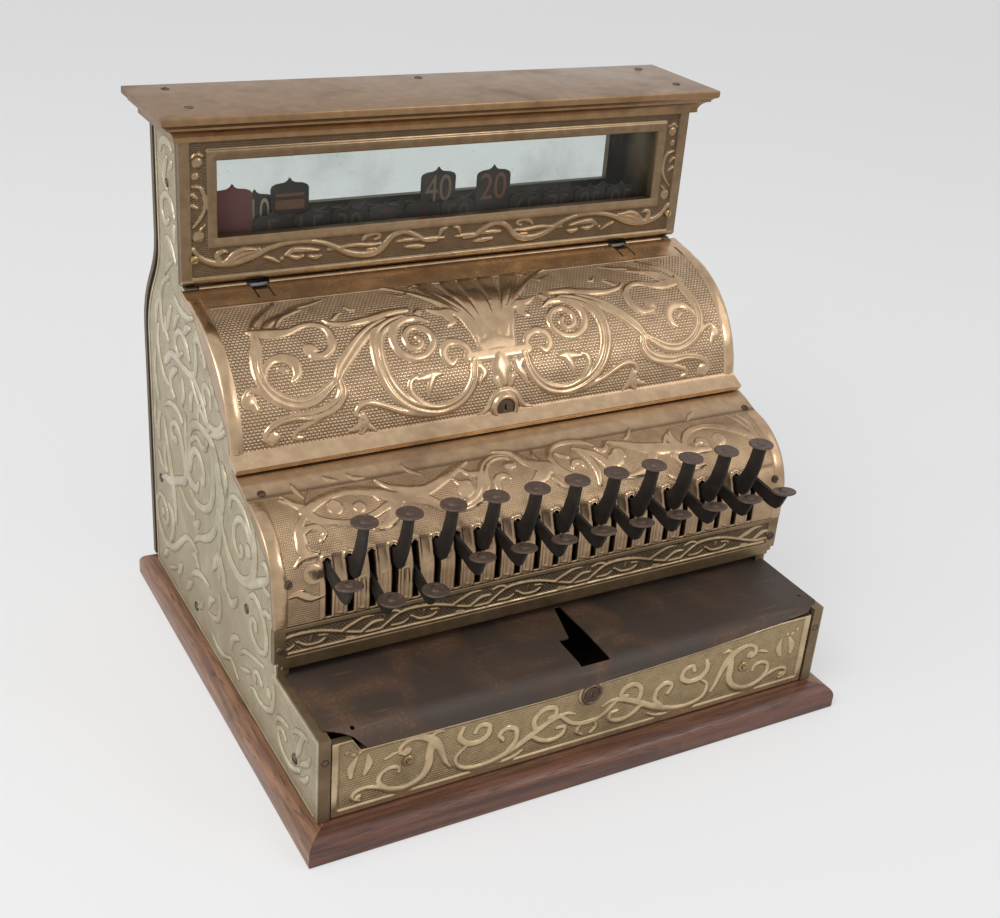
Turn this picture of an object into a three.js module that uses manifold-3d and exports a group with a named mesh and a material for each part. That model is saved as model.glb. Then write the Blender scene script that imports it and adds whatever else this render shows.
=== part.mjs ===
// Counter cash register with a cast cabinet, pressed front covers, a row of drop keys and a wooden base.
// Lengths are in millimetres. +X is to the right seen from the front, +Y to the back and +Z up.
// Depths are counted from the front edge of the base, and the whole group is then centred on its depth.

import * as THREE from 'three';
import { mergeVertices } from 'three/addons/utils/BufferGeometryUtils.js';
import Module from 'manifold-3d';

const wasm = await Module();
wasm.setup();

// Shared clearances
const gap = 0.3;
const overrun = 2;
const weld = 0.4;

// Mitred wooden base and how far it stands out round the cabinet
const base = {
  sideLedge: 13.5,
  frontLedge: 18,
  height: 19.5,
  railWidth: 40,
  edgeRadius: 9,
  boardThickness: 13,
  edgeSteps: 5,
};

// Cast side plates, which stand on the base and carry every cover
const plate = {
  outerHalfWidth: 211.5,
  thickness: 8,
  armLength: 72.5,
  armHeight: 68.2,
  shoulderLift: 12.4,
  backCurveHeight: 88,
  backPullUpper: 30,
  backPullLower: 43,
  boreDepth: 5,
  boreSlack: 0.15,
};

// Pressed covers on the front of the cabinet, which overhang the side plates
const cover = {
  overhang: 5,
  thickness: 2.4,
};

// Lower curved cover with the key slots
const panel = {
  depth: 81.5,
  straightHeight: 19,
  curveRadius: 52.9,
  curveEndDegrees: 104,
  curveSteps: 8,
};

// Key slots in the lower cover
const slot = {
  width: 4.6,
  lift: 2,
  height: 43,
  depth: 21,
};

// Frieze rail under the lower cover
const rail = {
  thickness: 4,
  height: 33.5,
  lift: 9,
  topGap: 0.5,
  cornerCut: 9,
};

// Hinged quarter-round lid
const lid = {
  centreDistance: 90,
  lift: 82,
  ledge: 16.9,
  curveRadius: 87.5,
  curveStartDegrees: 101,
  curveEndDegrees: 174,
  lipReach: 12.5,
  lipDrop: 5.5,
  lipThickness: 2.4,
  curveSteps: 12,
  notchMargin: 45.5,
  notchWidth: 13,
  notchDepth: 6,
  slitWidth: 1.2,
  slitLength: 13,
};

// Hinge rod of the lid and its knuckles
const hinge = {
  distance: 3.3,
  radius: 2,
  knuckleRadius: 3.3,
  knuckleWidth: 7,
  knuckleReach: 9,
  lugRadius: 3,
  lugSteps: 4,
  slack: 0.15,
  sides: 12,
};

// Round lock in the lid
const lidLock = {
  radius: 7,
  length: 15,
  proud: 1.6,
  degrees: 172,
  keywayWidth: 1.6,
  keywayHeight: 6,
  keywayDepth: 4,
  sides: 20,
};

// Cast window frame, its panes and the cornice above
const frame = {
  overhang: 3.75,
  ledgeGap: 1.1,
  lift: 4.6,
  height: 106.1,
  thickness: 8,
  sideRail: 27.75,
  sillHeight: 34.4,
  headHeight: 15.2,
  sideBorder: 8,
  bottomBorder: 5.9,
  topBorder: 2,
  innerBorder: 7.5,
  friezeDepth: 1.5,
  footChamfer: 2.2,
};

const pane = {
  thickness: 2,
  lap: 4,
};

const cornice = {
  height: 19.7,
  frontOverhang: 16.6,
  sideOverhang: 15.75,
  backOverhang: 1,
  recessDepth: 15,
  recessFrontMargin: 12,
  recessBackMargin: 11,
  recessSideMargin: 0.5,
  outShares: [0.27, 0.27, 0.36, 0.5, 0.72, 0.72, 0.86, 1, 1],
  upShares: [0, 0.16, 0.3, 0.42, 0.5, 0.57, 0.66, 0.74, 1],
};

// Rear cover, a sheet on a set-back rim
const rear = {
  caseDepth: 81,
  bulge: 39,
  upperReach: 15,
  lowerReach: 16,
  thickness: 6,
  rimInset: 3.5,
  rimThickness: 4,
  sideRail: 21.5,
  sillHeight: 30.4,
  headHeight: 11.7,
  curveSteps: 8,
};

// Keys, their shaft and their stop bar
const keys = {
  count: 23,
  leftMargin: 27.1,
  rightMargin: 18.66,
  thickness: 2.4,
  pressDegrees: 10,
  heldDownIndexes: [2, 4],
  shaftDistance: 89.5,
  shaftLift: 58,
  shaftRadius: 4,
  shaftSlack: 0.2,
  hubHalfHeight: 8,
  hubHalfLength: 9,
  shaftSides: 12,
};

// Lever outlines: reach is forward from the shaft and drop is below it
const blade = {
  slotReach: 84,
  slotUnderDrop: 25.4,
  slotOverDrop: 16,
  tipOverlap: 9.4,
  tipDrop: 5,
  tipHeight: 5,
};

const lowerKey = {
  discReach: 123,
  discDrop: 12,
  discTiltDegrees: 10,
  keelReach: 113,
  keelDrop: 28.6,
  noseReach: 123.5,
  noseDrop: 23,
  throatReach: 112,
  throatDrop: 17.6,
};

const upperKey = {
  discReach: 106.7,
  discRise: 24,
  discTiltDegrees: 0,
  stemWidth: 12.5,
  heelReach: 90,
  heelDrop: 26.4,
  toeReach: 101,
  toeDrop: 21,
  kneeReach: 106,
  throatReach: 92,
  kneeDrop: 8,
};

const disc = {
  radius: 9.5,
  thickness: 1.8,
  sides: 16,
};

const stopBar = {
  reach: 40,
  radius: 3,
  sides: 10,
};

// Drop flags behind the window
const flags = {
  sideMargin: 33.6,
  distance: 19.6,
  sideGap: 0.9,
  thickness: 1.3,
  height: 38,
  shoulderShare: 0.84,
  cornerShare: 0.88,
  neckShare: 0.93,
  lift: 29.4,
  travel: 22,
  raisedIndexes: [0, 1, 3, 11, 14],
  rodWidth: 3,
  rodClearance: 2,
  bankThickness: 3.6,
  bankHeight: 27,
};

// The flag that has slipped down and to one side, behind its neighbours
const strayFlag = {
  index: 1,
  shift: 4,
  drop: 7.5,
};

const flagGuide = {
  distance: 12,
  depth: 48,
  drop: 7.6,
  thickness: 3,
  slotSlack: 0.5,
};

// Drawer, its cover sheet, guides and spring
const drawer = {
  frontDistance: 1,
  frontThickness: 6,
  sideClearance: 1.2,
  floorClearance: 0.9,
  topClearance: 5.6,
  shoulderWidth: 14.5,
  lipClearance: 0.6,
  borderWidth: 6,
  panelDepth: 1.5,
  rearSpace: 100,
  trayWall: 6,
  trayFloor: 5,
  trayHeight: 48.2,
  coinRow: 85,
  coinDividers: 3,
  noteDividers: 2,
  dividerThickness: 5,
  dividerHeight: 40.2,
};

const drawerLock = {
  radius: 6,
  bossWidth: 2.4,
  lift: 45.7,
  proud: 1.2,
  keywayWidth: 1.5,
  keywayHeight: 5,
  keywayDepth: 2.5,
  sides: 20,
};

const sheet = {
  thickness: 1.2,
  leftInset: 6,
  rightInset: 0.5,
  insideInset: 0.5,
  tuck: 37.5,
  lipProud: 0.4,
  bendRadius: 5,
  lipLeftInset: 24.5,
  lipRightInset: 12,
  lipDepth: 16.2,
  lipAcrossShares: [0, 0.4, 0.73, 0.93, 1],
  lipDepthShares: [0.94, 1, 0.63, 0.3, 0.2],
  leftCornerLength: 13,
  rightCornerLength: 9,
};

// Opening in the drawer cover sheet, measured from the middle and from its lip
const sheetHole = {
  right: 16.6,
  left: 8.2,
  neckLeft: 0.5,
  tailLeft: 11.5,
  frontMargin: 6.4,
  wideLength: 32.5,
  length: 73,
};

const guide = {
  width: 14.8,
  height: 12,
  runningGap: 0.4,
  frontDistance: 14,
  rearReach: 30,
};

const leafSpring = {
  sideDistance: 60,
  width: 22,
  thickness: 1.2,
  bendLength: 25.7,
  footLength: 26,
  rise: 26,
  steps: 6,
};

// Bell behind the drawer and its hammer
const bell = {
  sideMargin: 83.5,
  drawerGap: 16,
  radius: 21,
  rimLift: 20.2,
  domeHeight: 15,
  wall: 1.6,
  postRadius: 3,
  domeSteps: 6,
  sides: 24,
};

const hammer = {
  armLength: 26,
  postRadius: 3,
  collarRadius: 5,
  hubRadius: 6,
  hubLift: 18.2,
  hubHeight: 7,
  slack: 0.2,
  armWidth: 4,
  headRadius: 4.5,
  strikeGap: 0.4,
  sides: 14,
};

const radians = (degrees) => (degrees * Math.PI) / 180;
const at = (a, b) => new THREE.Vector2(a, b);

// Places across the cabinet
const plateInner = plate.outerHalfWidth - plate.thickness;
const baseHalfWidth = plate.outerHalfWidth + base.sideLedge;
const coverHalf = plate.outerHalfWidth + cover.overhang;
const frameHalf = plate.outerHalfWidth + frame.overhang;
const openingHalf = frameHalf - frame.sideRail;
const rearOpeningHalf = plate.outerHalfWidth - rear.sideRail;
const notchCentre = plateInner - lid.notchMargin;
const keyFirst = -plateInner + keys.leftMargin;
const keyPitch = (plateInner - keys.rightMargin - keyFirst) / (keys.count - 1);
const flagFirst = -plateInner + flags.sideMargin;
const flagPitch = (-flagFirst * 2) / (keys.count - 1);
const flagWidth = flagPitch * 2 - flags.sideGap;
const drawerHalf = plateInner - drawer.sideClearance;
const guideOuter = plateInner - gap;
const trayHalf = guideOuter - guide.width - guide.runningGap;
const sheetLeft = -plate.outerHalfWidth + sheet.leftInset;
const sheetRight = plate.outerHalfWidth - sheet.rightInset;
const sheetInside = plateInner - sheet.insideInset;
const lipLeft = sheetLeft + sheet.lipLeftInset;
const lipRight = sheetRight - sheet.lipRightInset;
const bellX = -plateInner + bell.sideMargin;

// Places from the front edge of the base to its back edge
const armFront = base.frontLedge;
const panelFront = armFront + plate.armLength;
const panelBack = panelFront + panel.depth;
const lidCurveY = panelBack + lid.centreDistance;
const lidBack = lidCurveY + lid.ledge;
const hingeY = lidBack + hinge.distance;
const frameFront = lidBack + frame.ledgeGap;
const paneFront = frameFront + frame.thickness + gap;
const rearUpper = frameFront + rear.caseDepth;
const rearLower = rearUpper + rear.bulge;
const baseDepth = rearLower;
const plateBackUpper = rearUpper - rear.upperReach;
const plateBackLower = rearLower - rear.lowerReach;
const shaftY = panelFront + keys.shaftDistance;
const stopBarY = shaftY - stopBar.reach;
const flagPlane = frameFront + flags.distance;
const flagRearPlane = flagPlane + flags.thickness + gap + flags.bankThickness + gap;
const drawerFace = armFront + drawer.frontDistance;
const lipFront = armFront - sheet.lipProud;
const bendBack = lipFront + sheet.bendRadius;
const trayBack = rearLower - drawer.rearSpace;
const bellY = trayBack + bell.drawerGap + bell.radius;

// Places from the floor upwards
const seat = base.height + gap;
const armTop = seat + plate.armHeight;
const sheetBottom = armTop + gap;
const railBottom = armTop + rail.lift;
const panelBottom = railBottom + rail.height + rail.topGap;
const panelCurveZ = panelBottom + panel.straightHeight;
const slotBottom = panelBottom + slot.lift;
const slotTop = slotBottom + slot.height;
const lidCurveZ = panelBottom + lid.lift;
const shaftZ = panelBottom + keys.shaftLift;
const drawerTop = sheetBottom - drawer.topClearance;
const drawerBottom = base.height + drawer.floorClearance;
const trayTop = seat + drawer.trayHeight;
const dividerTop = seat + drawer.dividerHeight;
const drawerLockZ = seat + drawerLock.lift;
const hingeZ = lidLine(cover.thickness, lidBack).pop().y;
const frameBottom = hingeZ + frame.lift;
const plateTop = frameBottom + frame.height;
const corniceBottom = plateTop + gap;
const openingBottom = frameBottom + frame.sillHeight;
const openingTop = plateTop - frame.headHeight;
const rearOpeningBottom = frameBottom + rear.sillHeight;
const rearOpeningTop = plateTop - rear.headHeight;
const backCurveTop = frameBottom + plate.shoulderLift;
const backCurveBottom = backCurveTop - plate.backCurveHeight;
const raisedBottom = frameBottom + flags.lift;
const loweredBottom = raisedBottom - flags.travel;
const flagGuideBottom = frameBottom - flagGuide.drop;
const tipTop = shaftZ - blade.tipDrop;
const bellRim = seat + bell.rimLift;
const hammerHubBottom = seat + hammer.hubLift;

// Turns a closed geometry into a solid for cutting and joining
function solidOf(geometry) {
  const bare = new THREE.BufferGeometry();
  bare.setAttribute('position', geometry.getAttribute('position'));
  if (geometry.index) {
    bare.setIndex(geometry.index);
  }
  const merged = mergeVertices(bare);
  const corners = merged.index.array;
  const kept = [];
  for (let i = 0; i < corners.length; i += 3) {
    const [a, b, c] = corners.slice(i, i + 3);
    if (a !== b && b !== c && c !== a) {
      kept.push(a, b, c);
    }
  }
  const mesh = new wasm.Mesh({
    numProp: 3,
    vertProperties: new Float32Array(merged.getAttribute('position').array),
    triVerts: new Uint32Array(kept),
  });
  return new wasm.Manifold(mesh);
}

function geometryOf(solid) {
  const mesh = solid.getMesh();
  const geometry = new THREE.BufferGeometry();
  geometry.setAttribute('position', new THREE.BufferAttribute(new Float32Array(mesh.vertProperties), 3));
  geometry.setIndex(new THREE.BufferAttribute(new Uint32Array(mesh.triVerts), 1));
  geometry.computeVertexNormals();
  return geometry;
}

function extruded(outline, length, holes = []) {
  const shape = new THREE.Shape(outline);
  for (const hole of holes) {
    shape.holes.push(new THREE.Path(hole));
  }
  return new THREE.ExtrudeGeometry(shape, { depth: length, bevelEnabled: false });
}

// An outline in depth and height, carried from left to right
function acrossX(outline, left, right, holes) {
  const geometry = extruded(outline, right - left, holes);
  const turn = new THREE.Matrix4().makeBasis(
    new THREE.Vector3(0, 1, 0),
    new THREE.Vector3(0, 0, 1),
    new THREE.Vector3(1, 0, 0),
  );
  geometry.applyMatrix4(turn);
  geometry.translate(left, 0, 0);
  return solidOf(geometry);
}

// An outline in width and height, carried from front to back
function acrossY(outline, front, back, holes) {
  const geometry = extruded(outline, back - front, holes);
  geometry.rotateX(Math.PI / 2);
  geometry.translate(0, back, 0);
  return solidOf(geometry);
}

// An outline seen from above, carried upwards
function upwards(outline, bottom, top) {
  const geometry = extruded(outline, top - bottom);
  geometry.translate(0, 0, bottom);
  return solidOf(geometry);
}

function block(left, right, front, back, bottom, top) {
  const geometry = new THREE.BoxGeometry(right - left, back - front, top - bottom);
  geometry.translate((left + right) / 2, (front + back) / 2, (bottom + top) / 2);
  return solidOf(geometry);
}

function rodAlongX(radius, y, z, left, right, sides) {
  const geometry = new THREE.CylinderGeometry(radius, radius, right - left, sides);
  geometry.rotateZ(Math.PI / 2);
  geometry.translate((left + right) / 2, y, z);
  return solidOf(geometry);
}

function rodAlongY(radius, x, z, front, back, sides) {
  const geometry = new THREE.CylinderGeometry(radius, radius, back - front, sides);
  geometry.translate(x, (front + back) / 2, z);
  return solidOf(geometry);
}

function rodUpwards(radius, x, y, bottom, top, sides) {
  const geometry = new THREE.CylinderGeometry(radius, radius, top - bottom, sides);
  geometry.rotateX(Math.PI / 2);
  geometry.translate(x, y, (bottom + top) / 2);
  return solidOf(geometry);
}

// Points on a circle in depth and height, from one angle to the other
function arc(centreY, centreZ, radius, startDegrees, endDegrees, steps) {
  const points = [];
  for (let i = 0; i <= steps; i += 1) {
    const angle = radians(startDegrees + ((endDegrees - startDegrees) * i) / steps);
    points.push(at(centreY + radius * Math.cos(angle), centreZ + radius * Math.sin(angle)));
  }
  return points;
}

// The S-shaped back edge, from its upper end down to its lower end
function backCurve(upperY, lowerY) {
  const curve = new THREE.CubicBezierCurve(
    at(upperY, backCurveTop),
    at(upperY, backCurveTop - plate.backPullUpper),
    at(lowerY, backCurveBottom + plate.backPullLower),
    at(lowerY, backCurveBottom),
  );
  return curve.getPoints(rear.curveSteps);
}

// The outside of the lower cover set in by a distance, from its foot to its back
function panelLine(inset) {
  const centreY = panelFront + panel.curveRadius;
  const radius = panel.curveRadius - inset;
  const points = [at(panelFront + inset, panelBottom)];
  points.push(...arc(centreY, panelCurveZ, radius, 180, panel.curveEndDegrees, panel.curveSteps));
  const last = points[points.length - 1];
  const slope = Math.tan(radians(panel.curveEndDegrees - 90));
  points.push(at(panelBack, last.y + (panelBack - last.x) * slope));
  return points;
}

// The outside of the lid set in by a distance, from its lip up to its hinged edge
function lidLine(inset, back) {
  const { curveStartDegrees, curveEndDegrees, curveSteps } = lid;
  const radius = lid.curveRadius - inset;
  const points = arc(lidCurveY, lidCurveZ, radius, curveEndDegrees, curveStartDegrees, curveSteps);
  const last = points[points.length - 1];
  const slope = Math.tan(radians(curveStartDegrees - 90));
  points.push(at(back, last.y + (back - last.x) * slope));
  return points;
}

const register = new THREE.Group();
register.position.y = -baseDepth / 2;

const finish = {
  wood: { color: 0x5a2d1c, roughness: 0.55, metalness: 0 },
  board: { color: 0x6b4a33, roughness: 0.8, metalness: 0 },
  castSilver: { color: 0xa9a78c, roughness: 0.5, metalness: 0.6 },
  bronze: { color: 0x9a7b58, roughness: 0.35, metalness: 0.8 },
  copperStain: { color: 0x8f6a4c, roughness: 0.4, metalness: 0.7 },
  rust: { color: 0x43302a, roughness: 0.75, metalness: 0.3 },
  steel: { color: 0x55524e, roughness: 0.5, metalness: 0.8 },
  keyIron: { color: 0x2b2625, roughness: 0.7, metalness: 0.4 },
  glass: { color: 0xe8eeee, roughness: 0.08, metalness: 0 },
  brass: { color: 0xb08a4a, roughness: 0.35, metalness: 0.9 },
  darkFlag: { color: 0x2c2420, roughness: 0.8, metalness: 0 },
  redFlag: { color: 0x6b241a, roughness: 0.8, metalness: 0 },
  creamFlag: { color: 0xcabf9c, roughness: 0.8, metalness: 0 },
};

function add(name, solid, look) {
  const mesh = new THREE.Mesh(geometryOf(solid), new THREE.MeshStandardMaterial(look));
  mesh.name = name;
  register.add(mesh);
  return mesh;
}

// One base rail, lying along X with its outside to the front and a mitre at each end
function baseRail(length) {
  const radius = base.edgeRadius;
  const profile = [at(0, 0), ...arc(radius, base.height - radius, radius, 180, 90, base.edgeSteps)];
  profile.push(at(base.railWidth, base.height), at(base.railWidth, 0));
  const bar = acrossX(profile, -length / 2, length / 2);
  const half = length / 2;
  const reach = base.railWidth + overrun;
  const cut = (side) => upwards(
    [
      at(side * (half - gap + overrun), -overrun),
      at(side * (half + gap + reach), -overrun),
      at(side * (half + gap + reach), reach),
      at(side * (half - gap - reach), reach),
    ],
    -overrun,
    base.height + overrun,
  );
  return bar.subtract(cut(1)).subtract(cut(-1));
}

function addBase() {
  const longRail = baseRail(baseHalfWidth * 2);
  const shortRail = baseRail(baseDepth);
  add('base_front_rail', longRail, finish.wood);
  const back = add('base_back_rail', longRail, finish.wood);
  back.rotation.z = Math.PI;
  back.position.y = baseDepth;
  const left = add('base_left_rail', shortRail, finish.wood);
  left.rotation.z = -Math.PI / 2;
  left.position.set(-baseHalfWidth, baseDepth / 2, 0);
  const right = add('base_right_rail', shortRail, finish.wood);
  right.rotation.z = Math.PI / 2;
  right.position.set(baseHalfWidth, baseDepth / 2, 0);
  const halfWidth = baseHalfWidth - base.railWidth - gap;
  const inner = base.railWidth + gap;
  const bottom = base.height - base.boardThickness;
  const board = block(-halfWidth, halfWidth, inner, baseDepth - inner, bottom, base.height);
  add('base_board', board, finish.board);
}

function sidePlateOutline() {
  const under = cover.thickness + gap;
  const frontEdge = panelFront + rail.thickness + gap;
  const lower = panelLine(under).filter((point) => point.y > panelBottom);
  const upper = lidLine(under, lidBack);
  const lug = arc(hingeY, hingeZ, hinge.lugRadius, 180, 90, hinge.lugSteps);
  return [
    at(armFront, seat),
    at(armFront, armTop),
    at(frontEdge, armTop),
    at(frontEdge, panelBottom),
    at(panelFront + under, panelBottom),
    ...lower,
    at(upper[0].x, lower[lower.length - 1].y),
    ...upper,
    ...lug,
    at(paneFront, hingeZ + hinge.lugRadius),
    at(paneFront, plateTop),
    at(plateBackUpper, plateTop),
    ...backCurve(plateBackUpper, plateBackLower),
    at(plateBackLower, seat),
  ];
}

// Blind bores inside a side plate for the shaft, the stop bar and the hinge rod
function plateBores(side) {
  const inner = side * (plateInner - overrun);
  const end = side * (plateInner + plate.boreDepth);
  const left = Math.min(inner, end);
  const right = Math.max(inner, end);
  const bore = (radius, y, z, sides) => rodAlongX(radius + plate.boreSlack, y, z, left, right, sides);
  return bore(keys.shaftRadius, shaftY, shaftZ, keys.shaftSides)
    .add(bore(stopBar.radius, stopBarY, stopBarZ(), stopBar.sides))
    .add(bore(hinge.radius, hingeY, hingeZ, hinge.sides));
}

function addSidePlates() {
  const outline = sidePlateOutline();
  for (const [name, side] of [['left_side_plate', -1], ['right_side_plate', 1]]) {
    const ends = [side * plateInner, side * plate.outerHalfWidth];
    const body = acrossX(outline, Math.min(...ends), Math.max(...ends));
    add(name, body.subtract(plateBores(side)), finish.castSilver);
  }
}

function addRearCover() {
  const outer = backCurve(rearUpper, rearLower);
  const inner = backCurve(rearUpper - rear.thickness, rearLower - rear.thickness);
  const sheetOutline = [
    at(rearUpper, plateTop),
    ...outer,
    at(rearLower, seat),
    at(rearLower - rear.thickness, seat),
    ...inner.slice().reverse(),
    at(rearUpper - rear.thickness, plateTop),
  ];
  const half = plate.outerHalfWidth;
  let body = acrossX(sheetOutline, -half, half);
  const rimInner = backCurve(plateBackUpper + gap, plateBackLower + gap);
  const rimOutline = [
    at(rearUpper - rear.thickness + weld, plateTop),
    ...backCurve(rearUpper - rear.thickness + weld, rearLower - rear.thickness + weld),
    at(rearLower - rear.thickness + weld, seat),
    at(plateBackLower + gap, seat),
    ...rimInner.slice().reverse(),
    at(plateBackUpper + gap, plateTop),
  ];
  const rimOuter = half - rear.rimInset;
  const rimInnerX = rimOuter - rear.rimThickness;
  body = body.add(acrossX(rimOutline, rimInnerX, rimOuter));
  body = body.add(acrossX(rimOutline, -rimOuter, -rimInnerX));
  const window = block(
    -rearOpeningHalf,
    rearOpeningHalf,
    rearUpper - rear.thickness - overrun,
    rearUpper + overrun,
    rearOpeningBottom,
    rearOpeningTop,
  );
  add('rear_cover', body.subtract(window), finish.copperStain);
  const paneBack = rearUpper - rear.thickness - gap;
  const glass = block(
    -rearOpeningHalf - pane.lap,
    rearOpeningHalf + pane.lap,
    paneBack - pane.thickness,
    paneBack,
    rearOpeningBottom - pane.lap,
    rearOpeningTop + pane.lap,
  );
  add('rear_glass', glass, finish.glass);
}

// The cornice is a stack of level rectangles, wider from step to step
function addCornice() {
  const corners = [];
  const faces = [];
  const levels = cornice.outShares.length;
  for (let i = 0; i < levels; i += 1) {
    const side = frameHalf + cornice.outShares[i] * cornice.sideOverhang;
    const front = frameFront - cornice.outShares[i] * cornice.frontOverhang;
    const z = corniceBottom + cornice.upShares[i] * cornice.height;
    corners.push(-side, front, z, side, front, z, side, rearUpper + cornice.backOverhang, z, -side, rearUpper + cornice.backOverhang, z);
  }
  for (let i = 0; i < levels - 1; i += 1) {
    for (let k = 0; k < 4; k += 1) {
      const a = i * 4 + k;
      const b = i * 4 + ((k + 1) % 4);
      faces.push(a, b, b + 4, a, b + 4, a + 4);
    }
  }
  const roof = (levels - 1) * 4;
  faces.push(0, 2, 1, 0, 3, 2, roof, roof + 1, roof + 2, roof, roof + 2, roof + 3);
  const geometry = new THREE.BufferGeometry();
  geometry.setAttribute('position', new THREE.Float32BufferAttribute(corners, 3));
  geometry.setIndex(faces);
  const recessHalf = plateInner - cornice.recessSideMargin;
  const recess = block(
    -recessHalf,
    recessHalf,
    frameFront + cornice.recessFrontMargin,
    rearUpper - cornice.recessBackMargin,
    corniceBottom - overrun,
    corniceBottom + cornice.recessDepth,
  );
  add('top_cornice', solidOf(geometry).subtract(recess), finish.copperStain);
}

function addWindowFrame() {
  const top = plateTop;
  const back = frameFront + frame.thickness;
  const profile = [
    at(frameFront, frameBottom + frame.footChamfer),
    at(frameFront, top),
    at(back, top),
    at(back, frameBottom),
    at(frameFront + frame.footChamfer, frameBottom),
  ];
  const body = acrossX(profile, -frameHalf, frameHalf);
  const opening = block(
    -openingHalf,
    openingHalf,
    frameFront - overrun,
    back + overrun,
    openingBottom,
    openingTop,
  );
  const friezeHalf = frameHalf - frame.sideBorder;
  const frieze = block(
    -friezeHalf,
    friezeHalf,
    frameFront - overrun,
    frameFront + frame.friezeDepth,
    frameBottom + frame.bottomBorder,
    top - frame.topBorder,
  );
  const beadHalf = openingHalf + frame.innerBorder;
  const bead = block(
    -beadHalf,
    beadHalf,
    frameFront - overrun,
    frameFront + frame.friezeDepth,
    openingBottom - frame.innerBorder,
    openingTop + frame.innerBorder,
  );
  add('window_frame', body.subtract(frieze.subtract(bead)).subtract(opening), finish.bronze);
  const glass = block(
    -openingHalf - pane.lap,
    openingHalf + pane.lap,
    paneFront,
    paneFront + pane.thickness,
    openingBottom - pane.lap,
    openingTop + pane.lap,
  );
  add('front_glass', glass, finish.glass);
}

function keyX(index) {
  return keyFirst + keyPitch * index;
}

function addKeyPanel() {
  const outer = panelLine(0);
  const inner = panelLine(cover.thickness);
  let body = acrossX([...outer, ...inner.reverse()], -coverHalf, coverHalf);
  for (let i = 0; i < keys.count; i += 1) {
    const x = keyX(i);
    const half = slot.width / 2;
    const front = panelFront - overrun;
    body = body.subtract(block(x - half, x + half, front, front + slot.depth, slotBottom, slotTop));
  }
  add('key_panel', body, finish.bronze);
}

function addLowerRail() {
  const half = coverHalf;
  const top = panelBottom - rail.topGap;
  const outline = [
    at(-half, top),
    at(-half, railBottom + rail.cornerCut),
    at(-half + rail.cornerCut, railBottom),
    at(half - rail.cornerCut, railBottom),
    at(half, railBottom + rail.cornerCut),
    at(half, top),
  ];
  add('lower_rail', acrossY(outline, panelFront, panelFront + rail.thickness), finish.bronze);
}

// The lid's section, with its lip drawn out to the front under the curve
function lidOutline() {
  const outer = lidLine(0, lidBack);
  const inner = lidLine(cover.thickness, lidBack);
  const foot = outer[0];
  const noseY = foot.x - lid.lipReach;
  const noseZ = foot.y - lid.lipDrop;
  return [
    ...outer.slice().reverse(),
    at(noseY, noseZ),
    at(noseY, noseZ - lid.lipThickness),
    at(inner[0].x, inner[0].y - lid.lipThickness),
    ...inner,
  ];
}

function lidLockPlace() {
  const angle = radians(lidLock.degrees);
  const out = at(Math.cos(angle), Math.sin(angle));
  return { out, y: lidCurveY + lid.curveRadius * out.x, z: lidCurveZ + lid.curveRadius * out.y };
}

// A cylinder across the lid at the lock, from inside the lid to outside it
function lockCylinder(radius, inside, outside) {
  const place = lidLockPlace();
  const geometry = new THREE.CylinderGeometry(radius, radius, inside + outside, lidLock.sides);
  geometry.translate(0, (outside - inside) / 2, 0);
  geometry.rotateX(Math.atan2(place.out.y, place.out.x));
  geometry.translate(0, place.y, place.z);
  return solidOf(geometry);
}

function hingeKnuckle(x) {
  const left = x - hinge.knuckleWidth / 2;
  const right = x + hinge.knuckleWidth / 2;
  const ring = rodAlongX(hinge.knuckleRadius, hingeY, hingeZ, left, right, hinge.sides);
  const bottom = hingeZ - hinge.knuckleRadius;
  const leaf = block(left, right, hingeY - hinge.knuckleReach, hingeY, bottom, hingeZ);
  return ring.add(leaf);
}

function addLid() {
  let body = acrossX(lidOutline(), -coverHalf, coverHalf);
  for (const side of [-1, 1]) {
    const x = side * notchCentre;
    const half = lid.notchWidth / 2;
    const low = hingeZ - lid.notchWidth;
    const high = hingeZ + lid.notchWidth;
    const front = lidBack - lid.notchDepth;
    body = body.subtract(block(x - half, x + half, front, lidBack + overrun, low, high));
    for (const edge of [x - half, x + half - lid.slitWidth]) {
      const slit = block(edge, edge + lid.slitWidth, front - lid.slitLength, lidBack, low, high);
      body = body.subtract(slit);
    }
    body = body.add(hingeKnuckle(x + side * (half + hinge.knuckleWidth)));
  }
  const bore = rodAlongX(
    hinge.radius + hinge.slack,
    hingeY,
    hingeZ,
    -coverHalf,
    coverHalf,
    hinge.sides,
  );
  const lockHole = lockCylinder(lidLock.radius + gap, lidLock.length + overrun, lidLock.length);
  add('upper_lid', body.subtract(bore).subtract(lockHole), finish.bronze);
  const rodEnd = plateInner + plate.boreDepth - gap;
  const rod = rodAlongX(hinge.radius, hingeY, hingeZ, -rodEnd, rodEnd, hinge.sides);
  add('lid_hinge_rod', rod, finish.steel);
}

function addLidLock() {
  const place = lidLockPlace();
  const barrel = lockCylinder(lidLock.radius, lidLock.length - lidLock.proud, lidLock.proud);
  const geometry = new THREE.BoxGeometry(
    lidLock.keywayWidth,
    lidLock.keywayDepth * 2,
    lidLock.keywayHeight,
  );
  geometry.translate(0, lidLock.proud, 0);
  geometry.rotateX(Math.atan2(place.out.y, place.out.x));
  geometry.translate(0, place.y, place.z);
  add('lid_lock', barrel.subtract(solidOf(geometry)), finish.brass);
}

// A point of a lever, forward of the shaft and below it
function lever(reach, drop) {
  return at(-reach, -drop);
}

function leverBack() {
  const tip = flagPlane + blade.tipOverlap - shaftY;
  return [
    at(keys.hubHalfLength, keys.hubHalfHeight / 2),
    at(tip, -blade.tipDrop),
    at(tip, -blade.tipDrop - blade.tipHeight),
    at(keys.hubHalfLength, -keys.hubHalfHeight / 2),
    at(0, -keys.hubHalfHeight),
    at(-keys.hubHalfLength, -keys.hubHalfHeight * 0.85),
    lever(blade.slotReach, blade.slotUnderDrop),
  ];
}

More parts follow.
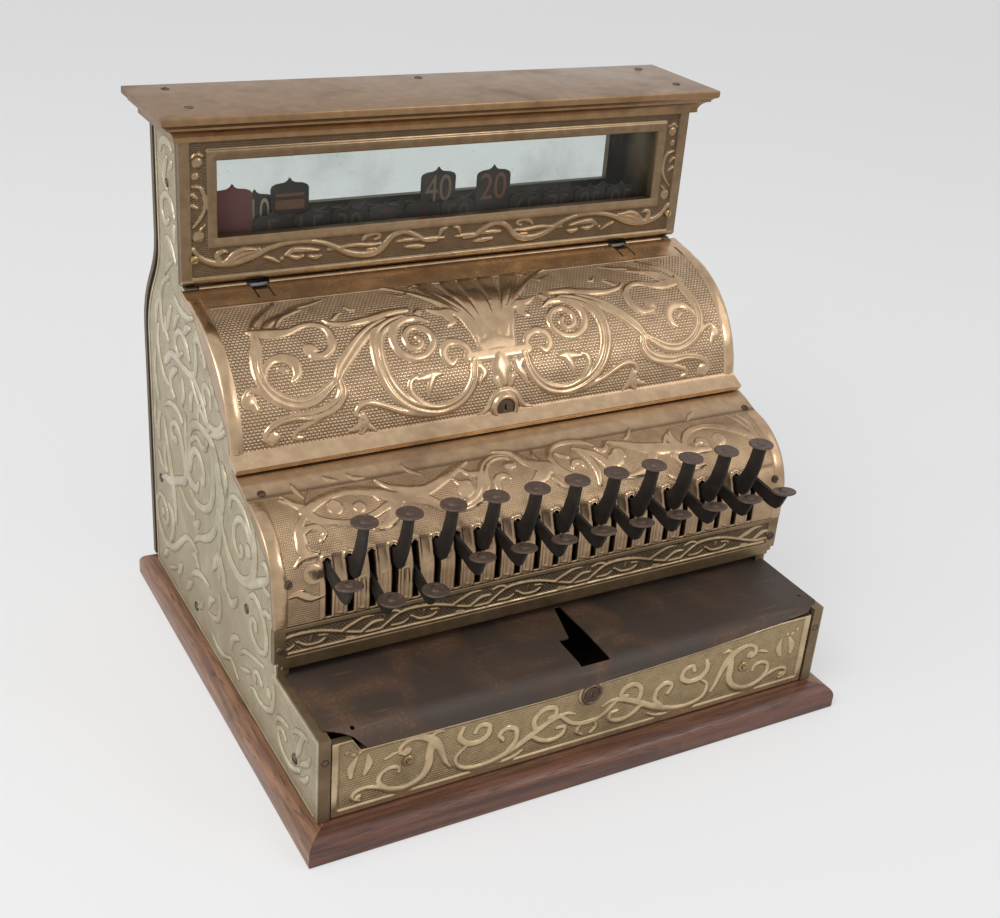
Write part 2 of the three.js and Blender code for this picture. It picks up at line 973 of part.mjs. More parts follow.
function leverTop() {
  return [
    lever(blade.slotReach, blade.slotOverDrop),
    at(-keys.hubHalfLength, keys.hubHalfHeight * 0.85),
    at(0, keys.hubHalfHeight),
  ];
}

function lowerKeyOutline() {
  const key = lowerKey;
  const tilt = Math.tan(radians(key.discTiltDegrees));
  const neck = disc.radius / 2;
  return [
    ...leverBack(),
    lever(key.keelReach - neck * 2, key.keelDrop - disc.thickness / 2),
    lever(key.keelReach, key.keelDrop),
    lever(key.keelReach + neck, key.keelDrop - disc.thickness),
    lever(key.noseReach, key.noseDrop),
    lever(key.discReach + neck, key.discDrop + neck * tilt),
    lever(key.discReach - neck, key.discDrop - neck * tilt),
    lever(key.throatReach, key.throatDrop),
    ...leverTop(),
  ];
}

function upperKeyOutline() {
  const key = upperKey;
  const half = key.stemWidth / 2;
  return [
    ...leverBack(),
    lever(key.heelReach, key.heelDrop),
    lever(key.toeReach, key.toeDrop),
    lever(key.kneeReach, key.kneeDrop),
    lever(key.discReach + half, -key.discRise),
    lever(key.discReach - half, -key.discRise),
    lever(key.throatReach, key.kneeDrop),
    ...leverTop(),
  ];
}

function keySolid(outline, key, discDrop) {
  const half = keys.thickness / 2;
  const radius = keys.shaftRadius + keys.shaftSlack;
  const hole = arc(0, 0, radius, 0, 360 - 360 / keys.shaftSides, keys.shaftSides - 1);
  const body = acrossX(outline, -half, half, [hole]);
  const geometry = new THREE.CylinderGeometry(disc.radius, disc.radius, disc.thickness, disc.sides);
  geometry.rotateX(Math.PI / 2 + radians(key.discTiltDegrees));
  geometry.translate(0, -key.discReach, -discDrop);
  return body.add(solidOf(geometry));
}

function addKeys() {
  const lower = keySolid(lowerKeyOutline(), lowerKey, lowerKey.discDrop);
  const upper = keySolid(upperKeyOutline(), upperKey, -upperKey.discRise);
  for (let i = 0; i < keys.count; i += 1) {
    const number = String(i + 1).padStart(2, '0');
    const mesh = add(`key_${number}`, i % 2 === 0 ? lower : upper, finish.keyIron);
    mesh.position.set(keyX(i), shaftY, shaftZ);
    if (keys.heldDownIndexes.includes(i)) {
      mesh.rotation.x = radians(keys.pressDegrees);
    }
  }
}

// The stop bar lies on the blades where they come to rest
function stopBarZ() {
  const [from, to] = leverTop();
  const slope = (to.y - from.y) / (to.x - from.x);
  const top = shaftZ + from.y + (-stopBar.reach - from.x) * slope;
  return top + (stopBar.radius + gap) * Math.hypot(1, slope);
}

function addShafts() {
  const end = plateInner + plate.boreDepth - gap;
  const shaft = rodAlongX(keys.shaftRadius, shaftY, shaftZ, -end, end, keys.shaftSides);
  add('key_shaft', shaft, finish.steel);
  const bar = rodAlongX(stopBar.radius, stopBarY, stopBarZ(), -end, end, stopBar.sides);
  add('key_stop_bar', bar, finish.steel);
}

function flagX(index) {
  const shift = index === strayFlag.index ? strayFlag.shift : 0;
  return flagFirst + flagPitch * index + shift;
}

function flagOutline(x, bottom) {
  const half = flagWidth / 2;
  const rise = (share) => bottom + flags.height * share;
  const side = (sign) => [
    at(x + sign * half, rise(flags.shoulderShare * 0.93)),
    at(x + sign * half * 0.93, rise(flags.shoulderShare)),
    at(x + sign * half * 0.7, rise(flags.cornerShare)),
    at(x + sign * half * 0.3, rise(flags.cornerShare * 1.02)),
    at(x + sign * half * 0.13, rise(flags.neckShare)),
  ];
  return [
    at(x - half, bottom),
    ...side(-1),
    at(x, rise(1)),
    ...side(1).reverse(),
    at(x + half, bottom),
  ];
}

function flagFront(index) {
  if (index === strayFlag.index) {
    return flagRearPlane + flags.thickness + gap;
  }
  return index % 2 === 0 ? flagPlane : flagRearPlane;
}

function addRaisedFlags() {
  const looks = [finish.redFlag, finish.creamFlag, finish.darkFlag, finish.darkFlag, finish.darkFlag];
  flags.raisedIndexes.forEach((index, place) => {
    const front = flagFront(index);
    const back = front + flags.thickness;
    const rodHalf = flags.rodWidth / 2;
    const drop = index === strayFlag.index ? strayFlag.drop : 0;
    const bottom = raisedBottom - drop;
    const rodBottom = tipTop + flags.travel + flags.rodClearance;
    const tablet = acrossY(flagOutline(flagX(index), bottom), front, back);
    const x = keyX(index);
    const rod = block(x - rodHalf, x + rodHalf, front, back, rodBottom, bottom + weld);
    const number = String(index + 1).padStart(2, '0');
    add(`flag_${number}`, tablet.add(rod), looks[place]);
  });
}

// The lowered flags share one bank, whose bar lies between their two rows
function addLoweredFlags() {
  const bottom = flagGuideBottom + flagGuide.thickness + gap;
  const barFront = flagPlane + flags.thickness + gap;
  const barBack = barFront + flags.bankThickness;
  const ends = flagX(keys.count - 1) + flagWidth / 2;
  let bank = block(-ends, ends, barFront, barBack, bottom, bottom + flags.bankHeight);
  for (let i = 0; i < keys.count; i += 1) {
    if (flags.raisedIndexes.includes(i)) {
      continue;
    }
    const front = i % 2 === 0 ? flagPlane : barBack - weld;
    const back = i % 2 === 0 ? barFront + weld : flagRearPlane + flags.thickness;
    bank = bank.add(acrossY(flagOutline(flagX(i), loweredBottom), front, back));
  }
  add('lowered_flags', bank, finish.darkFlag);
}

function addFlagGuide() {
  const bottom = flagGuideBottom;
  const top = bottom + flagGuide.thickness;
  const half = guideOuter;
  let body = block(-half, half, frameFront + flagGuide.distance, frameFront + flagGuide.distance + flagGuide.depth, bottom, top);
  for (const index of flags.raisedIndexes) {
    const x = keyX(index);
    const slack = flagGuide.slotSlack;
    const reach = flags.rodWidth / 2 + slack;
    const front = flagFront(index) - slack;
    const back = flagFront(index) + flags.thickness + slack;
    body = body.subtract(block(x - reach, x + reach, front, back, bottom - overrun, top + overrun));
  }
  add('flag_guide', body, finish.steel);
}

// The uneven lower edge of the cover sheet's lip, from left to right
function lipEdge() {
  const across = lipRight - lipLeft;
  return sheet.lipAcrossShares.map((share, place) => at(
    lipLeft + across * share,
    sheetBottom - sheet.lipDepth * sheet.lipDepthShares[place],
  ));
}

// The drawer front stays just under the lip, so that it slides out freely
function drawerFrontOutline() {
  const half = drawerHalf;
  const under = lipEdge().map((point) => at(
    point.x,
    Math.min(point.y - drawer.lipClearance, drawerTop),
  ));
  under[0].x -= drawer.lipClearance;
  return [
    at(-half, drawerBottom),
    at(half, drawerBottom),
    at(half, drawerTop),
    ...under.reverse(),
    at(-half + drawer.shoulderWidth, drawerTop),
    at(-half, drawerTop),
  ];
}

function addDrawer() {
  const face = drawerFace;
  const back = face + drawer.frontThickness;
  const plateBody = acrossY(drawerFrontOutline(), face, back);
  const inner = drawerHalf - drawer.borderWidth;
  const sunk = block(
    -inner,
    inner,
    face - overrun,
    face + drawer.panelDepth,
    drawerBottom + drawer.borderWidth,
    sheetBottom - sheet.lipDepth - drawer.lipClearance - drawer.borderWidth / 3,
  );
  const lockHole = rodAlongY(
    drawerLock.radius + gap,
    0,
    drawerLockZ,
    face - overrun,
    back + overrun,
    drawerLock.sides,
  );
  const boss = rodAlongY(
    drawerLock.radius + drawerLock.bossWidth,
    0,
    drawerLockZ,
    face,
    back,
    drawerLock.sides,
  );
  const body = plateBody.subtract(sunk).add(boss.intersect(plateBody));
  add('drawer_front', body.subtract(lockHole), finish.castSilver);
  add('drawer_tray', drawerTray(back + gap), finish.board);
  addDrawerLock(back);
}

function drawerTray(front) {
  const half = trayHalf;
  const floorTop = seat + drawer.trayFloor;
  const wall = drawer.trayWall;
  const back = trayBack;
  const outside = block(-half, half, front, back, seat, trayTop);
  const hollow = block(
    -half + wall,
    half - wall,
    front + wall,
    back - wall,
    floorTop,
    trayTop + overrun,
  );
  let tray = outside.subtract(hollow);
  const rowBack = front + wall + drawer.coinRow;
  const thick = drawer.dividerThickness;
  const low = floorTop - weld;
  const side = half - wall + weld;
  tray = tray.add(block(-side, side, rowBack, rowBack + thick, low, dividerTop));
  const rows = [
    { count: drawer.coinDividers, from: front + wall - weld, to: rowBack + weld },
    { count: drawer.noteDividers, from: rowBack + thick - weld, to: back - wall + weld },
  ];
  for (const row of rows) {
    const clear = 2 * (half - wall);
    for (let i = 1; i <= row.count; i += 1) {
      const x = -half + wall + (clear * i) / (row.count + 1);
      const divider = block(x - thick / 2, x + thick / 2, row.from, row.to, low, dividerTop);
      tray = tray.add(divider);
    }
  }
  return tray;
}

function addDrawerLock(back) {
  const front = drawerFace - drawerLock.proud;
  const barrel = rodAlongY(drawerLock.radius, 0, drawerLockZ, front, back - gap, drawerLock.sides);
  const half = drawerLock.keywayWidth / 2;
  const rise = drawerLock.keywayHeight / 2;
  const keyway = block(
    -half,
    half,
    front - overrun,
    front + drawerLock.keywayDepth,
    drawerLockZ - rise,
    drawerLockZ + rise,
  );
  add('drawer_lock', barrel.subtract(keyway), finish.brass);
}

// The cover sheet lies on the arms, bends down in front and runs in under the rail
function addDrawerCover() {
  const bottom = sheetBottom;
  const top = bottom + sheet.thickness;
  const inside = panelFront + rail.thickness - gap;
  const flat = [
    at(lipLeft, bendBack - weld),
    at(lipRight, bendBack - weld),
    at(sheetRight, armFront + sheet.rightCornerLength),
    at(sheetRight, inside),
    at(sheetInside, inside),
    at(sheetInside, panelFront + sheet.tuck),
    at(-sheetInside, panelFront + sheet.tuck),
    at(-sheetInside, inside),
    at(sheetLeft, inside),
    at(sheetLeft, armFront + sheet.leftCornerLength),
  ];
  const thick = sheet.thickness;
  const bend = [
    at(bendBack, bottom),
    at(lipFront + thick * 2, bottom - thick / 2),
    at(lipFront + thick, bottom - thick * 2),
    at(lipFront + thick, bottom - thick * 2.5),
    at(lipFront, bottom - thick * 2.5),
    at(lipFront, bottom - thick),
    at(lipFront + thick, bottom + thick / 2),
    at(bendBack, top),
  ];
  const lip = [
    ...lipEdge(),
    at(lipRight, bottom - thick * 2),
    at(lipLeft, bottom - thick * 2),
  ];
  const holeFront = lipFront + sheetHole.frontMargin;
  const holeStep = holeFront + sheetHole.wideLength;
  const holeBack = holeFront + sheetHole.length;
  const hole = [
    at(sheetHole.tailLeft, holeBack),
    at(sheetHole.right, holeBack),
    at(sheetHole.right, holeFront),
    at(-sheetHole.left, holeFront),
    at(-sheetHole.left, holeStep),
    at(sheetHole.neckLeft, holeStep),
  ];
  const body = upwards(flat, bottom, top)
    .add(acrossX(bend, lipLeft, lipRight))
    .add(acrossY(lip, lipFront, lipFront + thick));
  add('drawer_cover', body.subtract(upwards(hole, bottom - overrun, top + overrun)), finish.rust);
}

function addDrawerGuides() {
  const inner = trayHalf + guide.runningGap;
  const outer = guideOuter;
  const top = seat + guide.height;
  const front = armFront + guide.frontDistance;
  const back = trayBack + guide.rearReach;
  add('drawer_guide_left', block(-outer, -inner, front, back, seat, top), finish.board);
  add('drawer_guide_right', block(inner, outer, front, back, seat, top), finish.board);
}

// A bent leaf on the base board that pushes the drawer out
function addLeafSpring() {
  const tipY = trayBack + gap;
  const footFront = tipY + leafSpring.bendLength;
  const footBack = footFront + leafSpring.footLength;
  const curve = new THREE.QuadraticBezierCurve(
    at(footFront, seat),
    at(tipY, seat),
    at(tipY, seat + leafSpring.rise),
  );
  const lower = [at(footBack, seat), ...curve.getPoints(leafSpring.steps)];
  const upper = new THREE.QuadraticBezierCurve(
    at(footFront, seat + leafSpring.thickness),
    at(tipY + leafSpring.thickness, seat + leafSpring.thickness),
    at(tipY + leafSpring.thickness, seat + leafSpring.rise),
  ).getPoints(leafSpring.steps);
  upper.reverse();
  const outline = [...lower, ...upper, at(footBack, seat + leafSpring.thickness)];
  const half = leafSpring.width / 2;
  add('drawer_spring', acrossX(outline, leafSpring.sideDistance - half, leafSpring.sideDistance + half), finish.steel);
}

// The bell is a thin dome on a post, open underneath
function addBell() {
  const top = bellRim + bell.domeHeight;
  const outer = [];
  const inner = [];
  for (let i = 0; i <= bell.domeSteps; i += 1) {
    const angle = (Math.PI / 2) * (i / bell.domeSteps);
    const cos = Math.cos(angle);
    const sin = Math.sin(angle);
    outer.push(at(bell.radius * cos, bellRim + bell.domeHeight * sin));
    inner.push(at((bell.radius - bell.wall) * cos, bellRim + (bell.domeHeight - bell.wall) * sin));
  }
  outer[bell.domeSteps].x = 0;
  inner[bell.domeSteps].x = 0;
  const profile = [...inner.reverse(), ...outer];
  const geometry = new THREE.LatheGeometry(profile, bell.sides);
  geometry.rotateX(Math.PI / 2);
  geometry.translate(bellX, bellY, 0);
  const dome = solidOf(geometry);
  const post = rodUpwards(bell.postRadius, bellX, bellY, seat, top - bell.wall / 2, hammer.sides);
  add('bell', dome.add(post), finish.brass);
}

function addBellHammer() {
  const hubBottom = hammerHubBottom;
  const { hubHeight } = hammer;
  const hubTop = hubBottom + hubHeight;
  const headX = bellX + bell.radius + hammer.strikeGap + hammer.headRadius;
  const postY = bellY + hammer.armLength;
  const upright = (radius, y, bottom, top) => rodUpwards(radius, headX, y, bottom, top, hammer.sides);
  const post = upright(hammer.postRadius, postY, seat, hubTop);
  const collar = upright(hammer.collarRadius, postY, seat, hubBottom - gap);
  add('hammer_post', post.add(collar), finish.steel);
  const half = hammer.armWidth / 2;
  const z = hubBottom + hubHeight / 2;
  const arm = block(headX - half, headX + half, bellY, postY, z - half, z + half);
  const head = upright(hammer.headRadius, bellY, hubBottom, hubTop);
  const hub = upright(hammer.hubRadius, postY, hubBottom, hubTop);
  const bore = upright(hammer.postRadius + hammer.slack, postY, hubBottom - overrun, hubTop + overrun);
  add('bell_hammer', arm.add(head).add(hub).subtract(bore), finish.brass);
}

addBase();
addSidePlates();
addRearCover();
addCornice();
addWindowFrame();
addKeyPanel();
addLowerRail();
addLid();
addLidLock();
addKeys();
addShafts();
addRaisedFlags();
addLoweredFlags();
addFlagGuide();
addDrawer();
addDrawerCover();
addDrawerGuides();
addLeafSpring();
addBell();
addBellHammer();

export default register;
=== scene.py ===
"""Looks of a cast and pressed metal cash register on a wooden base."""

import itertools
import logging
import math
from dataclasses import dataclass, field
from enum import Enum
from typing import Callable, Iterable, Sequence

import bmesh
import bpy
import numpy as np
from mathutils import Matrix, Vector


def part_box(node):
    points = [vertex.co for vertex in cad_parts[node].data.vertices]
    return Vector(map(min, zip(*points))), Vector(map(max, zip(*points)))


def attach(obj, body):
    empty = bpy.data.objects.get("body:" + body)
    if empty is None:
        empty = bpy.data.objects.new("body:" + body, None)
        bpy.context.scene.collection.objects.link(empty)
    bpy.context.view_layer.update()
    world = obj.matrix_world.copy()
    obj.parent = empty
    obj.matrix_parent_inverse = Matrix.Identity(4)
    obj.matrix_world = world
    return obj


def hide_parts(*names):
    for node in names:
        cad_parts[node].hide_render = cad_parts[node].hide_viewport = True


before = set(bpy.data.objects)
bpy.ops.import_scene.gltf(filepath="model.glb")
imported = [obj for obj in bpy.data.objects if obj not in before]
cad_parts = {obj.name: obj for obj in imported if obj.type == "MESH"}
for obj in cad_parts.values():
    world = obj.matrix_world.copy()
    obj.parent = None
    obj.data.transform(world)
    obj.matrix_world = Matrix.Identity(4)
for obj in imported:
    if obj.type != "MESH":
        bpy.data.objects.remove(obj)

log = logging.getLogger("cash_register")

MM = 0.001
# Distance in millimetres between the points at which a line of ornament is drawn.
SAMPLE_SPACING = 0.5
# Middle of the first key and distance from key to key, in millimetres.
FIRST_KEY = -176.4
KEY_PITCH = 16.42
KEY_COUNT = 23

Point2 = tuple[float, float]
Point3 = tuple[float, float, float]
Colour = tuple[float, float, float]


class Ground(Enum):
    """Patterns that the pressing tools left on the ground of a panel."""

    PLAIN = "plain"
    WEAVE = "weave"
    STIPPLE = "stipple"
    HATCH = "hatch"


class Form(Enum):
    """Cross-sections of a raised line of ornament."""

    ROUND = "round"
    CUSHION = "cushion"
    VEINED = "veined"


class NodePen:
    """Draws the shader nodes of one material."""

    def __init__(self, name: str) -> None:
        """Starts an empty material with an output and a shader.

        Args:
            name: name of the material.
        """
        self.material = bpy.data.materials.new(name)
        self.material.use_nodes = True
        self.tree = self.material.node_tree
        self.tree.nodes.clear()
        self.out = self.node("ShaderNodeOutputMaterial")
        self.shader = self.node("ShaderNodeBsdfPrincipled")
        self.link(self.shader.outputs[0], self.out.inputs[0])
        self.place = self.node("ShaderNodeTexCoord")

    def node(self, kind: str, **values: object) -> bpy.types.Node:
        """Adds a node and sets its properties.

        Args:
            kind: Blender's name of the node type.
            **values: properties to set.

        Returns:
            The new node.
        """
        made = self.tree.nodes.new(kind)
        for key, value in values.items():
            setattr(made, key, value)
        return made

    def link(self, source: object, target: bpy.types.NodeSocket) -> None:
        """Feeds a socket from another socket, or sets its own value."""
        if isinstance(source, bpy.types.NodeSocket):
            self.tree.links.new(source, target)
        elif isinstance(source, tuple) and len(source) == 3 and target.type == "RGBA":
            target.default_value = (*source, 1.0)
        else:
            target.default_value = source

    def math(self, kind: str, a: object, b: object = 0.0, clamp: bool = False) -> bpy.types.NodeSocket:
        """Combines two numbers.

        Args:
            kind: the operation.
            a: first socket or number.
            b: second socket or number.
            clamp: whether the result stays between 0 and 1.

        Returns:
            The socket with the result.
        """
        made = self.node("ShaderNodeMath", operation=kind, use_clamp=clamp)
        self.link(a, made.inputs[0])
        self.link(b, made.inputs[1])
        return made.outputs[0]

    def stretched(self, scale: Point3, turn: Point3 = (0, 0, 0)) -> bpy.types.NodeSocket:
        """Gives the place on the piece, stretched along the axes.

        Args:
            scale: factor for each axis.
            turn: rotation in degrees.

        Returns:
            The socket with the coordinates.
        """
        made = self.node("ShaderNodeMapping")
        self.link(self.place.outputs["Object"], made.inputs[0])
        made.inputs["Scale"].default_value = scale
        made.inputs["Rotation"].default_value = tuple(math.radians(a) for a in turn)
        return made.outputs[0]

    def noise(
        self, size: float, detail: float = 4.0, at: object = None, warp: float = 0.0
    ) -> bpy.types.NodeSocket:
        """Adds a soft random pattern.

        Args:
            size: size of its spots in millimetres.
            detail: how many finer layers it has.
            at: coordinates to read instead of the place on the piece.
            warp: how much the pattern bends.

        Returns:
            The socket with a value from 0 to 1.
        """
        made = self.node("ShaderNodeTexNoise")
        self.link(at or self.place.outputs["Object"], made.inputs["Vector"])
        made.inputs["Scale"].default_value = 1.0 / (size * MM)
        made.inputs["Detail"].default_value = detail
        made.inputs["Distortion"].default_value = warp
        return made.outputs[0]

    def between(self, value: object, low: float, high: float) -> bpy.types.NodeSocket:
        """Maps a value so that low becomes 0 and high becomes 1, with soft ends."""
        made = self.node("ShaderNodeMapRange", interpolation_type="SMOOTHSTEP")
        self.link(value, made.inputs[0])
        made.inputs[1].default_value = low
        made.inputs[2].default_value = high
        return made.outputs[0]

    def flat_place(self) -> tuple[bpy.types.NodeSocket, bpy.types.NodeSocket]:
        """Gives the places across and along the piece's flat pattern, in metres."""
        apart = self.node("ShaderNodeSeparateXYZ")
        self.link(self.place.outputs["UV"], apart.inputs[0])
        return apart.outputs[0], apart.outputs[1]

    def blend(self, share: object, first: object, second: object) -> bpy.types.NodeSocket:
        """Blends two shaders, where share is how much of the second one shows."""
        made = self.node("ShaderNodeMixShader")
        for source, target in zip((share, first, second), made.inputs):
            self.link(source, target)
        return made.outputs[0]

    def mix(self, share: object, a: object, b: object, kind: str = "MIX") -> bpy.types.NodeSocket:
        """Blends two colours.

        Args:
            share: how much of the second one shows.
            a: first socket or colour.
            b: second socket or colour.
            kind: blending mode.

        Returns:
            The socket with the colour.
        """
        made = self.node("ShaderNodeMix", data_type="RGBA", blend_type=kind)
        self.link(share, made.inputs[0])
        self.link(a, made.inputs[6])
        self.link(b, made.inputs[7])
        return made.outputs[2]

    def bump(
        self, height: object, depth: float, strength: float = 1.0, under: object = None
    ) -> bpy.types.NodeSocket:
        """Turns a height into a bent normal.

        Args:
            height: socket with the height from 0 to 1.
            depth: depth of the pattern in millimetres.
            strength: share of the effect.
            under: normal that it builds on.

        Returns:
            The socket with the normal.
        """
        made = self.node("ShaderNodeBump")
        self.link(height, made.inputs["Height"])
        made.inputs["Distance"].default_value = depth * MM
        made.inputs["Strength"].default_value = strength
        if under is not None:
            self.link(under, made.inputs["Normal"])
        return made.outputs[0]

    def finish(
        self, colour: object, roughness: object, normal: object = None, metallic: float = 0.0,
        **sockets: object,
    ) -> bpy.types.Material:
        """Feeds the shader and hands the material over.

        Args:
            colour: base colour.
            roughness: roughness.
            normal: bent normal, if any.
            metallic: how metallic it is.
            **sockets: other shader sockets, with underscores for spaces.

        Returns:
            The finished material.
        """
        self.link(colour, self.shader.inputs["Base Color"])
        self.link(roughness, self.shader.inputs["Roughness"])
        self.link(metallic, self.shader.inputs["Metallic"])
        if normal is not None:
            self.link(normal, self.shader.inputs["Normal"])
        for name, value in sockets.items():
            self.link(value, self.shader.inputs[name.replace("_", " ")])
        return self.material


@dataclass(frozen=True)
class MetalFinish:
    """Worn plating over a cast or pressed pattern."""

    name: str
    crest: Colour
    hollow: Colour
    stain: Colour
    crest_roughness: float = 0.25
    hollow_roughness: float = 0.55
    metallic: float = 0.85
    ground: Ground = Ground.PLAIN
    pitch: float = 2.2
    ground_depth: float = 0.5
    stain_low: float = 0.45
    stain_high: float = 0.75
    grain: float = 0.06
    gap_shade: float = 0.6
    foot_shade: float = 0.6
    darkening: float = 0.0
    dark_tone: Colour = (0.8, 0.78, 0.74)
    pale_tone: Colour = (1.05, 1.04, 1.02)
    darkening_tint: Colour = (0.35, 0.275, 0.165)
    foot_tint: Colour = (0.10, 0.07, 0.045)
    gap_tint: Colour = (0.09, 0.07, 0.05)
    weave_squeeze: float = 1.3

    def ground_height(self, pen: NodePen) -> bpy.types.NodeSocket | None:
        """Draws the pattern of the ground.

        Args:
            pen: the material being drawn.

        Returns:
            The socket with its height, or None for a plain ground.
        """
        if self.ground is Ground.PLAIN:
            return None
        across, along = (pen.math("DIVIDE", place, self.pitch * MM) for place in pen.flat_place())
        if self.ground is Ground.HATCH:
            left = pen.math("ADD", across, along)
            right = pen.math("SUBTRACT", across, along)
            return pen.math("MULTIPLY", self.wave(pen, left), self.wave(pen, right))
        rows = along if self.ground is Ground.STIPPLE else pen.math("MULTIPLY", along, self.weave_squeeze)
        shifted = pen.math("ADD", across, pen.math("MULTIPLY", pen.math("FLOOR", rows), 0.5))
        return pen.math("MULTIPLY", self.wave(pen, shifted), self.wave(pen, rows))

    @staticmethod
    def wave(pen: NodePen, place: object) -> bpy.types.NodeSocket:
        """Draws one rounded bump for each whole step of place."""
        return pen.math("SINE", pen.math("MULTIPLY", pen.math("FRACT", place), math.pi))

    def build(self) -> bpy.types.Material:
        """Makes the material.

        Returns:
            The new material.
        """
        pen = NodePen(self.name)
        raised = pen.node("ShaderNodeAttribute", attribute_name="relief").outputs["Fac"]
        patches = pen.noise(55, 5, warp=0.6)
        specks = pen.noise(3.5, 6)
        crest = pen.between(raised, 0.15, 0.75)
        uneven = pen.math("MULTIPLY", pen.math("SUBTRACT", specks, 0.5), 0.35)
        worn = pen.math("ADD", crest, uneven, clamp=True)
        colour = pen.mix(worn, self.hollow, self.crest)
        colour = pen.mix(pen.between(patches, self.stain_low, self.stain_high), colour, self.stain)
        tone = pen.mix(pen.between(pen.noise(9, 6), 0.3, 0.75), self.dark_tone, self.pale_tone)
        colour = pen.mix(0.85, colour, tone, "MULTIPLY")
        # Darkens and browns the piece in patches towards its foot and its top.
        if self.darkening > 0:
            colour = pen.mix(self.darkening_share(pen), colour, self.darkening_tint)
        above = pen.between(raised, 0.02, 0.08)
        foot = pen.math("MULTIPLY", above, pen.math("SUBTRACT", 1.0, pen.between(raised, 0.1, 0.26)))
        colour = pen.mix(pen.math("MULTIPLY", foot, self.foot_shade), colour, self.foot_tint)
        height = self.ground_height(pen)
        normal = pen.bump(specks, self.grain)
        if height is not None:
            height = pen.between(height, 0.1, 0.8)
            ground = pen.math("SUBTRACT", 1.0, pen.between(raised, 0.03, 0.2))
            shade = pen.math("MULTIPLY", pen.math("SUBTRACT", 1.0, height), ground)
            colour = pen.mix(pen.math("MULTIPLY", shade, self.gap_shade), colour, self.gap_tint)
            normal = pen.bump(pen.math("MULTIPLY", height, ground), self.ground_depth, 1.0, normal)
        rough = pen.node("ShaderNodeMapRange")
        pen.link(worn, rough.inputs[0])
        rough.inputs[3].default_value = self.hollow_roughness
        rough.inputs[4].default_value = self.crest_roughness
        cloudy = pen.math("MULTIPLY", pen.math("SUBTRACT", patches, 0.5), 0.3)
        return pen.finish(colour, pen.math("ADD", rough.outputs[0], cloudy), normal, self.metallic)

    def darkening_share(self, pen: NodePen) -> bpy.types.NodeSocket:
        """Darkens a tall piece in patches towards its foot and its top.

        Args:
            pen: the material being drawn.

        Returns:
            The socket with its amount.
        """
        _, level = pen.flat_place()
        low = pen.math("SUBTRACT", 1.0, pen.between(level, 0.04, 0.26))
        high = pen.math("MULTIPLY", pen.between(level, 0.26, 0.4), 0.8)
        ends = pen.math("MAXIMUM", low, high)
        patchy = pen.math("MULTIPLY", pen.between(pen.noise(38, 6), 0.2, 0.7), self.darkening)
        return pen.math("MULTIPLY", ends, patchy)


@dataclass(frozen=True)
class WoodFinish:
    """Stained wood with its grain along one axis."""

    name: str
    light: Colour
    dark: Colour
    stretch: Point3
    roughness: float = 0.5
    pore_tint: Colour = (0.035, 0.014, 0.008)
    darkening_tint: Colour = (0.035, 0.02, 0.013)

    def build(self) -> bpy.types.Material:
        """Makes the material.

        Returns:
            The new material.
        """
        pen = NodePen(self.name)
        fibres = pen.stretched(self.stretch)
        grain = pen.noise(4.5, 8, fibres, 0.7)
        pores = pen.noise(0.8, 3, fibres)
        colour = pen.mix(pen.between(grain, 0.36, 0.64), self.dark, self.light)
        colour = pen.mix(pen.math("MULTIPLY", pen.between(pores, 0.55, 0.68), 0.8), colour, self.pore_tint)
        darkening = pen.between(pen.noise(45, 6), 0.5, 0.85)
        colour = pen.mix(pen.math("MULTIPLY", darkening, 0.4), colour, self.darkening_tint)
        height = pen.math("SUBTRACT", grain, pen.between(pores, 0.54, 0.7))
        roughness = pen.math("ADD", self.roughness - 0.12, pen.math("MULTIPLY", darkening, 0.25))
        normal = pen.bump(height, 0.25, 0.7)
        return pen.finish(colour, roughness, normal, Coat_Weight=0.12, Coat_Roughness=0.3)


@dataclass(frozen=True)
class IronFinish:
    """Dark iron or tinplate with rust."""

    name: str
    base: Colour
    rust: Colour
    pale: Colour
    roughness: float = 0.6
    metallic: float = 0.4
    patch: float = 40.0
    rust_low: float = 0.45
    rust_high: float = 0.7

    def build(self) -> bpy.types.Material:
        """Makes the material.

        Returns:
            The new material.
        """
        pen = NodePen(self.name)
        patches = pen.noise(self.patch, 7, warp=0.8)
        specks = pen.noise(2.2, 6)
        colour = pen.mix(pen.between(patches, self.rust_low, self.rust_high), self.base, self.rust)
        pits = pen.math("MULTIPLY", pen.between(pen.math("MULTIPLY", specks, patches), 0.29, 0.42), 0.6)
        colour = pen.mix(pits, colour, self.pale)
        scratch = pen.noise(5, 2, pen.stretched((0.12, 1.6, 1.0), (0, 0, 24)))
        colour = pen.mix(pen.math("MULTIPLY", pen.between(scratch, 0.62, 0.72), 0.35), colour, self.pale)
        roughness = pen.math("ADD", self.roughness - 0.15, pen.math("MULTIPLY", patches, 0.35))
        return pen.finish(colour, roughness, pen.bump(specks, 0.18), self.metallic)


@dataclass(frozen=True)
class PaintFinish:
    """Old flat paint on tinplate."""

    name: str
    colour: Colour
    worn: Colour
    roughness: float = 0.6

    def build(self) -> bpy.types.Material:
        """Makes the material.

        Returns:
            The new material.
        """
        pen = NodePen(self.name)
        chips = pen.between(pen.noise(2.5, 7), 0.58, 0.68)
        fade = pen.noise(12, 4)
        colour = pen.mix(pen.math("MULTIPLY", fade, 0.5), self.colour, self.worn)
        colour = pen.mix(chips, colour, self.worn)
        return pen.finish(colour, self.roughness, pen.bump(fade, 0.05))


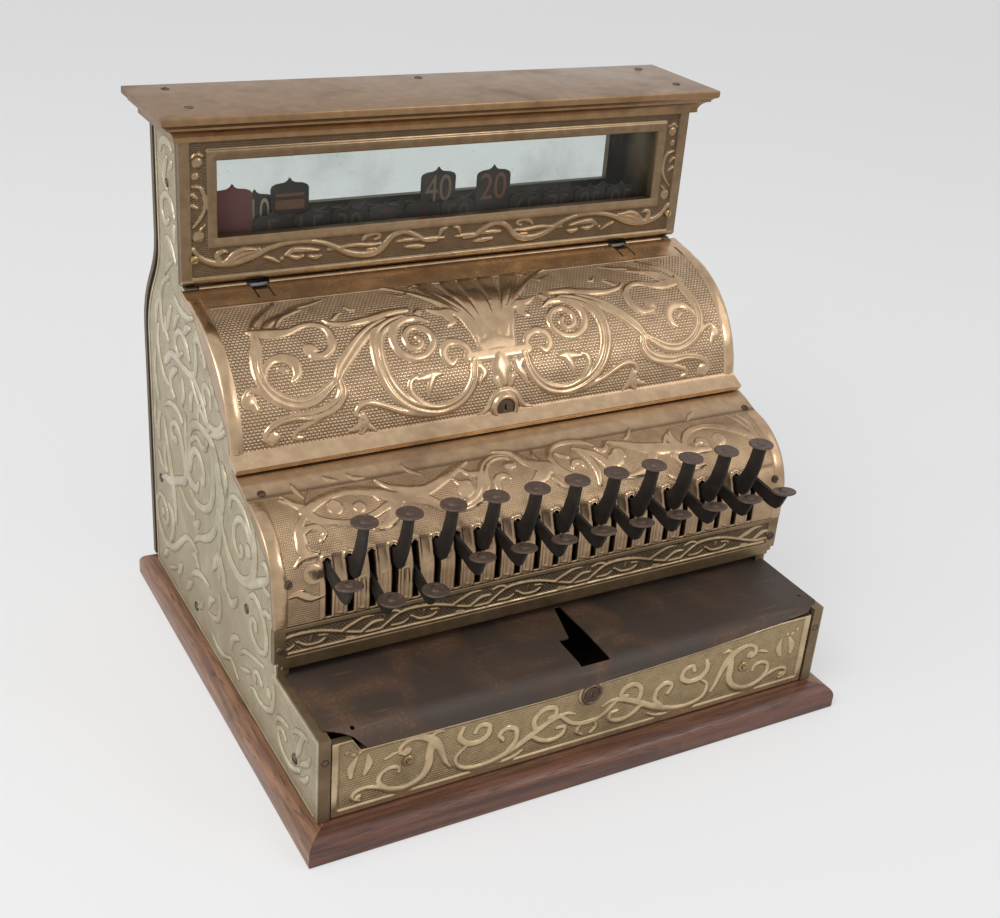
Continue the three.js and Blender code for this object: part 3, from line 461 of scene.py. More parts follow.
@dataclass(frozen=True)
class GlassFinish:
    """A thin clear pane with dust on it."""

    name: str
    dust: Colour = (0.62, 0.62, 0.6)
    specks: float = 0.2
    haze: float = 0.05

    def build(self) -> bpy.types.Material:
        """Makes the material.

        Returns:
            The new material.
        """
        pen = NodePen(self.name)
        specks = pen.between(pen.noise(1.6, 5), 0.66, 0.78)
        haze = pen.between(pen.noise(70, 5), 0.42, 0.9)
        spots, veil = pen.math("MULTIPLY", specks, self.specks), pen.math("MULTIPLY", haze, self.haze)
        amount = pen.math("ADD", spots, veil, clamp=True)
        clear = pen.node("ShaderNodeBsdfTransparent")
        clear.inputs[0].default_value = (0.93, 0.95, 0.94, 1)
        shine = pen.node("ShaderNodeBsdfGlossy")
        shine.inputs["Roughness"].default_value = 0.03
        edge = pen.node("ShaderNodeFresnel")
        edge.inputs[0].default_value = 1.18
        pane = pen.blend(edge.outputs[0], clear.outputs[0], shine.outputs[0])
        pen.link(pen.blend(amount, pane, pen.shader.outputs[0]), pen.out.inputs[0])
        return pen.finish(self.dust, 0.7)


class Finishes:
    """All the finishes of the register, each made once."""

    def __init__(self) -> None:
        """Makes every material."""
        self.lid = MetalFinish(
            "bronzed_lid_weave", (0.53, 0.375, 0.235), (0.66, 0.47, 0.30), (0.30, 0.19, 0.115),
            crest_roughness=0.2, hollow_roughness=0.32, metallic=0.94, ground=Ground.WEAVE, pitch=3.0,
            ground_depth=0.75, stain_low=0.5, stain_high=0.9, gap_shade=0.55,
        ).build()
        self.panel = MetalFinish(
            "bronzed_key_panel", (0.53, 0.375, 0.235), (0.46, 0.32, 0.195), (0.27, 0.165, 0.10),
            crest_roughness=0.2, hollow_roughness=0.38, metallic=0.93, ground=Ground.STIPPLE, pitch=1.7,
            ground_depth=0.2, stain_low=0.48, stain_high=0.85, grain=0.1, gap_shade=0.16,
        ).build()
        self.rail = MetalFinish(
            "rail_frieze", (0.47, 0.34, 0.20), (0.23, 0.165, 0.095), (0.14, 0.095, 0.055),
            crest_roughness=0.18, hollow_roughness=0.45, metallic=0.93, ground=Ground.HATCH, pitch=2.8,
            ground_depth=0.6, stain_low=0.48, stain_high=0.85, grain=0.08, gap_shade=0.8, foot_shade=0.85,
        ).build()
        self.window = MetalFinish(
            "window_frieze", (0.36, 0.255, 0.15), (0.23, 0.155, 0.09), (0.15, 0.095, 0.055),
            crest_roughness=0.22, hollow_roughness=0.45, metallic=0.9, ground=Ground.WEAVE, pitch=1.9,
            ground_depth=0.4, stain_low=0.5, stain_high=0.88, gap_shade=0.5,
        ).build()
        self.plate = MetalFinish(
            "patinated_side_casting", (0.63, 0.56, 0.42), (0.55, 0.485, 0.345), (0.43, 0.42, 0.30),
            crest_roughness=0.34, hollow_roughness=0.5, metallic=0.62, ground=Ground.STIPPLE, pitch=3.0,
            ground_depth=0.45, stain_low=0.42, stain_high=0.85, grain=0.1, gap_shade=0.26, foot_shade=0.9,
            darkening=0.75,
        ).build()
        self.front = MetalFinish(
            "gilt_drawer_front", (0.63, 0.485, 0.30), (0.48, 0.36, 0.205), (0.33, 0.235, 0.13),
            crest_roughness=0.26, hollow_roughness=0.42, ground=Ground.STIPPLE, pitch=2.0, ground_depth=0.25,
            stain_high=0.85, grain=0.1, gap_shade=0.3,
        ).build()
        self.copper = MetalFinish(
            "stained_cornice", (0.30, 0.185, 0.095), (0.23, 0.14, 0.07), (0.13, 0.078, 0.042),
            crest_roughness=0.34, hollow_roughness=0.48, metallic=0.96, stain_low=0.48, stain_high=0.88,
        ).build()
        self.rear = MetalFinish(
            "stained_rear_cover", (0.5, 0.42, 0.29), (0.3, 0.24, 0.155), (0.24, 0.18, 0.12),
            crest_roughness=0.38, metallic=0.8, ground=Ground.STIPPLE, pitch=1.8, ground_depth=0.3,
            stain_low=0.42, stain_high=0.8,
        ).build()
        self.screw = MetalFinish(
            "aged_screw_heads", (0.12, 0.075, 0.05), (0.06, 0.038, 0.026), (0.04, 0.026, 0.018),
            crest_roughness=0.4, metallic=0.6,
        ).build()
        self.steel = MetalFinish(
            "dull_steel", (0.42, 0.41, 0.39), (0.25, 0.24, 0.225), (0.16, 0.11, 0.08),
            crest_roughness=0.35, hollow_roughness=0.5,
        ).build()
        self.brass = MetalFinish(
            "dull_brass", (0.46, 0.34, 0.16), (0.3, 0.21, 0.1), (0.18, 0.12, 0.07),
            hollow_roughness=0.4, metallic=0.92,
        ).build()
        self.lock = MetalFinish(
            "browned_lock_face", (0.23, 0.155, 0.115), (0.13, 0.085, 0.06), (0.07, 0.045, 0.035),
            crest_roughness=0.35, hollow_roughness=0.5, metallic=0.8,
        ).build()
        self.edge = MetalFinish(
            "browned_plate_edge", (0.37, 0.27, 0.165), (0.23, 0.165, 0.095), (0.18, 0.12, 0.07),
            crest_roughness=0.35, metallic=0.8,
        ).build()
        self.key = IronFinish(
            "blackened_keys", (0.016, 0.013, 0.011), (0.034, 0.02, 0.014), (0.05, 0.036, 0.028),
            metallic=0.12, patch=12, rust_low=0.5, rust_high=0.8,
        ).build()
        self.cap = IronFinish(
            "worn_key_caps", (0.088, 0.058, 0.044), (0.115, 0.068, 0.046), (0.17, 0.13, 0.1),
            roughness=0.48, metallic=0.3, patch=8, rust_high=0.75,
        ).build()
        self.sheet = IronFinish(
            "rusty_cover_sheet", (0.052, 0.036, 0.026), (0.125, 0.06, 0.03), (0.15, 0.09, 0.055),
            metallic=0.12, patch=60, rust_low=0.42, rust_high=0.78,
        ).build()
        # Painted light and shade: one oiled wood in two copies. The rails across the front and back are
        # painted darker as shade, and the side rails are painted lighter as lit wood. Their grain also runs
        # different ways.
        self.wood_across_shaded = WoodFinish(
            "oiled_base_across_shaded", (0.16, 0.062, 0.035), (0.075, 0.028, 0.017), (0.05, 1, 1),
        ).build()
        self.wood_along_lit = WoodFinish(
            "oiled_base_along_lit", (0.29, 0.145, 0.075), (0.15, 0.068, 0.036), (1, 0.05, 1),
        ).build()
        self.board = WoodFinish(
            "plain_inner_wood", (0.33, 0.19, 0.1), (0.19, 0.1, 0.052), (1, 0.14, 1), roughness=0.75,
        ).build()
        # Painted shade: the tray's wood is painted nearly black, so the opening in the cover reads as shade.
        self.tray = WoodFinish(
            "tray_wood_painted_dark_as_shade", (0.035, 0.02, 0.013), (0.016, 0.01, 0.007), (1, 0.14, 1), roughness=0.8,
        ).build()
        self.glass = GlassFinish("clear_front_glass").build()
        self.rear_glass = GlassFinish("dusty_rear_glass", (0.55, 0.55, 0.53), specks=0.5, haze=0.35).build()
        self.dark_flag = PaintFinish("dark_flag_paint", (0.03, 0.022, 0.018), (0.07, 0.05, 0.035)).build()
        self.red_flag = PaintFinish("red_flag_paint", (0.20, 0.035, 0.02), (0.11, 0.03, 0.02)).build()
        self.cream = PaintFinish("cream_numeral_paint", (0.55, 0.47, 0.3), (0.3, 0.22, 0.13)).build()
        self.tan = PaintFinish("tan_numeral_paint", (0.30, 0.2, 0.11), (0.17, 0.1, 0.06)).build()
        self.orange = PaintFinish("orange_band_paint", (0.27, 0.11, 0.05), (0.14, 0.06, 0.035)).build()
        # Painted shade: the numbers on the lowered flags are painted in dimmed copies of the cream and the
        # red, as the shade they sit in.
        self.dim = PaintFinish("numeral_paint_dimmed_as_shade", (0.11, 0.075, 0.045), (0.07, 0.045, 0.03)).build()
        self.dim_red = PaintFinish("red_paint_dimmed_as_shade", (0.11, 0.022, 0.015), (0.07, 0.02, 0.015)).build()


@dataclass(frozen=True)
class Stroke:
    """A raised line or drop of ornament, drawn through points in millimetres."""

    path: tuple[Point2, ...]
    widths: tuple[float, ...]
    height: float = 1.0
    form: Form = Form.CUSHION

    def samples(self, spacing: float) -> tuple[np.ndarray, np.ndarray]:
        """Runs a smooth curve through the points.

        Args:
            spacing: distance between samples in millimetres.

        Returns:
            The centres and the half widths along the line.
        """
        points = np.array(self.path, float)
        if len(points) == 1:
            return points, np.array(self.widths[:1]) / 2
        ends = np.vstack([2 * points[0] - points[1], points, 2 * points[-1] - points[-2]])
        line = []
        for a, b, c, d in zip(ends, ends[1:], ends[2:], ends[3:]):
            count = max(2, int(np.hypot(*(c - b)) / spacing) + 1)
            t = np.linspace(0, 1, count, endpoint=False)[:, None]
            bend = (2 * a - 5 * b + 4 * c - d) * t**2 + (3 * b - a - 3 * c + d) * t**3
            line.append(0.5 * (2 * b + (c - a) * t + bend))
        line = np.vstack([*line, points[-1:]])
        run = np.concatenate([[0], np.cumsum(np.hypot(*np.diff(line, axis=0).T))])
        stops = np.linspace(0, run[-1], len(self.widths))
        return line, np.interp(run, stops, self.widths) / 2


@dataclass
class Relief:
    """Heights of a pressed panel over a grid of fine lines."""

    across: np.ndarray
    along: np.ndarray
    height: np.ndarray = field(init=False)
    raised: np.ndarray = field(init=False)

    def __post_init__(self) -> None:
        """Starts with a level panel."""
        self.height = np.zeros((len(self.along), len(self.across)))
        self.raised = np.zeros_like(self.height)

    @staticmethod
    def section(form: Form, t: np.ndarray) -> np.ndarray:
        """Gives the cross-section of a line.

        Args:
            form: which section.
            t: distance from the middle as a share of the half width.

        Returns:
            Heights from 0 to 1.
        """
        inside = np.clip(1 - t**2, 0, 1)
        if form is Form.ROUND:
            return np.sqrt(inside)
        body = np.clip(1 - t**4, 0, 1) ** 0.6
        if form is Form.VEINED:
            return body * (1 - 0.5 * np.exp(-((t / 0.2) ** 2)))
        return body

    def draw(self, strokes: Iterable[Stroke], mirrored: bool = False) -> None:
        """Raises lines of ornament.

        Args:
            strokes: the lines.
            mirrored: whether each is also drawn on the other side of the middle.
        """
        for stroke in strokes:
            centres, halves = stroke.samples(SAMPLE_SPACING)
            for side in (1.0, -1.0) if mirrored else (1.0,):
                self.raise_line(centres * np.array([side, 1.0]), halves, stroke)

    def raise_line(self, centres: np.ndarray, halves: np.ndarray, stroke: Stroke) -> None:
        """Raises one line.

        Args:
            centres: middle of the line at each sample.
            halves: half width at each sample.
            stroke: the line's height and section.
        """
        reach = halves.max()
        low, high = centres.min(0) - reach, centres.max(0) + reach
        i0, i1 = np.searchsorted(self.across, [low[0], high[0]])
        j0, j1 = np.searchsorted(self.along, [low[1], high[1]])
        if i1 <= i0 or j1 <= j0:
            return
        xs, ys = self.across[i0:i1], self.along[j0:j1]
        nearest = np.full((len(ys), len(xs)), 9.0)
        for (x, y), half in zip(centres, halves):
            a, b = np.searchsorted(xs, [x - half, x + half])
            c, d = np.searchsorted(ys, [y - half, y + half])
            if b > a and d > c:
                gap = np.hypot(xs[None, a:b] - x, ys[c:d, None] - y) / max(half, 0.05)
                nearest[c:d, a:b] = np.minimum(nearest[c:d, a:b], gap)
        rise = self.section(stroke.form, nearest) * stroke.height
        part = self.height[j0:j1, i0:i1]
        mark = self.raised[j0:j1, i0:i1]
        if stroke.height > 0:
            np.maximum(part, rise, out=part)
            np.maximum(mark, np.clip(rise, 0, 1), out=mark)
        else:
            part += rise
            mark *= 1 + np.clip(rise, -1, 0)


@dataclass(frozen=True)
class FlatFace:
    """A flat face of the register, read in millimetres from its corner."""

    corner: Point3
    across: Point3
    along: Point3
    out: Point3

    def at(self, u: np.ndarray, v: np.ndarray, h: np.ndarray) -> np.ndarray:
        """Gives points on the face.

        Args:
            u: places across.
            v: places along.
            h: heights above the face.

        Returns:
            Points in metres, one in each row.
        """
        parts = zip((self.across, self.along, self.out), (u, v, h))
        return (np.array(self.corner) + sum(np.multiply.outer(d, np.array(a, float)) for a, d in parts)) * MM


def front_face(depth: float) -> FlatFace:
    """Gives the upright face at a depth, as it is seen from the front."""
    return FlatFace((0, depth, 0), (1, 0, 0), (0, 0, 1), (0, -1, 0))


@dataclass(frozen=True)
class RolledFace:
    """A cover rolled round a line across the register: straight foot, arc, straight back."""

    foot: Point2
    lean: float
    straight: float
    radius: float
    sweep: float

    def at(self, u: np.ndarray, v: np.ndarray, h: np.ndarray) -> np.ndarray:
        """Gives points on the cover.

        Args:
            u: places across.
            v: distances up the cover from its foot.
            h: heights above it.

        Returns:
            Points in metres, one in each row.
        """
        first, last = math.radians(self.lean), math.radians(self.lean - self.sweep)
        on_arc = np.clip(v - self.straight, 0, self.radius * (first - last))
        angle = first - on_arc / self.radius
        centre = np.array(self.foot) + self.straight * np.array([math.sin(first), -math.cos(first)])
        centre = centre - self.radius * np.array([math.cos(first), math.sin(first)])
        out = np.stack([np.cos(angle), np.sin(angle)], -1)
        way = np.stack([np.sin(angle), -np.cos(angle)], -1)
        beyond = np.maximum(v - self.straight - self.radius * (first - last), 0)
        past = np.where(v < self.straight, v - self.straight, beyond)
        flat = centre + out * (self.radius + h)[..., None] + way * past[..., None]
        return np.stack([u, flat[..., 0], flat[..., 1]], -1) * MM


def fill_lines(marks: Sequence[tuple[float, float]]) -> tuple[np.ndarray, np.ndarray]:
    """Divides the spans between marks.

    Args:
        marks: each mark and the spacing wanted after it.

    Returns:
        All lines, and the index of each mark among them.
    """
    lines, places = [], []
    for (a, step), (b, _) in zip(marks, marks[1:]):
        count = max(1, math.ceil((b - a) / step - 1e-6))
        places.append(len(lines))
        lines.extend(np.linspace(a, b, count, endpoint=False))
    places.append(len(lines))
    lines.append(marks[-1][0])
    return np.array(lines), np.array(places)


@dataclass
class Shell:
    """A sheet or casting over a face: fine on top, plain underneath, open where cells aren't kept."""

    face: FlatFace | RolledFace
    across: Sequence[tuple[float, float]]
    along: Sequence[tuple[float, float]]
    thickness: float
    kept: Callable[[float, float], bool]

    def __post_init__(self) -> None:
        """Divides the sheet into its fine lines."""
        self.us, self.u_marks = fill_lines(self.across)
        self.vs, self.v_marks = fill_lines(self.along)
        self.relief = Relief(self.us, self.vs)

    def mesh(self, name: str) -> bpy.types.Mesh:
        """Builds the closed mesh from the relief.

        Args:
            name: name of the mesh.

        Returns:
            The mesh, with its relief as an attribute and its real size as UV.
        """
        un, vn = self.u_marks, self.v_marks
        uu, vv = np.meshgrid(self.us, self.vs)
        top = self.face.at(uu.ravel(), vv.ravel(), self.relief.height.ravel())
        cu, cv = np.meshgrid(self.us[un], self.vs[vn])
        under = self.face.at(cu.ravel(), cv.ravel(), np.full(cu.size, -self.thickness))
        index = np.arange(uu.size).reshape(uu.shape)
        low = uu.size + np.arange(cu.size).reshape(cu.shape)
        solid = self.solid_cells()
        faces = self.top_faces(index, solid)
        smooth = len(faces)
        faces.extend(self.closing_faces(index, low, solid))
        used = np.unique(np.concatenate([*faces[smooth:], np.ravel(faces[:smooth])]))
        points = np.vstack([top, under])[used]
        renamed = np.full(uu.size + cu.size, -1)
        renamed[used] = np.arange(len(used))
        mesh = bpy.data.meshes.new(name)
        mesh.from_pydata(points.tolist(), [], [renamed[f].tolist() for f in faces])
        both = [np.concatenate([fine.ravel(), coarse.ravel()]) for fine, coarse in ((uu, cu), (vv, cv))]
        flat = np.stack(both, -1)[used] * MM
        raised = np.concatenate([self.relief.raised.ravel(), np.zeros(cu.size)])[used]
        dress(mesh, raised, flat)
        turn_out(mesh, self.face, smooth)
        return mesh

    def solid_cells(self) -> np.ndarray:
        """Finds the cells between marks that have material.

        Returns:
            Whether each cell has it, with a border of empty cells all round.
        """
        un, vn = self.u_marks, self.v_marks
        solid = np.zeros((len(vn) + 1, len(un) + 1), bool)
        for j, i in itertools.product(range(len(vn) - 1), range(len(un) - 1)):
            u = (self.us[un[i]] + self.us[un[i + 1]]) / 2
            v = (self.vs[vn[j]] + self.vs[vn[j + 1]]) / 2
            solid[j + 1, i + 1] = self.kept(u, v)
        return solid

    def top_faces(self, index: np.ndarray, solid: np.ndarray) -> list[list[int]]:
        """Covers the solid cells with fine faces.

        Args:
            index: number of each point on top.
            solid: which cells have material, with a border.

        Returns:
            The faces.
        """
        un, vn = self.u_marks, self.v_marks
        faces = []
        for j, i in np.argwhere(solid[1:-1, 1:-1]):
            grid = index[vn[j] : vn[j + 1] + 1, un[i] : un[i + 1] + 1]
            quads = np.stack([grid[:-1, :-1], grid[:-1, 1:], grid[1:, 1:], grid[1:, :-1]], -1)
            faces.extend(quads.reshape(-1, 4).tolist())
        return faces

    def closing_faces(self, index: np.ndarray, low: np.ndarray, solid: np.ndarray) -> list[list[int]]:
        """Closes the solid cells underneath and along their open edges.

        Args:
            index: number of each point on top.
            low: number of each point underneath.
            solid: which cells have material, with a border.

        Returns:
            The faces.
        """
        un, vn = self.u_marks, self.v_marks
        faces = []
        for j, i in np.argwhere(solid[1:-1, 1:-1]):
            a, b, c, d = (int(n) for n in (low[j, i], low[j, i + 1], low[j + 1, i + 1], low[j + 1, i]))
            faces.append([d, c, b, a])
            row, column = slice(un[i], un[i + 1] + 1), slice(vn[j], vn[j + 1] + 1)
            if not solid[j, i + 1]:
                faces.append([a, b, *index[vn[j], row][::-1].tolist()])
            if not solid[j + 2, i + 1]:
                faces.append([c, d, *index[vn[j + 1], row].tolist()])
            if not solid[j + 1, i]:
                faces.append([d, a, *index[column, un[i]].tolist()])
            if not solid[j + 1, i + 2]:
                faces.append([b, c, *index[column, un[i + 1]][::-1].tolist()])
        return faces


def turn_out(mesh: bpy.types.Mesh, face: FlatFace | RolledFace, smooth: int) -> None:
    """Makes the first faces smooth and turns a mesh built inside out.

    Args:
        mesh: the mesh, whose first faces lie on the face.
        face: the face that it lies on.
        smooth: how many faces are part of its top.
    """
    shade = np.zeros(len(mesh.polygons), bool)
    shade[:smooth] = True
    mesh.polygons.foreach_set("use_smooth", shade)
    u, v = np.array([0.0]), np.array([30.0])
    out = Vector(face.at(u, v, np.array([1.0]))[0] - face.at(u, v, np.array([0.0]))[0])
    facing = sum((mesh.polygons[i].normal for i in range(0, smooth, max(1, smooth // 50))), Vector())
    if facing.dot(out) < 0:
        mesh.flip_normals()


@dataclass
class RuledShell:
    """A thin casting over a flat face, fitted between two edges station by station."""

    face: FlatFace
    stations: np.ndarray
    lows: np.ndarray
    highs: np.ndarray
    steps: int
    relief: Relief
    thickness: float
    upright: bool = False

    def mesh(self, name: str) -> bpy.types.Mesh:
        """Builds the closed mesh, with heights read from the relief.

        Args:
            name: name of the mesh.

        Returns:
            The mesh.
        """
        share = np.linspace(0, 1, self.steps + 1)[None, :]
        b = self.lows[:, None] * (1 - share) + self.highs[:, None] * share
        a = np.broadcast_to(self.stations[:, None], b.shape)
        u, v = (a, b) if self.upright else (b, a)
        top = self.face.at(u.ravel(), v.ravel(), self.read(self.relief.height, u, v).ravel())
        edge = [0, -1]
        rows = len(b)
        under = self.face.at(u[:, edge].ravel(), v[:, edge].ravel(), np.full(rows * 2, -self.thickness))
        index = np.arange(b.size).reshape(b.shape)
        low = b.size + np.arange(rows * 2).reshape(rows, 2)
        quads = np.stack([index[:-1, :-1], index[:-1, 1:], index[1:, 1:], index[1:, :-1]], -1).reshape(-1, 4)
        faces = quads.tolist()
        smooth = len(faces)
        for j in range(rows - 1):
            faces.append([int(low[j + 1, 0]), int(low[j + 1, 1]), int(low[j, 1]), int(low[j, 0])])
            faces.append([int(index[j, 0]), int(index[j + 1, 0]), int(low[j + 1, 0]), int(low[j, 0])])
            faces.append([int(index[j + 1, -1]), int(index[j, -1]), int(low[j, 1]), int(low[j + 1, 1])])
        faces.append([int(low[0, 0]), int(low[0, 1]), *index[0, ::-1].tolist()])
        faces.append([int(low[-1, 1]), int(low[-1, 0]), *index[-1].tolist()])
        mesh = bpy.data.meshes.new(name)
        mesh.from_pydata(np.vstack([top, under]).tolist(), [], faces)
        both = [np.concatenate([place.ravel(), place[:, edge].ravel()]) for place in (u, v)]
        flat = np.stack(both, -1) * MM
        raised = np.concatenate([self.read(self.relief.raised, u, v).ravel(), np.zeros(rows * 2)])
        dress(mesh, raised, flat)
        turn_out(mesh, self.face, smooth)
        return mesh

    def read(self, values: np.ndarray, u: np.ndarray, v: np.ndarray) -> np.ndarray:
        """Reads the relief between its grid lines.

        Args:
            values: values over the relief's grid.
            u: places across.
            v: places along.

        Returns:
            The values at those places.
        """
        across, along = self.relief.across, self.relief.along
        x = np.clip((u - across[0]) / (across[1] - across[0]), 0, len(across) - 1.001)
        y = np.clip((v - along[0]) / (along[1] - along[0]), 0, len(along) - 1.001)
        i, j = x.astype(int), y.astype(int)
        x, y = x - i, y - j
        near = values[j, i] * (1 - x) + values[j, i + 1] * x
        far = values[j + 1, i] * (1 - x) + values[j + 1, i + 1] * x
        return near * (1 - y) + far * y


def even(low: float, high: float, step: float) -> np.ndarray:
    """Gives evenly spaced lines from low to high, at most a step apart."""
    return np.linspace(low, high, max(1, math.ceil((high - low) / step)) + 1)


def ridge(places: np.ndarray, middle: float, half: float) -> np.ndarray:
    """Gives the height of a round ridge, from 0 to 1, at places across it.

    Args:
        places: where to read it.
        middle: place of its crest.
        half: half of its width.

    Returns:
        The heights.
    """
    return np.clip(1 - ((places - middle) / half) ** 2, 0, 1) ** 0.5


def s_curve(steering: Sequence[Point2], count: int) -> tuple[np.ndarray, np.ndarray]:
    """Gives points along a smooth curve.

    Args:
        steering: its start, two points that steer it, and its end.
        count: how many points to give.

    Returns:
        Their places along both axes.
    """
    t = np.linspace(0, 1, count)
    weights = ((1 - t) ** 3, 3 * t * (1 - t) ** 2, 3 * t * t * (1 - t), t**3)
    first, second = (sum(w * p[k] for w, p in zip(weights, steering)) for k in (0, 1))
    return first, second


def add_band(
    shape: bmesh.types.BMesh, low: Sequence[bmesh.types.BMVert], high: Sequence[bmesh.types.BMVert]
) -> None:
    """Joins two rings of equally many points with four-sided faces."""
    for k, n in enumerate([*range(1, len(low)), 0]):
        shape.faces.new((low[k], low[n], high[n], high[k]))


def dress(mesh: bpy.types.Mesh, raised: np.ndarray, flat: np.ndarray) -> None:
    """Gives a mesh its relief attribute and its real-size UV map.

    Args:
        mesh: the mesh.
        raised: how far each point is raised, from 0 to 1.
        flat: place of each point on the flat pattern, in metres.
    """
    layer = mesh.attributes.new("relief", "FLOAT", "POINT")
    layer.data.foreach_set("value", raised.astype(np.float32))
    corners = np.empty(len(mesh.loops), np.int32)
    mesh.loops.foreach_get("vertex_index", corners)
    uv = mesh.uv_layers.new(name="UVMap")
    uv.data.foreach_set("uv", flat[corners].astype(np.float32).ravel())
    mesh.update()


class Maker:
    """Turns meshes into pieces that ride on the register's bodies."""

    def __init__(self) -> None:
        """Starts the list of pieces."""
        self.finishes = Finishes()
        self.count = 0

    def place(
        self,
        mesh: bpy.types.Mesh,
        body: str,
        material: bpy.types.Material,
        slot: str,
        replaces: Sequence[str] = (),
    ) -> None:
        """Makes one piece.

        Args:
            mesh: its mesh, in metres in the register's frame.
            body: the body that it moves with.
            material: its material.
            slot: not used.
            replaces: CAD nodes that it stands for.
        """
        piece = bpy.data.objects.new(mesh.name, mesh)
        bpy.context.scene.collection.objects.link(piece)
        mesh.materials.append(material)
        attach(piece, body)
        if replaces:
            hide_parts(*replaces)
        self.count += 1

    def place_screws(self, heads: Iterable[bmesh.types.BMesh], name: str) -> None:
        """Makes one dark piece of several screw heads on the cabinet."""
        self.place(finished(joined(heads), name), "cabinet", self.finishes.screw, "steel")


def finished(
    shape: bmesh.types.BMesh, name: str, smooth_degrees: float = 35.0, raised: float = 1.0
) -> bpy.types.Mesh:
    """Turns a worked shape into a mesh with closed, outward faces.

    Args:
        shape: the shape, in millimetres.
        name: name of the mesh.
        smooth_degrees: edges sharper than this stay sharp.
        raised: how polished it is.

    Returns:
        The mesh in metres.
    """
    bmesh.ops.remove_doubles(shape, verts=shape.verts, dist=0.001)
    bmesh.ops.recalc_face_normals(shape, faces=shape.faces)
    bmesh.ops.scale(shape, vec=(MM, MM, MM), verts=shape.verts)
    limit = math.radians(smooth_degrees)
    for edge in shape.edges:
        edge.smooth = not (edge.is_manifold and edge.calc_face_angle(0) > limit)
    for face in shape.faces:
        face.smooth = True
    mesh = bpy.data.meshes.new(name)
    shape.to_mesh(mesh)
    shape.free()
    flat = np.array([(v.co.x + v.co.y, v.co.z) for v in mesh.vertices])
    dress(mesh, np.full(len(mesh.vertices), raised), flat)
    return mesh


def outline_solid(
    outline: Sequence[Point2], start: float, end: float, axis: str = "x", bevel: float = 0.0
) -> bmesh.types.BMesh:
    """Carries an outline along an axis and rounds its rims.

    Args:
        outline: points in depth and height for axis x, in width and depth for z.
        start: where it starts on the axis.
        end: where it ends.
        axis: the axis that it is carried along.
        bevel: radius of the rounded rims.

    Returns:
        The closed shape in millimetres.
    """
    shape = bmesh.new()
    rings = [
        [shape.verts.new((c, a, b) if axis == "x" else (a, b, c)) for a, b in outline] for c in (start, end)
    ]
    count = len(outline)
    caps = [shape.faces.new(rings[0]), shape.faces.new(rings[1][::-1])]
    for i in range(count):
        j = (i + 1) % count
        shape.faces.new((rings[0][i], rings[1][i], rings[1][j], rings[0][j]))
    if bevel:
        rims = [e for face in caps for e in face.edges]
        bmesh.ops.bevel(
            shape, geom=rims, offset=bevel, segments=2, affect="EDGES", profile=0.5, clamp_overlap=True
        )
    return shape


def turned(profile: Sequence[Point2], sides: int = 24, hollow: bool = False) -> bmesh.types.BMesh:
    """Turns a profile round the upright axis.

    Args:
        profile: radius and height of each point, from the bottom middle to the top middle.
        sides: steps round the axis.
        hollow: whether the profile is a closed ring clear of the axis.

    Returns:
        The closed shape in millimetres.
    """
    shape = bmesh.new()
    rings = []
    for radius, height in profile:
        if radius < 1e-6:
            rings.append([shape.verts.new((0, 0, height))])
        else:
            turns = [2 * math.pi * k / sides for k in range(sides)]
            ring = [(radius * math.cos(a), radius * math.sin(a), height) for a in turns]
            rings.append([shape.verts.new(p) for p in ring])
    pairs = list(zip(rings, rings[1:]))
    if hollow:
        pairs.append((rings[-1], rings[0]))
    for low, high in pairs:
        if len(low) == len(high):
            add_band(shape, low, high)
            continue
        for k in range(sides):
            n = (k + 1) % sides
            if len(low) == 1:
                shape.faces.new((low[0], high[k], high[n]))
            else:
                shape.faces.new((low[k], low[n], high[0]))
    return shape


def moved(shape: bmesh.types.BMesh, to: Point3, out: Point3, spin: float = 0.0) -> bmesh.types.BMesh:
    """Turns a shape's upright axis along a direction and puts it in place.

    Args:
        shape: the shape.
        to: where its origin goes, in millimetres.
        out: the direction of its upright axis.
        spin: turn round that axis in degrees.

    Returns:
        The same shape.
    """
    turn = Vector(out).to_track_quat("Z", "Y").to_matrix().to_4x4()
    turn = Matrix.Translation(to) @ turn @ Matrix.Rotation(math.radians(spin), 4, "Z")
    bmesh.ops.transform(shape, matrix=turn, verts=shape.verts)
    return shape


def joined(shapes: Iterable[bmesh.types.BMesh]) -> bmesh.types.BMesh:
    """Puts several shapes into one.

    Args:
        shapes: the shapes, which are used up.

    Returns:
        The joined shape.
    """
    whole = bmesh.new()
    for shape in shapes:
        spare = bpy.data.meshes.new("spare")
        shape.to_mesh(spare)
        shape.free()
        whole.from_mesh(spare)
        bpy.data.meshes.remove(spare)
    return whole


def screw_head(at: Point3, out: Point3, radius: float, spin: float, rise: float = 1.2) -> bmesh.types.BMesh:
    """Makes a round slotted screw head.

    Args:
        at: middle of its seat in millimetres.
        out: the direction that it faces.
        radius: radius of the head.
        spin: turn of its slot in degrees.
        rise: height of the head.

    Returns:
        The closed shape.
    """
    half, deep, long = radius * 0.14, rise * 0.55, radius * 0.97
    rings = [(radius, -0.6), (radius, rise * 0.25), (radius * 0.9, rise * 0.7), (radius * 0.6, rise * 0.95)]
    halves = []
    for side in (1, -1):
        part = bmesh.new()
        rows = []
        for r, z in rings:
            start = math.asin(min(1, half / r))
            turns = np.linspace(start, math.pi - start, 9)
            rows.append([part.verts.new((side * r * math.cos(a), side * r * math.sin(a), z)) for a in turns])
        for low, high in zip(rows, rows[1:]):
            for k in range(8):
                part.faces.new((low[k], low[k + 1], high[k + 1], high[k]))
        part.faces.new(rows[-1])
        part.faces.new(rows[0][::-1])
        part.faces.new([row[0] for row in rows] + [row[-1] for row in rows[::-1]])
        halves.append(part)
    bar = [(-long, -half), (long, -half), (long, half), (-long, half)]
    floor = outline_solid(bar, -0.6, rise - deep, "z")
    return moved(joined([*halves, floor]), at, out, spin)


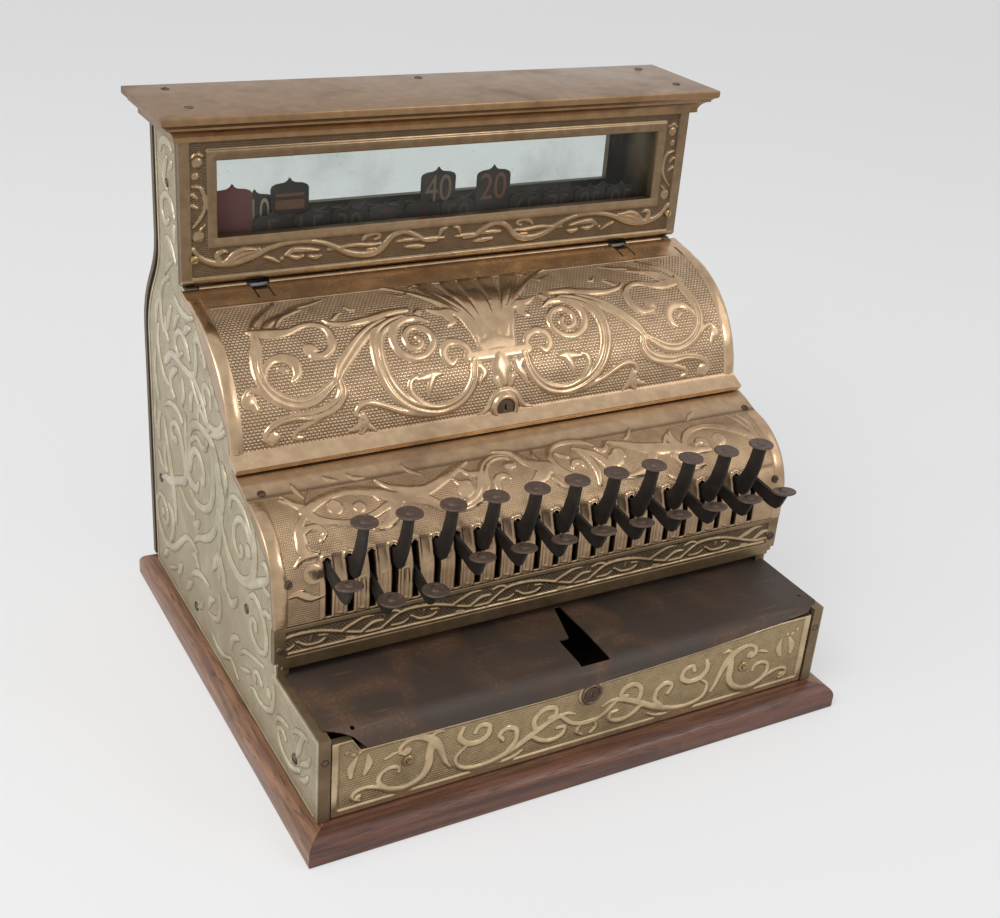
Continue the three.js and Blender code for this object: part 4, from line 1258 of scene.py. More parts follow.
@dataclass
class Studio:
    """Camera, floor, lights and plain surroundings."""

    camera_place: Point3 = (-0.494591, -0.856370, 0.676431)
    yaw: float = 30.717
    pitch: float = 27.112
    roll: float = 4.767
    lens: float = 50.65
    sensor: float = 36.0
    floor_half: float = 4.0

    def build(self) -> None:
        """Sets up the picture."""
        self.aim_camera()
        self.lay_floor()
        self.light()

    def aim_camera(self) -> None:
        """Puts the camera where the photograph was taken."""
        y, p, r = (math.radians(a) for a in (self.yaw, self.pitch, self.roll))
        ahead = Vector((math.sin(y) * math.cos(p), math.cos(y) * math.cos(p), -math.sin(p)))
        right = Vector((math.cos(y), -math.sin(y), 0))
        up = right.cross(ahead)
        tilted_right = right * math.cos(r) + up * math.sin(r)
        tilted_up = up * math.cos(r) - right * math.sin(r)
        turn = Matrix((tilted_right, tilted_up, -ahead)).transposed().to_4x4()
        data = bpy.data.cameras.new("photo_camera")
        data.lens, data.sensor_width, data.sensor_fit = self.lens, self.sensor, "HORIZONTAL"
        camera = bpy.data.objects.new("photo_camera", data)
        camera.matrix_world = Matrix.Translation(self.camera_place) @ turn
        bpy.context.scene.collection.objects.link(camera)
        bpy.context.scene.camera = camera
        bpy.context.scene.view_settings.view_transform = "Standard"

    def lay_floor(self) -> None:
        """Lays the pale floor, which looks paler than the light on it makes it."""
        half = self.floor_half
        mesh = bpy.data.meshes.new("floor")
        corners = [(-half, -half, 0), (half, -half, 0), (half, half, 0), (-half, half, 0)]
        mesh.from_pydata(corners, [], [(0, 1, 2, 3)])
        pen = NodePen("pale_floor")
        tone = pen.mix(pen.noise(400, 2), (0.80, 0.80, 0.80), (0.84, 0.84, 0.835))
        glow = pen.node("ShaderNodeEmission")
        glow.inputs[0].default_value = (0.935, 0.93, 0.935, 1)
        share = pen.math("MULTIPLY", self.seen(pen.tree), 0.5)
        pen.link(pen.blend(share, pen.shader.outputs[0], glow.outputs[0]), pen.out.inputs[0])
        mesh.materials.append(pen.finish(tone, 0.6))
        floor = bpy.data.objects.new("floor", mesh)
        bpy.context.scene.collection.objects.link(floor)

    @staticmethod
    def seen(tree: bpy.types.NodeTree) -> bpy.types.NodeSocket:
        """Tells the camera's, glossy and clear rays from the light that falls on things.

        Args:
            tree: the nodes to add to.

        Returns:
            The socket that is 1 for them.
        """
        path = tree.nodes.new("ShaderNodeLightPath")
        found = path.outputs["Is Camera Ray"]
        for kind in ("Is Glossy Ray", "Is Transmission Ray"):
            either = tree.nodes.new("ShaderNodeMath")
            either.operation = "MAXIMUM"
            tree.links.new(found, either.inputs[0])
            tree.links.new(path.outputs[kind], either.inputs[1])
            found = either.outputs[0]
        return found

    def light(self) -> None:
        """Hangs soft lamps and sets plain surroundings."""
        world = bpy.data.worlds.new("plain_room")
        world.use_nodes = True
        tree = world.node_tree
        sky = tree.nodes["Background"]
        sky.inputs[0].default_value = (0.86, 0.88, 0.91, 1)
        sky.inputs[1].default_value = 0.45
        seen = tree.nodes.new("ShaderNodeBackground")
        seen.inputs[0].default_value = (0.865, 0.865, 0.885, 1)
        seen.inputs[1].default_value = 1.0
        blend = tree.nodes.new("ShaderNodeMixShader")
        tree.links.new(self.seen(tree), blend.inputs[0])
        tree.links.new(sky.outputs[0], blend.inputs[1])
        tree.links.new(seen.outputs[0], blend.inputs[2])
        tree.links.new(blend.outputs[0], tree.nodes["World Output"].inputs[0])
        bpy.context.scene.world = world
        self.lamp("key_lamp", (-1.7, -0.9, 2.2), 1.3, 34.0, (1.0, 0.985, 0.96))
        self.lamp("side_lamp", (-2.3, 0.3, 1.3), 1.2, 16.0, (0.98, 0.98, 1.0))
        self.lamp("fill_lamp", (1.7, -1.3, 1.6), 1.6, 7.0, (1.0, 0.99, 0.98))
        self.lamp("glint_lamp", (0.72, -1.25, 0.98), 0.32, 2.4, (1.0, 0.99, 0.97))

    def lamp(self, name: str, place: Point3, size: float, power: float, colour: Colour) -> None:
        """Hangs one soft lamp that faces the register.

        Args:
            name: its name.
            place: where it hangs, in metres.
            size: side of its square.
            power: its power in watts.
            colour: its tint.
        """
        data = bpy.data.lights.new(name, "AREA")
        data.size, data.energy, data.color = size, power, colour
        lamp = bpy.data.objects.new(name, data)
        aim = Vector((0, 0, 0.2)) - Vector(place)
        lamp.matrix_world = Matrix.Translation(place) @ aim.to_track_quat("-Z", "Y").to_matrix().to_4x4()
        bpy.context.scene.collection.objects.link(lamp)


LID_SCROLLS = (
    Stroke(((-176, 31), (-184, 37), (-190, 42), (-197, 43.5), (-202, 39)), (5, 5, 4.5, 4, 3)),
    Stroke(((-199, 36),), (11,), 1.2, Form.ROUND),
    Stroke(((-196, 34), (-194, 29), (-197, 31)), (5, 4, 1)),
    Stroke(
        ((-182, 90), (-183, 78), (-187, 66), (-188, 54), (-184, 42), (-175, 33.5), (-162, 29), (-150, 31),
         (-140, 37), (-133, 42)),
        (6, 8, 9, 9, 9, 9.5, 9, 9, 8, 5), 1.3, Form.VEINED,
    ),
    Stroke(
        ((-185, 46), (-183, 56), (-176, 63), (-167, 64), (-160.5, 59), (-160, 51), (-165, 45)),
        (4.5, 4, 5, 7, 8, 7, 2),
    ),
    Stroke(((-170, 56), (-168, 54), (-173, 56.5)), (5, 4, 3), 1.2, Form.ROUND),
    Stroke(
        ((-186, 88), (-172, 85), (-158, 84.5), (-147, 88), (-138, 88.5), (-130, 84), (-127.5, 75),
         (-130, 67), (-137, 62), (-146, 62)),
        (4, 9, 9, 6, 5, 5, 6, 6.5, 6, 5), 1.25,
    ),
    Stroke(((-146, 67.5),), (11,), 1.2, Form.ROUND),
    Stroke(((-174, 88), (-168, 95), (-155, 101), (-140, 104.5)), (7, 7, 6, 1)),
    Stroke(((-166, 88), (-160, 97), (-146, 107), (-130, 111), (-116, 115)), (3, 5, 6, 5, 1)),
    Stroke(((-184, 89), (-176, 100), (-163, 112), (-158, 116)), (4, 6, 5, 2), 0.8),
    Stroke(
        ((-133, 40), (-127, 50), (-118, 59.5), (-107, 70), (-94, 79), (-80, 84), (-66, 86)),
        (5, 9.5, 10, 9.5, 8, 5, 2), 1.25, Form.VEINED,
    ),
    Stroke(
        ((-129, 91), (-124, 87), (-112, 85), (-99, 86), (-87, 88), (-76, 91), (-62, 91)),
        (2, 4.5, 5.5, 7, 8, 6, 4), 1.3,
    ),
    Stroke(((-122, 90), (-117, 94.5), (-112, 96.5)), (4, 4, 1)),
    Stroke(((-108, 102), (-104, 98), (-100, 98)), (2, 4, 1)),
    Stroke(
        ((-66, 85), (-80, 81), (-91, 73.5), (-96, 62), (-96.5, 48), (-92.5, 34), (-85, 22.5), (-74, 14.5),
         (-60, 10), (-48, 10), (-37, 14), (-29, 21), (-24, 30), (-21.5, 42)),
        (3, 8, 10.5, 11, 11, 11, 11, 10, 9.5, 9, 9, 8, 7.5, 6.5), 1.5, Form.VEINED,
    ),
    Stroke(
        ((-50, 78), (-58, 82.5), (-69, 82), (-78, 76), (-82, 66), (-79, 56), (-70, 50.5), (-59, 51.5),
         (-51.5, 58.5), (-51, 67), (-57, 73.5), (-66, 74), (-72, 68), (-71, 60), (-64, 57.5), (-60, 62),
         (-62.5, 66)),
        (2, 4.5, 6, 6.5, 6.5, 6.5, 6.5, 6, 5.5, 5.5, 5.5, 5.5, 5, 5, 5, 5, 4.5), 1.35,
    ),
    Stroke(((-58, 12), (-69, 16), (-76.5, 25), (-76, 33), (-71, 36)), (3, 5, 5, 5, 4), 1.25),
    Stroke(((-71, 34), (-63, 35), (-56, 36), (-50, 36)), (3, 6, 7, 2), 1.1),
    Stroke(((-58, 34), (-61, 28), (-63, 19.5)), (6, 5, 1), 1.2),
    Stroke(
        ((-50, 6.5), (-62, 7), (-75, 9.5), (-88, 13.5), (-100, 19), (-110, 22.5), (-118, 21), (-121, 16),
         (-117, 12.5)),
        (3, 5, 5.5, 5, 4.5, 4.5, 4.5, 4, 3), 1.3,
    ),
    Stroke(((-117, 14), (-116, 6), (-118, 2)), (5, 9, 5), 1.3, Form.VEINED),
    Stroke(((-116, 8), (-123, 5), (-127, 4.5)), (6, 5, 2), 1.1),
    Stroke(((-115, 7), (-109, 3), (-106, 0.5)), (6, 4, 1), 1.1),
    Stroke(
        ((-130, 41), (-129.5, 33), (-134, 26), (-143, 21.5), (-155, 19.5), (-168, 20.5), (-180, 18.5),
         (-188, 14), (-190, 8.5), (-186, 4)),
        (6, 8, 9.5, 9, 8, 6, 5, 4.5, 4, 4), 1.45, Form.VEINED,
    ),
    Stroke(((-184.5, 7),), (11,), 1.2, Form.ROUND),
    Stroke(
        ((-138, 21), (-150, 16.5), (-160, 13), (-167, 10), (-168.5, 6), (-164, 4.5)),
        (5, 5, 4, 4, 3.5, 4),
    ),
    Stroke(((-46, 88), (-38, 85), (-30, 84), (-23, 81)), (2, 6, 9, 3), 1.3),
    Stroke(((-32, 82), (-30, 76), (-35, 72)), (9, 7, 2), 1.1),
    Stroke(((-30, 85), (-33, 92), (-31, 95)), (6, 5, 1)),
    Stroke(((-52, 89), (-56, 86), (-54, 90)), (3, 5, 2)),
    Stroke(
        ((-24, 46), (-26, 53), (-32, 57.5), (-39, 58), (-44.5, 53.5), (-45, 46.5), (-40.5, 42), (-36, 45)),
        (4, 6, 6.5, 6.5, 6.5, 6, 6, 4), 1.2,
    ),
    Stroke(((-18, 38), (-15, 32), (-19, 26), (-20, 23)), (5, 6, 4, 1), 1.2),
    Stroke(((-60, 118), (-54, 115), (-46, 117)), (1, 4, 1)),
    Stroke(((-74, 113), (-66, 110), (-60, 107), (-54, 109)), (1, 3, 4, 1), 0.8),
)

LID_CENTRE = (
    Stroke(((0, 58), (0, 76), (0, 96), (0, 126)), (16, 17, 16.5, 17), 1.1),
    Stroke(((-6, 60), (-9.5, 78), (-14, 98), (-17, 126)), (10, 11, 13, 15), 0.95),
    Stroke(((-10, 60), (-16, 76), (-25, 94), (-34, 110), (-41, 126)), (8, 10, 12, 14, 16), 1.1),
    Stroke(
        ((-12, 62), (-18, 74), (-29, 89), (-42, 103), (-57, 114), (-74, 121)),
        (5, 6.5, 7.5, 8, 7, 3), 1.15, Form.ROUND,
    ),
    Stroke(((-14.5, 52), (-16, 62), (-20, 72), (-23, 78)), (4, 5, 5, 2), 1.1),
)

LID_BLOCK = (
    Stroke(((-25, 45.5), (0, 45.5), (25, 45.5)), (10, 11, 10), 1.2),
    Stroke(((-11, 52), (0, 55), (11, 52)), (12, 14, 12), 1.15),
    Stroke(((0, 42), (0, 33), (0.5, 26), (1, 22)), (12, 17, 10, 6), 1.6, Form.ROUND),
    Stroke(((13, 38), (15, 31), (19, 24), (21, 18)), (5, 6, 4, 1), 1.2),
    Stroke(((-6, 26), (-4, 20)), (6, 4), 1.1),
    Stroke(((8, 26), (6, 20)), (6, 4), 1.1),
)

LID_GROOVES = (
    Stroke(((-5, 72), (-6.5, 84), (-8, 100), (-8.3, 118)), (1, 1.8, 2.2, 2.2), -0.5, Form.ROUND),
    Stroke(
        ((-11, 74), (-14.5, 84), (-20.5, 98), (-26, 112), (-28.5, 120)),
        (1, 1.8, 2.2, 2.2, 2.2), -0.5, Form.ROUND,
    ),
    Stroke(((-20, 84), (-30, 98), (-38, 109), (-45, 118)), (1, 1.6, 1.8, 1.8), -0.4, Form.ROUND),
)

LID_LOCK = (
    Stroke(
        ((-24, 0.6), (-18, 1.8), (-14, 5), (-12, 9), (-9, 13), (-4.5, 15.5), (0, 16), (4.5, 15.5), (9, 13),
         (12, 9), (14, 5), (18, 1.8), (24, 0.6)),
        (1, 3, 4.4, 4.6, 4.8, 5, 5, 5, 4.8, 4.6, 4.4, 3, 1), 1.8, Form.ROUND,
    ),
)


@dataclass
class HingedLid:
    """Quarter-round lid with its scrolls, lip, knuckles, rear roll and lock boss."""

    half_width: float = 216.5
    thickness: float = 2.4
    field_half: float = 206.0
    field_top: float = 119.5
    length: float = 145.72
    rib: Point2 = (211.4, 5.3)
    bead: Point2 = (118.6, 1.3)
    notch: tuple[float, float] = (151.5, 164.5)
    notch_low: float = 139.7
    slit: float = 1.2
    slit_low: float = 126.5
    lock_gap: Point2 = (7.4, 10.4)
    face: RolledFace = RolledFace(foot=(-25.02, 222.146), lean=174.0, straight=0.0, radius=87.5, sweep=73.0)
    hinge: Point2 = (82.2, 303.0)
    knuckle_x: float = 171.5
    rolls: tuple[Point2, ...] = ((-202.6, -167.0), (-149.0, 149.0), (167.0, 202.6))
    lock_rise: float = 3.05
    ground_sink: float = 0.4

    def build(self, maker: Maker) -> None:
        """Builds and places the lid.

        Args:
            maker: places the pieces.
        """
        body = "lid"
        look = maker.finishes.lid
        maker.place(self.sheet().mesh("lid_sheet"), body, look, "worn_bronze", ("upper_lid",))
        maker.place(self.lip(), body, look, "worn_bronze")
        maker.place(self.knuckles(), body, maker.finishes.steel, "steel")
        maker.place(self.rear_roll(), body, look, "worn_bronze")
        maker.place(self.lock_boss(), body, look, "worn_bronze")

    def sheet(self) -> Shell:
        """Draws the rolled sheet with its relief.

        Returns:
            The sheet, ready to be made into a mesh.
        """
        end, low, high = self.half_width, *self.notch
        slit, near = self.slit, 0.78
        gap, gap_top = self.lock_gap
        marks = (self.field_half, high, high - slit, low + slit, low, gap)
        across = [(-end, 0.8), *((-x, near) for x in marks), *((x, near) for x in marks[:0:-1])]
        across += [(self.field_half, 0.8), (end, 1.0)]
        along = [(0.0, near), (gap_top, near), (self.field_top, 1.2), (self.slit_low, 3.5)]
        along += [(self.notch_low, 3.0), (self.length, 1.0)]
        shell = Shell(self.face, across, along, self.thickness, self.keeps)
        relief = shell.relief
        for lines in (LID_SCROLLS, LID_CENTRE, LID_GROOVES):
            relief.draw(lines, mirrored=True)
        relief.draw(LID_BLOCK)
        relief.height *= 1.2
        relief.draw(LID_LOCK)
        relief.height -= np.clip((self.field_top - relief.along[:, None]) / 4, 0, 1) * self.ground_sink
        self.add_ends(relief)
        return shell

    def add_ends(self, relief: Relief) -> None:
        """Raises the plain rounded ends and the bead line over the scrolls.

        Args:
            relief: the lid's heights.
        """
        x, s = np.abs(relief.across)[None, :], relief.along[:, None]
        past = np.broadcast_to(s > self.field_top, relief.height.shape)
        relief.height[past] = 0.0
        relief.raised[past] = 0.0
        rib = ridge(x, *self.rib) * (s < 133)
        relief.height += rib * 1.3
        np.maximum(relief.raised, rib * 0.7, out=relief.raised)
        line = ridge(s, *self.bead) * (x < 205)
        np.maximum(relief.height, line * 0.8, out=relief.height)
        np.maximum(relief.raised, line, out=relief.raised)
        plain = np.clip((s - 118.5) / 2.0, 0, 1)
        np.maximum(relief.raised, plain * 0.45, out=relief.raised)

    def keeps(self, u: float, v: float) -> bool:
        """Tells whether the sheet is there, away from notches, slits and the lock."""
        low, high = self.notch
        if low < abs(u) < high and v > self.notch_low:
            return False
        if v > self.slit_low and (low < abs(u) < low + self.slit or high - self.slit < abs(u) < high):
            return False
        return not (abs(u) < self.lock_gap[0] and v < self.lock_gap[1])

    def lip(self) -> bpy.types.Mesh:
        """Makes the lip drawn out over the key panel.

        Returns:
            The mesh.
        """
        (y0, z0), (y1, z1) = self.face.foot, (-37.5, 216.65)
        outline = [
            (y0, z0 + 1.2), (y0 - 1.6, z0 - 0.6), (y1 + 1.6, z1 + 0.9), (y1, z1), (y1 - 0.1, z1 - 1.2),
            (y1 + 0.8, z1 - 2.3), (y1 + 1.3, z1 - 3.9), (y0 + 2.0, z0 - 6.2), (y0 + 2.2, z0 + 0.6),
        ]
        return finished(outline_solid(outline, -self.half_width, self.half_width, "x"), "lid_lip", 50, 0.45)

    def rear_roll(self) -> bpy.types.Mesh:
        """Makes the edge rolled round the hinge rod.

        Returns:
            The mesh.
        """
        parts = []
        for low, high in self.rolls:
            half = (high - low) / 2
            roll = turned([(2.35, -half), (3.9, -half), (3.9, half), (2.35, half)], 28, hollow=True)
            parts.append(moved(roll, ((low + high) / 2, *self.hinge), (1, 0, 0)))
        return finished(joined(parts), "lid_rear_roll", 40, 0.45)

    def knuckles(self) -> bpy.types.Mesh:
        """Makes the hinge knuckles on the lid.

        Returns:
            The mesh.
        """
        y, z = self.hinge
        parts = []
        for side in (-1, 1):
            middle = side * self.knuckle_x
            ring = [(2.15, -3.5), (3.3, -3.5), (3.3, 3.5), (2.15, 3.5)]
            parts.append(moved(turned(ring, 20, hollow=True), (middle, y, z), (1, 0, 0)))
            leaf = [(y - 9, z - 1.0), (y - 9, z - 3.0), (y - 1.0, z - 3.1), (y - 1.6, z - 1.4)]
            parts.append(outline_solid(leaf, middle - 3.4, middle + 3.4, "x"))
        return finished(joined(parts), "lid_knuckles")

    def lock_boss(self) -> bpy.types.Mesh:
        """Makes the arched boss round the lock.

        Returns:
            The mesh.
        """
        middle = self.face.at(np.array([0.0]), np.array([self.lock_rise]), np.array([0.0]))[0] / MM
        angle = math.radians(self.face.lean - math.degrees(self.lock_rise / self.face.radius))
        out = (0, math.cos(angle), math.sin(angle))
        ring = [(7.25, -2.2), (11.6, -2.2), (13.2, 0.2), (11.9, 1.0), (10.9, 2.3), (9.6, 3.2), (8.4, 3.2)]
        ring += [(7.6, 2.6), (7.3, 1.3)]
        return finished(moved(turned(ring, 40, hollow=True), tuple(middle), out), "lid_lock_boss")


PANEL_SCROLLS = (
    Stroke(((-193, 99), (-188, 92), (-181, 84)), (2, 6, 9), 1.1),
    Stroke(((-171, 101), (-176, 93), (-181, 84)), (1, 4, 6), 0.9),
    Stroke(
        ((-182, 81), (-170, 88), (-158, 92), (-148, 93), (-136, 91), (-125, 86), (-116, 80), (-104, 78)),
        (9, 9, 8, 8, 9, 10, 10, 12), 1.3,
    ),
    Stroke(
        ((-182, 80), (-173, 72), (-160, 67.5), (-148, 66.5), (-134, 69), (-122, 74), (-108, 78)),
        (8, 6, 5, 5, 6, 7, 8), 1.1,
    ),
    Stroke(
        ((-123, 99), (-118, 92), (-110, 86), (-101, 81.5), (-91, 80.5), (-81, 84), (-71, 89), (-60, 95),
         (-49, 100)),
        (2, 6, 9, 12, 10, 9, 9, 7, 2), 1.35,
    ),
    Stroke(
        ((-104, 78), (-94, 73), (-86, 67), (-76, 62.5), (-65, 62), (-54, 66.5), (-46.5, 75), (-43, 85),
         (-37, 94), (-28, 99), (-19, 98.5), (-14.5, 93), (-16, 87)),
        (12, 11, 8, 6, 6, 8, 10, 11, 9, 7, 6, 5, 4), 1.25, Form.VEINED,
    ),
    Stroke(((-19, 89),), (9,), 1.4, Form.ROUND),
    Stroke(((-47, 87), (-53, 88), (-57.5, 95)), (6, 6, 2), 1.3),
    Stroke(((-67, 86), (-64, 81), (-58, 79.5)), (2, 5, 7), 1.2),
    Stroke(((-61, 74),), (14,), 1.1, Form.CUSHION),
    Stroke(((-36, 70), (-34, 78), (-28, 80.5), (-24, 77)), (5, 6, 6, 3), 1.2),
    Stroke(((-160, 80),), (12,), 1.1, Form.CUSHION),
    Stroke(((-164, 84), (-160, 86), (-156, 83)), (2, 3, 2), 1.3, Form.ROUND),
    Stroke(((-143, 77),), (10,), 1.1, Form.CUSHION),
    Stroke(((-136, 91), (-130, 86), (-127, 79)), (2, 4, 2), 1.0, Form.ROUND),
    Stroke(((-114, 76), (-119, 67), (-127, 60), (-138, 58.5)), (9, 9, 7, 2), 1.1),
    Stroke(((-184, 77), (-190, 69), (-191, 60), (-190, 52), (-182, 50)), (5, 6, 9, 10, 4), 1.1),
    Stroke(((-190, 64), (-184, 68), (-177, 67.5), (-173.5, 62), (-177, 58)), (4, 5, 5, 4, 3), 1.2),
    Stroke(((-199, 44), (-193, 48.5), (-184, 50)), (2, 4, 4), 1.2),
    Stroke(((-187, 37),), (15,), 0.7, Form.CUSHION),
    Stroke(((-205, 24), (-198, 25), (-190, 20), (-181, 20)), (2, 7, 6, 2), 1.0),
    Stroke(
        ((-25, 105), (-14, 101.5), (-8, 95), (-4, 88), (2, 84), (9, 82), (15, 76), (22, 71), (30, 68)),
        (2, 5, 7, 9, 10, 10, 8, 6, 3), 1.35,
    ),
    Stroke(((6, 101), (4, 93), (6, 86)), (1, 4, 6), 1.1),
    Stroke(((-6, 70), (2, 74), (9, 80)), (6, 12, 10), 1.1),
    Stroke(((10, 70), (14, 64), (20, 60)), (4, 4, 1), 1.0),
    Stroke(((46, 58), (48, 68), (46, 80), (41, 90)), (3, 6, 6, 3), 1.1),
    Stroke(((62, 62), (59, 72), (53, 82), (45, 90), (38, 94)), (5, 8, 7, 6, 2), 1.35),
    Stroke(
        ((24, 71), (17.5, 78), (15.5, 87), (19, 96), (28, 101), (40, 101.5), (51, 98), (56, 93)),
        (4, 5, 5, 5, 5, 6, 5, 2), 1.15,
    ),
    Stroke(((22, 92), (26, 88), (30, 86)), (2, 6, 3), 1.3, Form.ROUND),
    Stroke(((29, 76), (33, 80), (38, 79), (39, 75)), (4, 6, 6, 3), 1.2),
    Stroke(((56, 90), (60, 86.5), (65, 89), (67, 95)), (3, 6, 5, 2), 1.3),
    Stroke(((68, 76),), (14,), 1.1, Form.CUSHION),
    Stroke(((66, 79), (70, 84), (75, 82), (76, 77)), (2, 4, 5, 3), 1.3),
    Stroke(
        ((70, 94), (80, 89), (91, 83), (103, 79), (115, 77), (128, 73.5), (140, 70), (152, 69)),
        (3, 7, 10, 12, 11, 10, 7, 5), 1.3,
    ),
    Stroke(((103, 78), (98, 70), (90, 63), (78, 60), (66, 60)), (10, 9, 7, 5, 3), 1.15),
    Stroke(((114, 79), (118, 86), (126, 93)), (3, 4, 2), 1.0),
    Stroke(((127, 94), (124, 87), (125, 79), (131, 75)), (2, 6, 8, 6), 1.35),
    Stroke(
        ((131, 75), (136, 84), (145, 90), (157, 92), (168, 90), (180, 84), (191, 77), (198, 70)),
        (5, 6, 6, 6, 7, 7, 7, 5), 1.25,
    ),
    Stroke(((141, 75), (146, 78), (151, 76), (152, 71)), (3, 6, 6, 3), 1.2),
    Stroke(((165, 76),), (13,), 1.1, Form.CUSHION),
    Stroke(((118, 70), (124, 62), (134, 57), (143, 58)), (7, 7, 6, 2), 1.1),
    Stroke(((106, 56), (110, 53), (114, 51)), (2, 4, 2), 1.2),
    Stroke(((196, 98), (200, 88), (199, 76), (204, 66)), (2, 5, 5, 2), 0.9),
    Stroke(((186, 100), (192, 92), (196, 82)), (1, 4, 3), 0.8),
    Stroke(((96, 104), (89, 96), (86, 94)), (1, 4, 3), 0.9),
    Stroke(((160, 108), (155, 106), (150, 102)), (1, 4, 2), 0.7),
    Stroke(((-158, 110), (-155, 107), (-150, 105)), (1, 4, 2), 0.8),
    Stroke(((-140, 108), (-136, 104), (-130, 103)), (1, 4, 2), 0.7),
    Stroke(((-98, 108), (-95, 102), (-88, 96)), (1, 4, 2), 0.8),
    Stroke(((-182, 108), (-180, 100), (-178, 94)), (1, 4, 2), 0.8),
    Stroke(((-195, 96), (-191, 93), (-189, 96)), (2, 4, 2), 0.9),
)


@dataclass
class KeyPanel:
    """Curved panel with the key slots, its scrolls, rims and screws."""

    half_width: float = 216.5
    thickness: float = 2.4
    slot_half: float = 2.3
    slot_low: float = 2.0
    slot_height: float = 176.0
    length: float = 131.84
    rib: Point2 = (211.6, 5.2)
    bead: Point2 = (121.0, 1.4)
    face: RolledFace = RolledFace(foot=(-109.5, 131.0), lean=180.0, straight=19.0, radius=52.9, sweep=76.0)
    screws: tuple[Point2, ...] = ((-204.5, 105.0), (-205.5, 33.0), (209.0, 104.0), (207.0, 35.0))

    def slot_top(self) -> float:
        """Gives the distance up the panel at which the slots end."""
        face = self.face
        return face.straight + face.radius * math.asin(
            (self.slot_height - face.foot[1] - face.straight) / face.radius
        )

    def build(self, maker: Maker) -> None:
        """Builds and places the panel.

        Args:
            maker: places the pieces.
        """
        look = maker.finishes.panel
        maker.place(self.sheet().mesh("key_panel_sheet"), "cabinet", look, "worn_bronze", ("key_panel",))
        heads = []
        for turn, (x, s) in enumerate(self.screws):
            seat, above = self.face.at(np.array([x, x]), np.array([s, s]), np.array([0.3, 1.3])) / MM
            heads.append(screw_head(tuple(seat), tuple(above - seat), 3.2, 40 * turn + 15))
        maker.place_screws(heads, "key_panel_screws")
        maker.place(self.arches(), "cabinet", look, "worn_bronze")

    def sheet(self) -> Shell:
        """Draws the panel with its relief.

        Returns:
            The sheet, ready to be made into a mesh.
        """
        top = self.slot_top()
        across = [(-self.half_width, 0.85)]
        for i in range(KEY_COUNT):
            x = FIRST_KEY + KEY_PITCH * i
            across += [(x - self.slot_half, 0.8), (x + self.slot_half, 0.83)]
        across.append((self.half_width, 1.0))
        along = [(0.0, 0.8), (self.slot_low, 0.8), (top, 0.8), (108.0, 1.6), (116.0, 4.0)]
        along.append((self.length, 1.0))
        shell = Shell(self.face, across, along, self.thickness, self.keeps)
        relief = shell.relief
        relief.draw(PANEL_SCROLLS)
        frames = Relief(relief.across, relief.along)
        for i in range(KEY_COUNT):
            frames.draw(self.slot_rims(FIRST_KEY + KEY_PITCH * i, i == KEY_COUNT - 1))
        np.maximum(relief.height, frames.height, out=relief.height)
        np.maximum(relief.raised, np.clip(frames.height - 0.75, 0, 1) * 1.1, out=relief.raised)
        inside = relief.across[None, :] > FIRST_KEY - 7
        lower = np.clip((top + 3 - relief.along[:, None]) / 6, 0, 1) * inside
        np.maximum(relief.raised, lower * 0.26, out=relief.raised)
        x, s = np.abs(relief.across)[None, :], relief.along[:, None]
        rib = ridge(x, *self.rib) * (s < 98)
        relief.height += rib * 1.1
        np.maximum(relief.raised, rib * 0.7, out=relief.raised)
        line = ridge(s, *self.bead) * (x < 200)
        relief.height += line * 0.5
        np.maximum(relief.raised, np.clip((s - 99) / 9, 0, 1) * 0.4 * np.ones_like(x), out=relief.raised)
        relief.height += np.clip((s - 98) / 16, 0, 1) ** 1.5 * 1.5
        return shell

    def arches(self) -> bpy.types.Mesh:
        """Makes the corner fillings that round the slots' tops.

        Returns:
            The mesh.
        """
        half, top = self.slot_half, self.slot_top()
        shape = bmesh.new()
        for i, side in itertools.product(range(KEY_COUNT), (-1, 1)):
            x = FIRST_KEY + KEY_PITCH * i
            turns = np.linspace(0, math.pi / 2, 7)
            us = np.array([x + side * (half + 0.1), *(x + side * half * np.cos(turns)), x])
            vs = np.array([top + 0.1, *(top - half + half * np.sin(turns)), top + 0.1])
            levels = [self.face.at(us, vs, np.full(len(us), h)) for h in (1.1, -self.thickness)]
            rings = [[shape.verts.new(p / MM) for p in level] for level in levels]
            add_band(shape, *rings)
            shape.faces.new(rings[0])
            shape.faces.new(rings[1][::-1])
        return finished(shape, "key_slot_arches", 30, 0.8)

    def slot_rims(self, x: float, last: bool) -> tuple[Stroke, ...]:
        """Gives the rim of one slot and the small framed panel beside it.

        Args:
            x: middle of the slot.
            last: whether no other slot follows.

        Returns:
            The lines.
        """
        top, half = self.slot_top() + 1.9, self.slot_half + 1.25
        rim = ((x - half, 1.5), (x - half, top - 4), (x - half + 0.8, top - 1), (x, top),
               (x + half - 0.8, top - 1), (x + half, top - 4), (x + half, 1.5))
        lines = [Stroke(rim, (1.8,), 0.6, Form.ROUND)]
        lines.append(Stroke(rim[1:-1], (1.2, 2.8, 3.4, 2.8, 1.2), 1.8, Form.ROUND))
        if not last:
            a, b = x + half + 2.6, x + KEY_PITCH - half - 2.6
            box = ((a, 4), (a, 26), (a + 1, 27), (b - 1, 27), (b, 26), (b, 4), (b - 1, 3), (a + 1, 3), (a, 4))
            lines.append(Stroke(box, (1.3,), 0.5, Form.ROUND))
        return tuple(lines)

    def keeps(self, u: float, v: float) -> bool:
        """Tells whether the sheet is there, away from the slots."""
        place = (u - FIRST_KEY) / KEY_PITCH
        aside = abs(place - round(place)) * KEY_PITCH
        near = aside < self.slot_half and self.slot_low < v < self.slot_top()
        return not (near and -0.5 < place < KEY_COUNT - 0.5)


